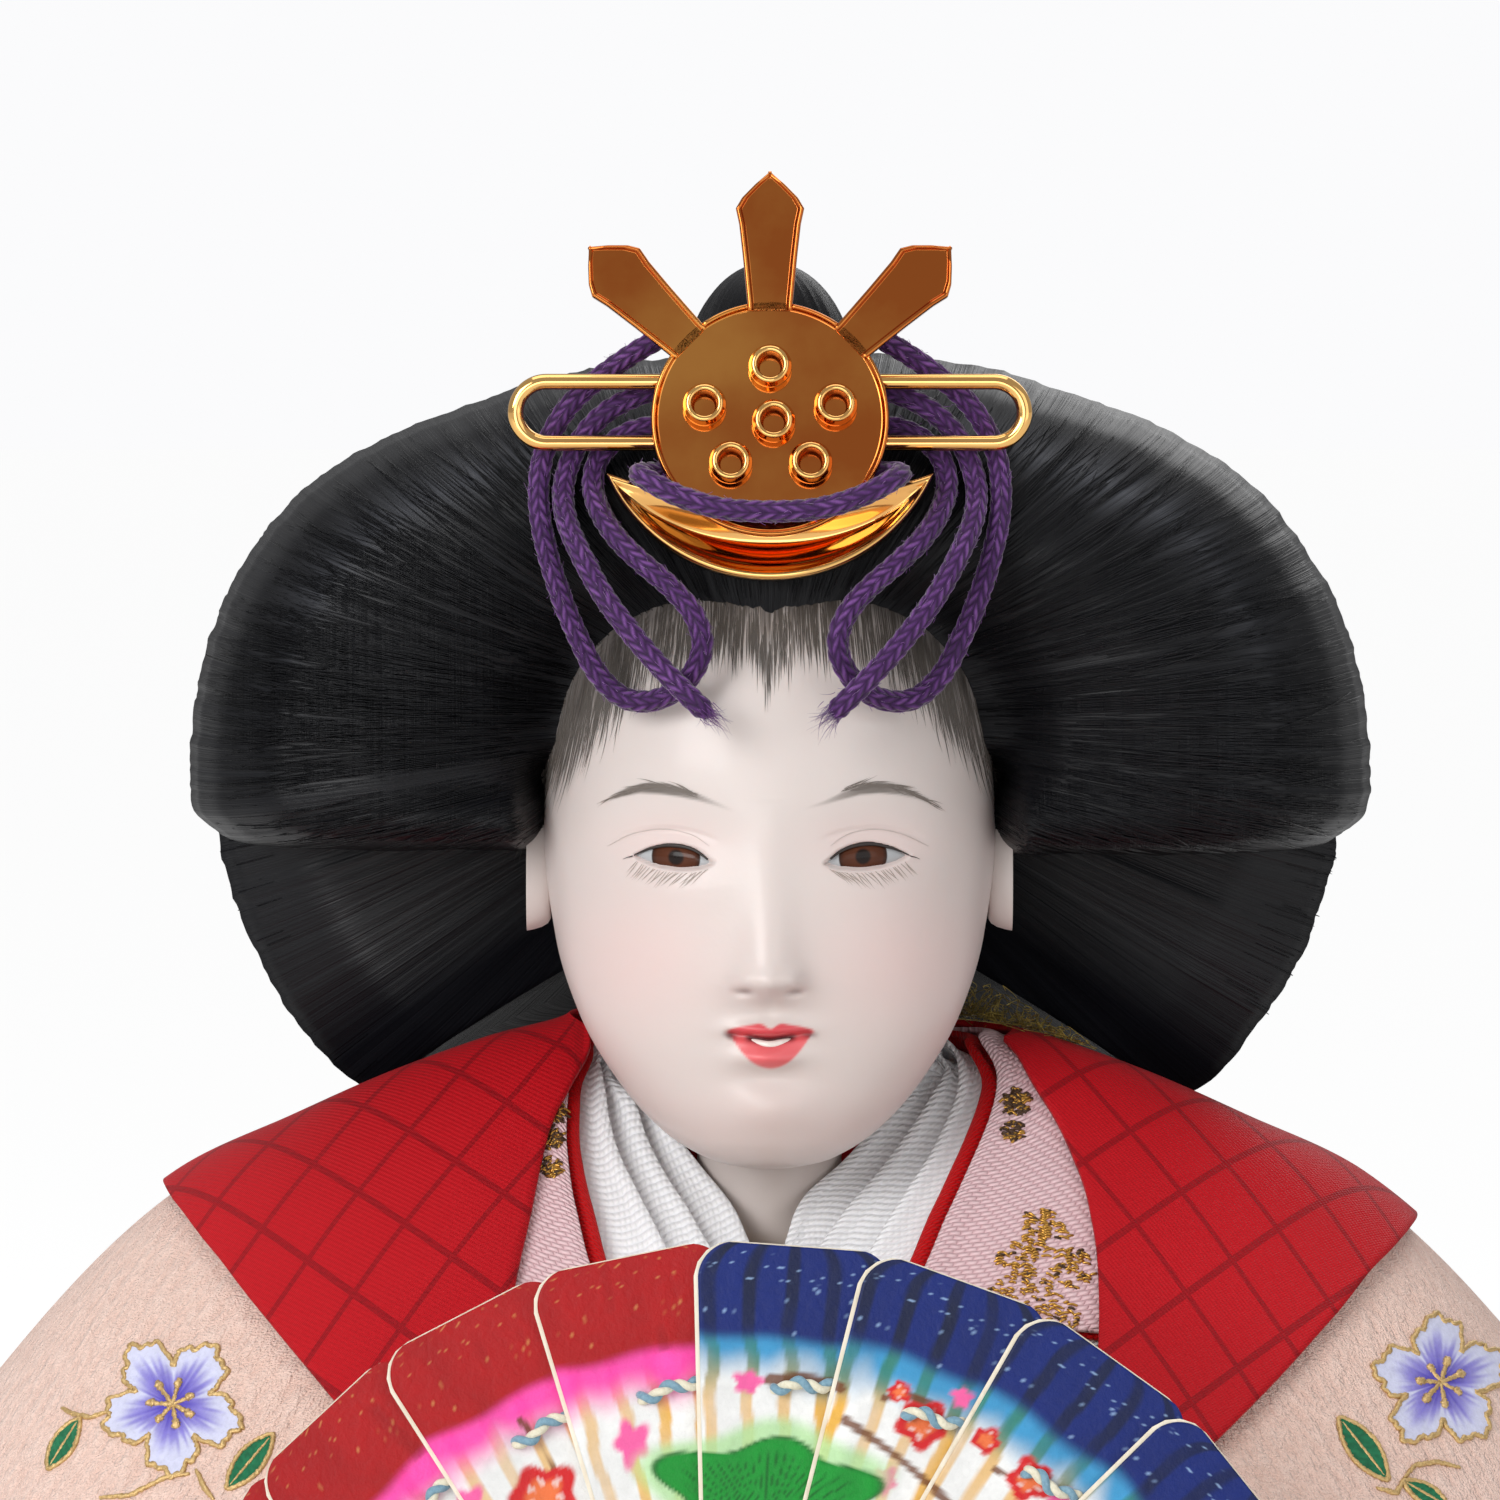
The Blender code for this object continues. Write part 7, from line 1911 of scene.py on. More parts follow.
def makeCollars():
    # five bands round the neck, each over the one before, with the blossoms and the tinsel
    gauze = ribbedFinish()
    red = seedFinish("collar_red", linear(206, 0, 8), linear(176, 0, 5), 0.00046, 0.00009)
    pink = seedFinish("collar_pink", pinkCollar["pink"], pinkCollar["deep"], pinkCollar["seed"], 0.00014)
    rests = ("white_collar_2_cloth", "white_collar_3_cloth", "red_collar_cloth", "pink_collar_cloth",
             "jacket_cloth")
    for name, over, finish in zip(collars, rests, (gauze, gauze, gauze, red, pink)):
        edge = np.array([0, 0.02, 0.05, 0.09, 0.13, 0.18, 0.24])
        across = np.concatenate((edge * 0.5, np.linspace(0.15, 1, 20)))[:, None]
        grid = collarGrid(name, np.linspace(-1, 1, 301)[None] + 0 * across, across)[0]
        clothPiece(f"{name}_cloth", grid, finish, name)
    makeBlossomStitches()
    makeTinsel()
    print("collars made")


def makeTinsel():
    # a wisp of gold thread behind the neck, on the viewer's right shoulder
    finish = mottled("tinsel_gold", linear(150, 128, 52), linear(70, 62, 22), linear(196, 172, 84), 0.4,
                     1800.0, 2.0, metallic=0.6)
    rng = np.random.default_rng(44)
    count = 260
    theta, place = rng.uniform(88, 128, count), rng.uniform(0.005, 0.070, count)
    start, normal = robePoint(theta, place)
    ahead = robePoint(theta - 3, place)[0]
    along = ahead - start
    along /= np.linalg.norm(along, axis=1, keepdims=True)
    s = np.linspace(0, 1, 12)[None, :, None]
    reach = rng.uniform(0.0015, 0.0042, (count, 1, 1))
    side = rng.normal(0, 0.6, (count, 1, 3))
    coil = 0.00045 * np.stack([np.sin(9 * s[..., 0] + theta[:, None]), np.cos(8 * s[..., 0] + theta[:, None]),
                               np.sin(7 * s[..., 0] + 2 * theta[:, None])], -1)
    lines = start[:, None] + reach * s * (along[:, None] * rng.choice([-1, 1], (count, 1, 1)) + side)
    lines = lines + coil * s + normal[:, None] * (0.0002 + 0.0014 * np.sin(math.pi * s) * rng.uniform(
        0.1, 1, (count, 1, 1)))
    lift = np.maximum(0, 0.0002 - ((lines - start[:, None]) * normal[:, None]).sum(-1, keepdims=True))
    lines = lines + normal[:, None] * lift
    # threads that would rub the hair wing as the head turns are left out
    clear = np.hypot(lines[..., 0], lines[..., 1]) < napeReach(lines[..., 2], -0.0005)
    lines = lines[clear.all(axis=1)]
    print("tinsel threads:", len(lines))
    points, quads = hairArrays(lines, np.full(lines.shape[:2], 0.00006))
    piece = makeMesh("tinsel", points, quads, np.zeros((len(points), 2)), finish)
    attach(piece, "figure")


# raised flowers and leaves on the sleeves: printed petals with gold paste outlines

flowers = (
    {"middle": (173, 1405), "size": 69, "turn": 0.35, "side": -1,
     "leaves": ((64, 1444, 30, 58), (250, 1462, 36, 50)),
     "stems": (((108, 1412), (90, 1418), (72, 1414), (62, 1408)), ((196, 1470), (206, 1490), (214, 1500)),
               ((100, 1498), (130, 1496), (165, 1478), (190, 1474)))},
    {"middle": (1440, 1383), "size": 66, "turn": 0.9, "side": 1,
     "leaves": ((1363, 1449, 40, -52), (1425, 1494, 26, -30)),
     "stems": (((1404, 1478), (1414, 1466), (1436, 1462), (1460, 1468)),
               ((1376, 1488), (1396, 1494), (1404, 1478)))},
)
petals = {"heart": linear(84, 72, 178), "middle": linear(132, 124, 202), "edge": linear(204, 206, 230),
          "paste": linear(248, 220, 160), "pasteDeep": linear(160, 112, 40), "leaf": linear(28, 108, 72),
          "ridge": 0.00019}


def sleevePoint(px, py, side, lift):
    # the point of a sleeve that the camera shows at a pixel, found by Newton's steps
    # from the nearest of 60 by 60 samples, then lifted along the normal
    px, py = np.atleast_1d(np.asarray(px, float)), np.atleast_1d(np.asarray(py, float))
    layer = sleeve["layer"] * cloth["step"]
    gridTheta, gridPlace = np.meshgrid(np.linspace(20, 120, 60) * side, np.linspace(0.18, 0.85, 60))
    sample, normal = robePoint(gridTheta, gridPlace, layer)
    sx, sy = photoPixel(sample)
    away = (sx.ravel()[None] - px[:, None]) ** 2 + (sy.ravel()[None] - py[:, None]) ** 2
    away[:, normal[..., 1].ravel() > -0.05] = 1e12
    best = away.argmin(1)
    theta, place = gridTheta.ravel()[best], gridPlace.ravel()[best]
    for _ in range(8):
        def shown(t, p):
            return np.stack(photoPixel(robePoint(t, p, layer)[0]), -1)
        here = shown(theta, place)
        byTheta = (shown(theta + 0.2, place) - here) / 0.2
        byPlace = (shown(theta, place + 0.001) - here) / 0.001
        gap = np.stack([px, py], -1) - here
        size = byTheta[:, 0] * byPlace[:, 1] - byTheta[:, 1] * byPlace[:, 0]
        theta = theta + np.clip((gap[:, 0] * byPlace[:, 1] - gap[:, 1] * byPlace[:, 0]) / size, -4, 4)
        place = place + np.clip((byTheta[:, 0] * gap[:, 1] - byTheta[:, 1] * gap[:, 0]) / size, -0.05, 0.05)
    point, normal = robePoint(theta, place, layer)
    return point + normal * lift


def printFinish(name):
    # printed silk: the point colours with the crepe's grain
    finish, tree, shader = newFinish(name, petals["edge"], 0.65, sheen=0.3)
    tint = pointTint(tree)
    grain = noise(tree, objectPlace(tree), 2600.0, 3.0, 0.7)
    blot = noise(tree, objectPlace(tree), 700.0, 3.0)
    shade = maths(tree, "MULTIPLY_ADD", grain, 0.35, maths(tree, "MULTIPLY_ADD", blot, 0.25, 0.68))
    setColour(tree, shader, mixColour(tree, 1.0, tint, shade, blend="MULTIPLY"))
    bump(tree, shader, grain, 0.00008)
    return finish


def pasteFinish():
    # granular gold paste, glossier at places
    finish, tree, shader = newFinish("gold_paste", petals["paste"], 0.30, metallic=0.6)
    grain = noise(tree, objectPlace(tree), 4200.0, 3.0, 0.7)
    setColour(tree, shader, mixColour(tree, grain, petals["pasteDeep"], petals["paste"]))
    tree.links.new(maths(tree, "MULTIPLY_ADD", grain, 0.35, 0.15), shader.inputs["Roughness"])
    bump(tree, shader, grain, 0.00010)
    return finish


def petalOutline(size, turn):
    # five petals with three small teeth at each tip, in pixels about the flower's middle
    angle = np.linspace(0, 2 * math.pi, 221)
    petal = np.abs(np.cos(2.5 * angle))
    teeth = 0.05 * np.cos(15 * angle + 1.0) + 0.03 * np.cos(35 * angle)
    reach = size * (0.60 + 0.40 * petal**0.9 + teeth)
    return reach * np.cos(angle + turn), reach * np.sin(angle + turn)


def pasteLine(x, y, side, rng, wide=1.0, closed=False):
    # a granular ridge of paste along a line of pixels
    count = max(8, int(np.hypot(np.diff(x), np.diff(y)).sum() / 1.6))
    at = np.concatenate(([0], np.cumsum(np.hypot(np.diff(x), np.diff(y)))))
    even = np.linspace(0, at[-1], count)
    path = sleevePoint(np.interp(even, at, x), np.interp(even, at, y), side, 0.00005)
    radius = petals["ridge"] * wide * (1 + 0.35 * rng.uniform(-1, 1, (count, 10)))
    if not closed:
        radius = radius * np.sin(math.pi * np.linspace(0.06, 0.94, count))[:, None] ** 0.35
    return tubeArrays(path, radius, 10)


def makeFlower(flower, label, printed, paste, rng):
    # printed petals and leaves, laid from pixels onto the sleeve, with raised lines of paste
    (cx, cy), size, side = flower["middle"], flower["size"], flower["side"]
    x, y = petalOutline(size, flower["turn"])
    share = np.linspace(0.02, 1.0, 26)[:, None]
    px, py = cx + x[None, :-1] * share, cy + y[None, :-1] * share
    points = sleevePoint(px.ravel(), py.ravel(), side, 0.00010)
    near = np.clip(share + 0 * px, 0, 1)
    streak = 0.12 * valueNoise(np.arctan2(y[:-1], x[:-1])[None] * 14 + 60, share * 3, 5)
    tone = mixArrays(petals["heart"], petals["middle"], ease((near + streak - 0.12) / 0.38))
    pale = ease((near + streak - 0.42) / 0.42)[..., None]
    tone = tone * (1 - pale) + np.asarray(petals["edge"]) * pale
    count = px.shape[1]
    quads = gridQuads(len(share), count, wrap=True)
    prints = [(points, quads, tone.reshape(-1, 3))]
    lines = [pasteLine(cx + x, cy + y, side, rng, closed=True)]
    for turn in np.linspace(0, 2 * math.pi, 8)[:-1] + 0.5:
        reach = size * 0.30 * rng.uniform(0.85, 1.1)
        lines.append(pasteLine(cx + np.linspace(0, reach, 8) * math.cos(turn),
                               cy + np.linspace(0, reach, 8) * math.sin(turn), side, rng, 1.0))
        tip = np.linspace(-0.07, 0.07, 4) * size
        lines.append(pasteLine(cx + reach * math.cos(turn) + tip * math.cos(turn),
                               cy + reach * math.sin(turn) + tip * math.sin(turn), side, rng, 1.7))
    for lx, ly, long, lean in flower["leaves"]:
        a = math.radians(lean)
        s = np.linspace(0, 1, 26)
        half = long * 0.36 * np.sin(math.pi * s) ** 0.8
        spine = (s - 0.5) * 2 * long
        edgeX = np.concatenate((spine, spine[::-1]))
        edgeY = np.concatenate((half, -half[::-1]))
        ex = lx + edgeX * math.cos(a) + edgeY * math.sin(a)
        ey = ly - edgeX * math.sin(a) + edgeY * math.cos(a)
        lines.append(pasteLine(ex, ey, side, rng, 0.9, closed=True))
        lines.append(pasteLine(lx + spine[2:-2] * math.cos(a), ly - spine[2:-2] * math.sin(a), side, rng, 0.6))
        across = np.linspace(1, -1, 9)[:, None]
        gx = lx + spine[None] * math.cos(a) + across * half[None] * math.sin(a)
        gy = ly - spine[None] * math.sin(a) + across * half[None] * math.cos(a)
        leafPoints = sleevePoint(gx.ravel(), gy.ravel(), side, 0.00009)
        green = np.tile(petals["leaf"], (len(leafPoints), 1)) * rng.uniform(0.7, 1.25, (len(leafPoints), 1))
        prints.append((leafPoints, gridQuads(9, 26), green))
    for stem in flower["stems"]:
        sx, sy = np.array(stem, float).T
        t = np.linspace(0, len(sx) - 1, 20)
        lines.append(pasteLine(np.interp(t, range(len(sx)), sx), np.interp(t, range(len(sy)), sy), side, rng))
    points, quads, tint = joinParts(prints)
    flat = makeMesh(f"sleeve_print_{label}", points, outwardQuads(points, quads), None, printed, tint)
    points, quads, uv = joinParts(lines)
    raised = makeMesh(f"sleeve_gold_{label}", points, quads, uv, paste)
    for piece in (flat, raised):
        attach(piece, "figure")


def outwardQuads(points, quads):
    # turn round the faces that look backwards, for pieces on the front of the doll
    a, b, c = points[quads[:, 0]], points[quads[:, 1]], points[quads[:, 2]]
    facing = np.cross(b - a, c - a)[:, 1]
    quads = quads.copy()
    quads[facing > 0] = quads[facing > 0][:, ::-1]
    return quads


def makeEmbroidery():
    # one flower on each sleeve
    printed, paste = printFinish("sleeve_print"), pasteFinish()
    rng = np.random.default_rng(77)
    for flower, label in zip(flowers, ("left", "right")):
        makeFlower(flower, label, printed, paste, rng)
    print("embroidery made")


# the painted cypress fan, its binding thread, the hands and the padding inside

fan = {"pivot": (-0.0014, -0.0580, 0.0985), "radius": 0.0412, "tail": 0.0042, "pitch": 15.7, "turn": -3.7,
       "top": 0.0065, "root": 0.0026, "stack": 0.00075, "thick": 0.0004, "lift": 0.00004, "paper": 0.00009,
       "tilt": 8.0, "border": 0.00028, "sew": 0.775}
fanPaint = {"white": linear(232, 232, 230), "ochre": linear(222, 170, 74), "red": linear(164, 10, 14),
            "pink": linear(246, 52, 165), "blue": linear(12, 34, 106), "navy": linear(14, 22, 44),
            "cyan": linear(18, 138, 190), "teal": linear(50, 120, 80), "card": linear(236, 226, 206),
            "pine": linear(16, 140, 46), "pineDeep": linear(6, 80, 26), "halo": linear(170, 214, 150),
            "brown": linear(112, 62, 30), "plum": linear(206, 30, 34), "orange": linear(240, 130, 70),
            "rose": linear(238, 96, 160), "fleck": linear(236, 190, 110), "speck": linear(150, 180, 220)}


def fanPoint(points):
    # from the fan's own frame (x right, y up the fan, z to the viewer) to the doll's
    lean = math.radians(90 - fan["tilt"])
    points = np.asarray(points, float)
    y, z = points[..., 1], points[..., 2]
    return np.stack([points[..., 0], y * math.cos(lean) - z * math.sin(lean),
                     y * math.sin(lean) + z * math.cos(lean)], -1) + np.array(fan["pivot"])


def bladeTurn(points, number):
    # turns points of one blade about the rivet to the blade's place in the open fan
    turn = math.radians(fan["turn"] + fan["pitch"] * (number - 3.5))
    x, y = points[..., 0], points[..., 1]
    z = points[..., 2] + fan["stack"] * (number - 3.5)
    return np.stack([x * math.cos(turn) + y * math.sin(turn), y * math.cos(turn) - x * math.sin(turn), z], -1)


def bladeHalf(y):
    # half width of a blade at a height: straight taper, then a rounded corner
    corner = fan["top"] * 0.38
    straight = fan["root"] + (fan["top"] - fan["root"]) * np.clip(
        (y + fan["tail"] * 0.4) / (fan["radius"] - corner + fan["tail"] * 0.4), 0, 1)
    drop = np.clip((y - (fan["radius"] - corner)) / corner, 0, 1)
    return straight - corner * (1 - np.sqrt(1 - drop**2))


def blob(px, py, cx, cy, wide, tall, wobble=0.18, seed=0.0):
    # how far inside a soft-edged painted spot each pixel lies: 1 at its middle, 0 at its rim
    turn = np.arctan2((py - cy) / tall, (px - cx) / wide)
    rim = 1 + wobble * np.cos(5 * turn + seed) + 0.5 * wobble * np.cos(3 * turn + 2 * seed)
    return 1 - np.hypot((px - cx) / wide, (py - cy) / tall) / rim


def strokeNear(px, py, x0, y0, x1, y1, bend=0.0):
    # distance in pixels from a painted stroke between two pixels
    along = np.clip(((px - x0) * (x1 - x0) + (py - y0) * (y1 - y0)) / ((x1 - x0)**2 + (y1 - y0)**2), 0, 1)
    swell = bend * np.sin(math.pi * along)
    return np.hypot(px - x0 - along * (x1 - x0), py - y0 - along * (y1 - y0) - swell)


def fanColours(x, y, px, py, number):
    # layers of paint on one blade, from its own place (x, y) and the place in the whole picture
    share, half = y / fan["radius"], x / np.maximum(bladeHalf(y), 1e-6)
    wave = valueNoise(y * 420 + 9 * number, x * 90 + 5, 31 + number) - 0.5
    tint = np.tile(fanPaint["white"], x.shape + (1,))
    wash = valueNoise(x * 700 + 40, y * 260 + 9 * number, 12)

    def paint(colour, amount):
        amount = np.clip(amount, 0, 1)[..., None]
        return tint * (1 - amount) + np.asarray(colour) * amount

    line = half * 2.35 + 0.11 * wave + 0.13 * number
    stripe = ease((0.5 - np.abs((line % 1.0) - 0.5) - 0.30) / 0.07)
    stripe = stripe * (0.85 + 0.3 * wash)
    tint = paint(fanPaint["ochre"], stripe * 0.9)
    edge = share + 0.005 * (wave + 0.5) + 0.004 * np.cos(half * 5 + number)
    if number < 4:
        tint = paint(fanPaint["pink"], ease((edge - 0.745 + 0.02 * wash) / 0.075) * 0.95)
        tint = paint(fanPaint["red"], ease((edge - 0.832) / 0.022))
        fleck = ease((valueNoise(x * 9000, y * 9000, 3) - 0.80) / 0.10) * (edge > 0.87)
        tint = paint(fanPaint["fleck"], 0.35 * fleck)
        tint = paint(np.asarray(fanPaint["red"]) * 0.5, 0.45 * (edge > 0.84) * ease((wash - 0.45) / 0.5))
    else:
        tint = paint(fanPaint["cyan"], ease((edge - 0.765 + 0.02 * wash) / 0.07) * 0.95)
        tint = paint(fanPaint["teal"], stripe * ease((edge - 0.745) / 0.06) * 0.75)
        tint = paint(fanPaint["blue"], ease((edge - 0.835) / 0.03))
        tint = paint(fanPaint["navy"], stripe * ease((edge - 0.845) / 0.03) * 0.85)
        fleck = ease((valueNoise(x * 9500, y * 9500, 4) - 0.80) / 0.08) * (edge > 0.86)
        tint = paint(fanPaint["speck"], 0.75 * fleck)
    below = 1 - ease((edge - 0.84) / 0.02)
    for cx, cy, wide, tall in ((632, 1443, 20, 26), (748, 1382, 17, 13), (884, 1480, 15, 15),
                               (470, 1508, 20, 24), (962, 1398, 12, 12), (1060, 1500, 14, 14)):
        tint = paint(fanPaint["rose"], below * ease(blob(px, py, cx, cy, wide, tall, 0.2, cx) / 0.35))
    for x0, y0, x1, y1, wide in ((845, 1420, 952, 1506, 6), (770, 1380, 840, 1388, 7),
                                 (884, 1398, 930, 1404, 5), (520, 1420, 560, 1480, 5),
                                 (995, 1470, 1020, 1490, 5)):
        inside = ease((wide - strokeNear(px, py, x0, y0, x1, y1, -5)) / 2.5)
        tint = paint(fanPaint["brown"], below * inside * 0.9)
    for cx, cy, size in ((922, 1424, 27), (545, 1496, 36), (1030, 1480, 24), (986, 1440, 15),
                         (900, 1392, 12)):
        inside = blob(px, py, cx, cy, size, size * 0.95, 0.14, cx * 0.1)
        tint = paint(fanPaint["plum"], below * ease(inside / 0.16))
        tint = paint(fanPaint["orange"], below * ease((inside - 0.38) / 0.25) * 0.75)
        dots = ease((0.16 - np.abs(inside - 0.55)) / 0.08) * (np.cos(
            7 * np.arctan2(py - cy, px - cx)) > 0.35)
        tint = paint(fanPaint["white"], below * dots * 0.55)
    halo = blob(px, py, 763, 1490, 132, 76, 0.10, 1.0)
    tint = paint(fanPaint["halo"], below * ease(halo / 0.22) * 0.85)
    pine = blob(px, py, 763, 1494, 104, 56, 0.16, 0.6)
    tint = paint(fanPaint["pine"], ease(pine / 0.07))
    vein = np.abs(((np.arctan2(py - 1530, px - 763) * 9) % 1.0) - 0.5)
    tint = paint(fanPaint["pineDeep"], ease((pine - 0.2) / 0.2) * ease((0.16 - vein) / 0.08) * 0.8)
    tint = paint(fanPaint["pineDeep"], ease(pine / 0.05) * ease((0.10 - pine) / 0.05) * 0.7)
    return np.clip(tint * (0.93 + 0.10 * wash[..., None]), 0, 1)


def paperFinish():
    # lacquered paint on thin paper: the painted colours, brush grain and a soft gloss
    finish, tree, shader = newFinish("fan_paint", fanPaint["white"], 0.5, coat=0.04)
    tint = pointTint(tree)
    grain = noise(tree, objectPlace(tree, (1, 1, 1)), 1500.0, 4.0, 0.65)
    setColour(tree, shader, mixColour(tree, 1.0, tint, maths(tree, "MULTIPLY_ADD", grain, 0.26, 0.84),
                                      blend="MULTIPLY"))
    tree.links.new(maths(tree, "MULTIPLY_ADD", grain, 0.35, 0.30), shader.inputs["Roughness"])
    shader.inputs["Specular IOR Level"].default_value = 0.22
    bump(tree, shader, grain, 0.00010)
    return finish


def bladeBody(number):
    # the moving body that a blade, its paint and its stitch belong to
    return "fan_foot" if number == 4 else f"leaf_{number + 1}"


def makeFan():
    # the paint on the eight cards, each a thin sheet on its blade, and the threads between them
    paper = paperFinish()
    card = mottled("fan_card", fanPaint["card"], linear(206, 190, 160), linear(246, 240, 226), 0.7, 1400.0,
                   4.0, 0.6, (1, 1, 0.25), 0.00008)
    cream, blue = (mottled(f"fan_thread_{name}", colour, deep, colour, 0.6, 3800.0, 3.0, 0.6, depth=0.00008,
                           sheen=0.3)
                   for name, colour, deep in (("cream", linear(240, 236, 216), linear(196, 188, 160)),
                                              ("blue", linear(150, 182, 196), linear(76, 118, 142))))
    refinish("fan_rivet", mottled("fan_rivet_brass", linear(200, 160, 84), linear(150, 112, 50),
                                  linear(214, 178, 104), 0.3, 1800.0, metallic=0.9))
    front = fan["thick"] / 2 + fan["lift"] + fan["paper"]
    rise = np.concatenate((np.linspace(0.0036, 0.0385, 150), np.linspace(
        0.0386, fan["radius"] - 0.00008, 22)))
    across = np.linspace(-1, 1, 58)
    for number in range(8):
        refinish(f"fan_blade_{number + 1}", card)
        y = rise[:, None] + 0 * across[None]
        # the card's cut edge stays bare on the left, where the next blade doesn't cover it
        half = bladeHalf(y)
        left, right = half - fan["border"], half - 0.00004
        x = np.where(across[None] < 0, across[None] * left, across[None] * right)
        own = np.stack([x, y, np.full(x.shape, front)], -1)
        points = fanPoint(bladeTurn(own, number))
        px, py = photoPixel(points)
        tint = fanColours(x, y, px, py, number)
        quads = gridQuads(len(rise), len(across))
        sheet = makeMesh(f"fan_paint_{number + 1}", points.reshape(-1, 3), outwardQuads(
            points.reshape(-1, 3), quads), None, paper, tint.reshape(-1, 3))
        thicken(sheet, fan["paper"])
        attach(sheet, bladeBody(number))
        if number < 7:
            makeStitch(number, cream, blue)
    print("fan made")


def makeStitch(number, cream, blue):
    # two twisted plies that come out of one hole of a blade and go back in at its neighbour's edge
    y = fan["sew"] * fan["radius"]
    turn = math.radians(fan["pitch"])
    nextEdge = -bladeHalf(np.array(y)) * math.cos(turn) + y * math.sin(turn)
    start, end = float(nextEdge) - 0.0038, float(nextEdge) - 0.00005
    s = np.linspace(0, 1, 46)
    top = fan["thick"] / 2 + 0.00038
    arch = np.sin(math.pi * s)
    path = np.stack([start + (end - start) * s, y + 0.0002 * np.sin(9 * s + number) + 0.0004 * s,
                     top + 0.00034 * arch**0.4 - 0.00030 * (1 - arch**0.3)], -1)
    for phase, finish, label in ((0.0, cream, "cream"), (math.pi, blue, "blue")):
        wind = 13.0 * s + phase + number
        ply = path + 0.00020 * np.stack([0 * s, np.cos(wind), np.sin(wind)], -1)
        points, quads, uv = tubeArrays(fanPoint(bladeTurn(ply, number)), np.full(len(s), 0.00027), 10)
        piece = makeMesh(f"fan_stitch_{number + 1}_{label}", points, quads, uv, finish)
        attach(piece, bladeBody(number))
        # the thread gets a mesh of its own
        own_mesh(piece)


def ballArrays(middle, size):
    # an ellipsoid as rings from pole to pole, and the triangles round its poles
    rows, columns = 20, 28
    a = np.linspace(0, math.pi, rows + 2)[1:-1, None]
    b = np.linspace(0, 2 * math.pi, columns, endpoint=False)[None]
    ring = np.stack([np.sin(a) * np.cos(b), np.sin(a) * np.sin(b), np.cos(a) + 0 * b], -1)
    points = (np.asarray(middle) + ring * np.asarray(size)).reshape(-1, 3)
    pole = np.array([[0, 0, size[2]]])
    points = np.vstack((points, np.asarray(middle) + pole, np.asarray(middle) - pole))
    quads = gridQuads(rows, columns, wrap=True)[:, ::-1]
    top, last = len(points) - 2, (rows - 1) * columns
    k = np.arange(columns)
    n = (k + 1) % columns
    high = np.stack([np.full(columns, top), k, n, n], -1)
    low = np.stack([np.full(columns, top + 1), last + n, last + k, last + k], -1)
    return points, np.vstack([quads, high, low])


hand = {"finger": 0.0010, "first": 0.0017, "offset": 0.0050, "drop": 0.0006, "back": 0.0008, "cup": 0.0030,
        "palm": (0.0041, 0.0023, 0.0043), "wrist": 0.0022, "wristEnd": (0.0130, -0.0420, 0.0885)}


def makeHands():
    # fingers run from behind the fan's foot, under it and up in front, about a rounded palm
    finish = mottled("hand_shell", linear(232, 224, 220), linear(222, 211, 206), linear(238, 231, 227), 0.45,
                     900.0, depth=0.00002)
    clear = fan["stack"] * 3.5 + fan["thick"] / 2 + 0.0007 + 2 * 0.00032
    back, lower = clear + hand["finger"], fan["tail"] * 1.25 + hand["finger"]
    for side, label in bothSides:
        parts = []
        for number in range(4):
            x = side * (hand["first"] + hand["finger"] * 1.75 * number)
            tip = hand["finger"] * (5.5 - 0.8 * number)
            grip, lean = back * (1 + 0.02 * number), hand["cup"] * 0.06 * number
            a = np.linspace(math.pi, 2 * math.pi, 9)
            turn = np.stack([x + side * lean * np.sin(a), -lower + (hand["cup"] + lean) * np.sin(a),
                             grip * np.cos(a)], -1)
            route = np.vstack(([[x, -lower + tip, -grip]], turn,
                               [[x - side * lean, -lower + tip * 0.7, grip]]))
            path = splinePoints(fanPoint(route), 60)
            t = np.linspace(0, 1, len(path))
            thick = hand["finger"] * (0.98 + 0.16 * np.sin(math.pi * t)) * np.clip(
                1 - ((0.5 - np.minimum(t, 1 - t)) / 0.5) ** 14, 0.05, 1) ** 0.5
            parts.append(tubeArrays(path, thick, 16))
        middle = fanPoint(np.array([side * hand["offset"], -lower - hand["drop"], -back - hand["back"]]))
        end = np.array(hand["wristEnd"]) * (side, 1, 1)
        s = np.linspace(0, 0.985, 14)[:, None]
        parts.append(tubeArrays(middle + (end - middle) * s, hand["wrist"] * (1 + 0.15 * s[:, 0]), 20))
        points, quads, uv = joinParts(parts)
        ball, faces = ballArrays(middle, hand["palm"])
        piece = makeMesh(f"hand_{label}_shell", np.vstack((points, ball)), np.vstack((quads, faces + len(points))),
                         None, finish)
        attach(piece, "figure")
        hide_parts(f"hand_{label}")
    print("hands made")


stuffing = {"lapPlace": 0.80, "lapHalf": 0.12, "lapTurn": 52.0, "lapThick": 0.0060,
            "armRadius": 0.0048, "armWall": 0.0034,
            "arm": ((0.2627, 0.0549, 0.8167), (0.3263, 0.0183, 0.7900), (0.3771, -0.0732, 0.7333),
                    (0.3559, -0.2073, 0.6700), (0.2797, -0.3110, 0.6167), (0.1992, -0.3841, 0.5867)),
            "forearm": (0.0172, -0.0365, 0.0874), "wrist": (0.0130, -0.0420, 0.0885)}


def looseFinish(name, low, high, scale, stretch=(1, 1, 1)):
    # a rough, fibrous finish
    return mottled(name, high, low, high, 0.9, scale, 4.0, 0.65, stretch, 0.0004, sheen=0.3)


def blunt(value):
    # turns a circle's sine and cosine into those of a rounded square
    return np.sign(value) * np.abs(value) ** 0.6


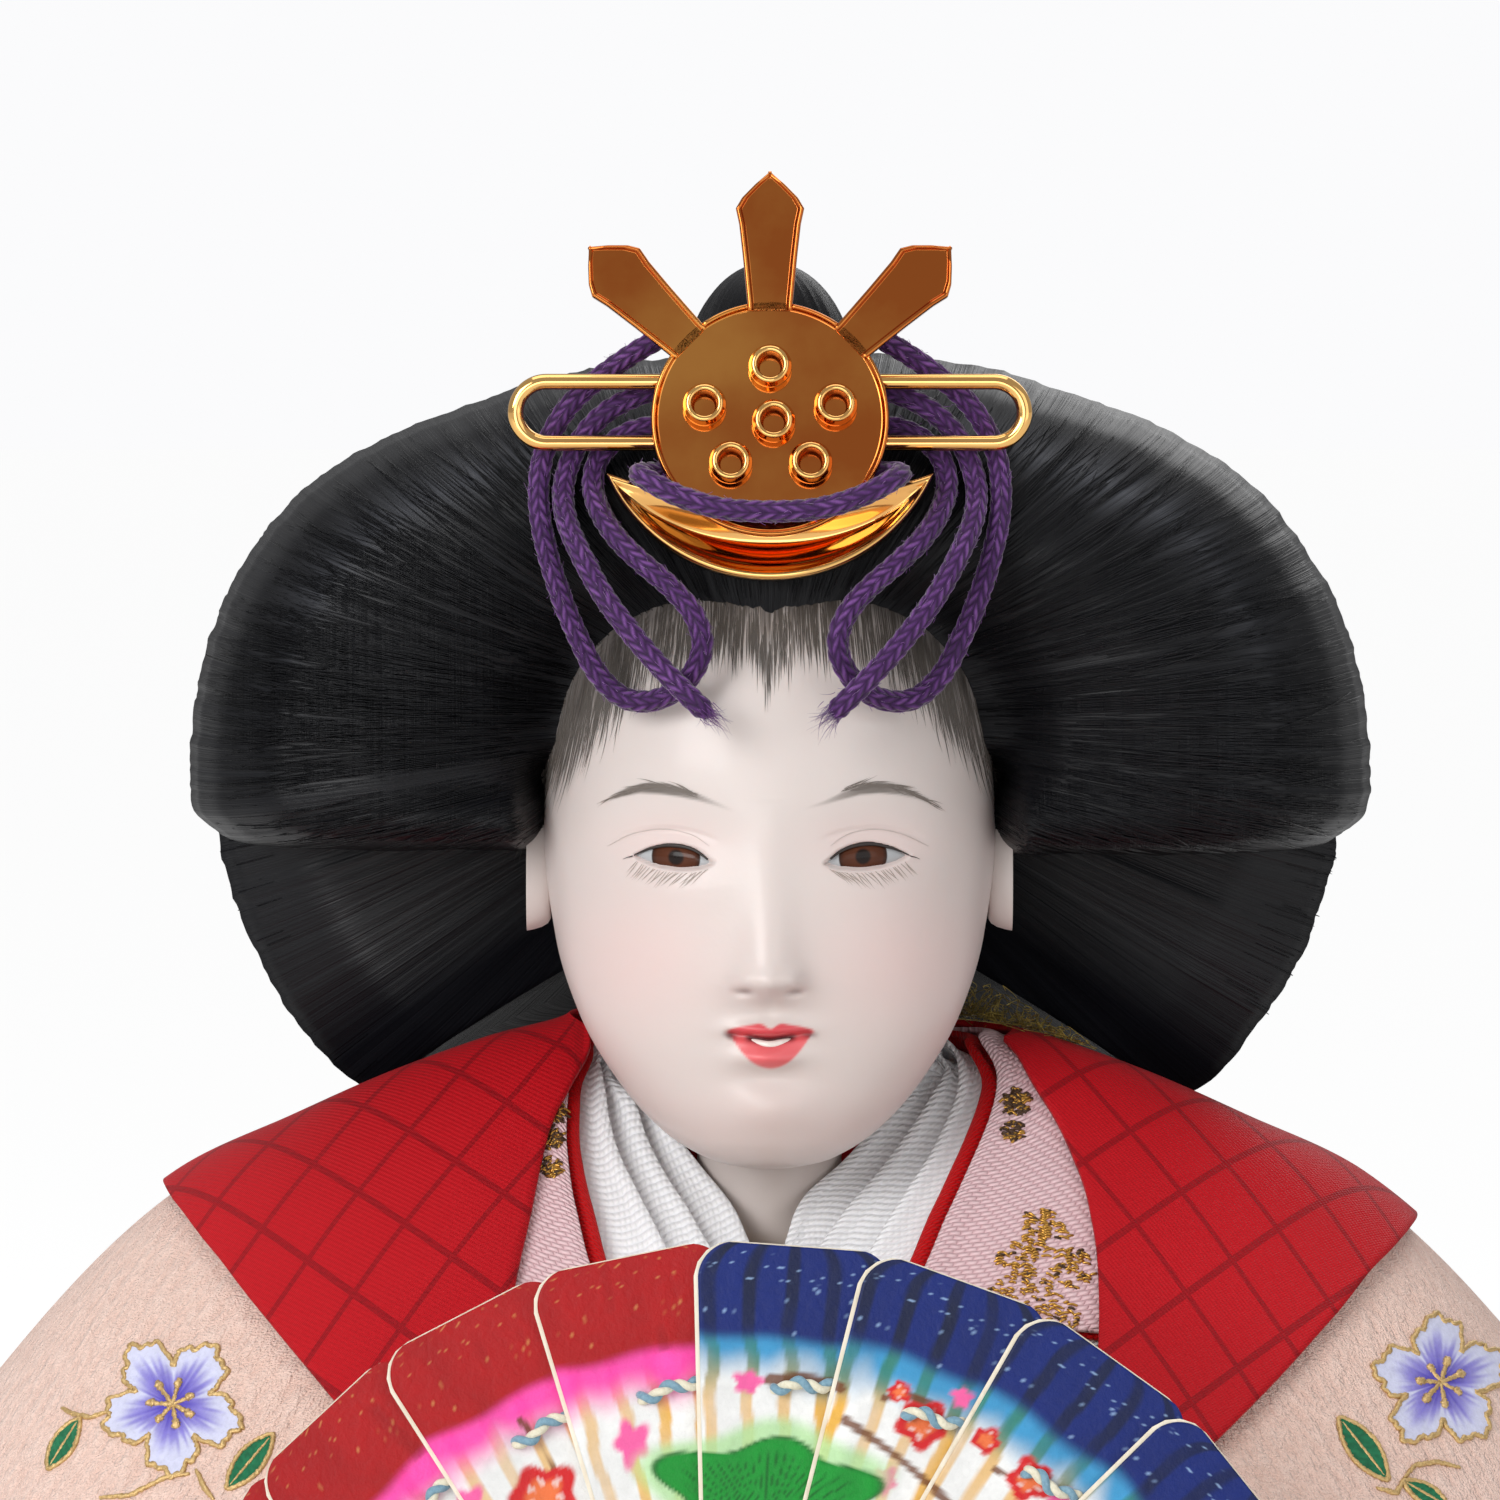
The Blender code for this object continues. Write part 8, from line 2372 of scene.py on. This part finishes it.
def makeStuffing():
    # the lap pad is a closed cushion under the trousers, the arms are wound tubes on their wire
    wool = looseFinish("wound_wool", linear(206, 198, 178), linear(240, 235, 222), 600.0)
    cotton = looseFinish("lap_cotton", linear(208, 196, 164), linear(238, 230, 208), 400.0)
    a = np.linspace(0, 2 * math.pi, 41)[:-1, None]
    s = np.linspace(-1, 1, 81)[None]
    full = np.maximum(np.sqrt(np.clip(1 - np.abs(s) ** 5, 0.0, 1)), 0.02)
    place = stuffing["lapPlace"] + stuffing["lapHalf"] * blunt(np.cos(a)) * full
    soft = 0.0005 * valueNoise(place * 40, s * 20 + 30, 9)
    inset = 8.8 * cloth["step"] + stuffing["lapThick"] / 2 * (1 - blunt(np.sin(a)) * full) + soft
    grid = robePoint(-stuffing["lapTurn"] * s, place, inset)[0]
    rows, columns = grid.shape[:2]
    quads = gridQuads(columns, rows, wrap=True)
    points = grid.transpose(1, 0, 2).reshape(-1, 3)
    k, n, last = np.arange(rows), (np.arange(rows) + 1) % rows, (columns - 1) * rows
    points = np.vstack((points, points[:rows].mean(0), points[last:].mean(0)))
    first, final = np.full(rows, len(points) - 2), np.full(rows, len(points) - 1)
    faces = np.vstack((quads, np.stack((first, n, k, k), -1),
                       np.stack((final, last + k, last + n, last + n), -1)))
    pad = makeMesh("lap_pad", points, faces, None, cotton)
    turnOutward(pad)
    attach(pad, "figure")
    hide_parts("lap_padding")
    size = np.array([robeSize["halfWidth"], robeSize["front"], robeSize["tall"]])
    route = np.vstack((np.array(stuffing["arm"]) * size, stuffing["forearm"], stuffing["wrist"]))
    path = splinePoints(route, 90)
    for side, label in bothSides:
        own = path * (side, 1, 1)
        t = np.linspace(0, 1, len(own))
        radius = stuffing["armRadius"] * (0.985 + 0.015 * np.sin(150 * t))
        points, quads, uv = tubeArrays(own, radius, 28, capEnds=False)
        tube = makeMesh(f"arm_pad_{label}", points, quads, uv, wool)
        turnOutward(tube)
        thicken(tube, stuffing["armWall"])
        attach(tube, "figure")
        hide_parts(f"arm_padding_{label}")
    print("stuffing made")


def turnOutward(piece):
    # turns all faces round where the sum of area * normal . (middle - centre) comes out negative
    mesh = piece.data
    read = {}
    for key, source, width in (("co", mesh.vertices, 3), ("center", mesh.polygons, 3),
                               ("normal", mesh.polygons, 3), ("area", mesh.polygons, 1)):
        read[key] = np.zeros(len(source) * width, np.float32)
        source.foreach_get(key, read[key])
        read[key] = read[key].reshape(-1, width).astype(float)
    if ((read["center"] - read["co"].mean(0)) * read["normal"] * read["area"]).sum() < 0:
        mesh.flip_normals()


def makeInside():
    # finishes of the rigid pieces within: board, straw, wire and stick
    board = looseFinish("board_wood", linear(176, 138, 92), linear(212, 178, 128), 120.0, (0.2, 3, 3))
    straw = looseFinish("bound_straw", linear(186, 156, 92), linear(226, 202, 142), 500.0, (3, 3, 0.1))
    steel = looseFinish("wire_steel", linear(110, 108, 104), linear(160, 158, 152), 900.0)
    stick = looseFinish("stick_wood", linear(196, 164, 118), linear(226, 200, 158), 500.0, (3, 3, 0.15))
    for name, finish in (("base_board", board), ("torso", straw), ("arm_wire", steel),
                         ("neck_stick", stick)):
        refinish(name, finish)
    print("inner finishes made")


# the record's material slot behind each new piece, by the start of its name

slots = {"face": "shell_white", "neck": "shell_white", "ear_": "shell_white", "teeth": "shell_white",
         "brow_": "shell_white", "lid_": "shell_white", "lower_lash": "shell_white", "hairline": "hair_black",
         "eye_": "eye_glass", "hair_wing": "hair_black", "topknot_hair": "hair_black", "tail_hair": "hair_black",
         "crown_": "gilt_brass", "comb_dish": "gilt_brass", "hairpin_": "gilt_brass", "cord_": "cord_silk",
         "jacket_cloth": "jacket_red", "sleeve_": "sleeve_peach", "robe_": "robe_peach", "train_cloth": "train_white",
         "trousers_cloth": "trouser_red", "hem_1": "hem_1", "hem_2": "hem_2", "hem_3": "hem_3",
         "white_collar": "collar_white", "red_collar": "collar_red", "pink_collar": "collar_pink",
         "collar_blossoms": "collar_pink", "tinsel": "gilt_brass", "fan_paint": "fan_white",
         "fan_stitch": "cord_silk", "hand_": "hand_white", "lap_pad": "padding", "arm_pad_": "arm_padding",
         **{f"lining_{label}_{number}": f"lining_{number}" for _, label in bothSides for number in (1, 2, 3, 4)}}


def nameSlots():
    # looks up the slot of the first start that each mesh's name has, and reports the meshes that have none
    for piece in bpy.data.objects:
        if piece.type != "MESH" or "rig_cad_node" in piece or "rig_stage" in piece:
            continue
        found = [slots[start] for start in slots if piece.name.startswith(start)]
        if not found:
            print("no slot for", piece.name)
            continue


makeCamera()
makeStage()
makeRobes()
makeHead()
makeHair()
makeCrown()
makeCords()
makeCollars()
makeEmbroidery()
makeFan()
makeHands()
makeStuffing()
makeInside()
nameSlots()
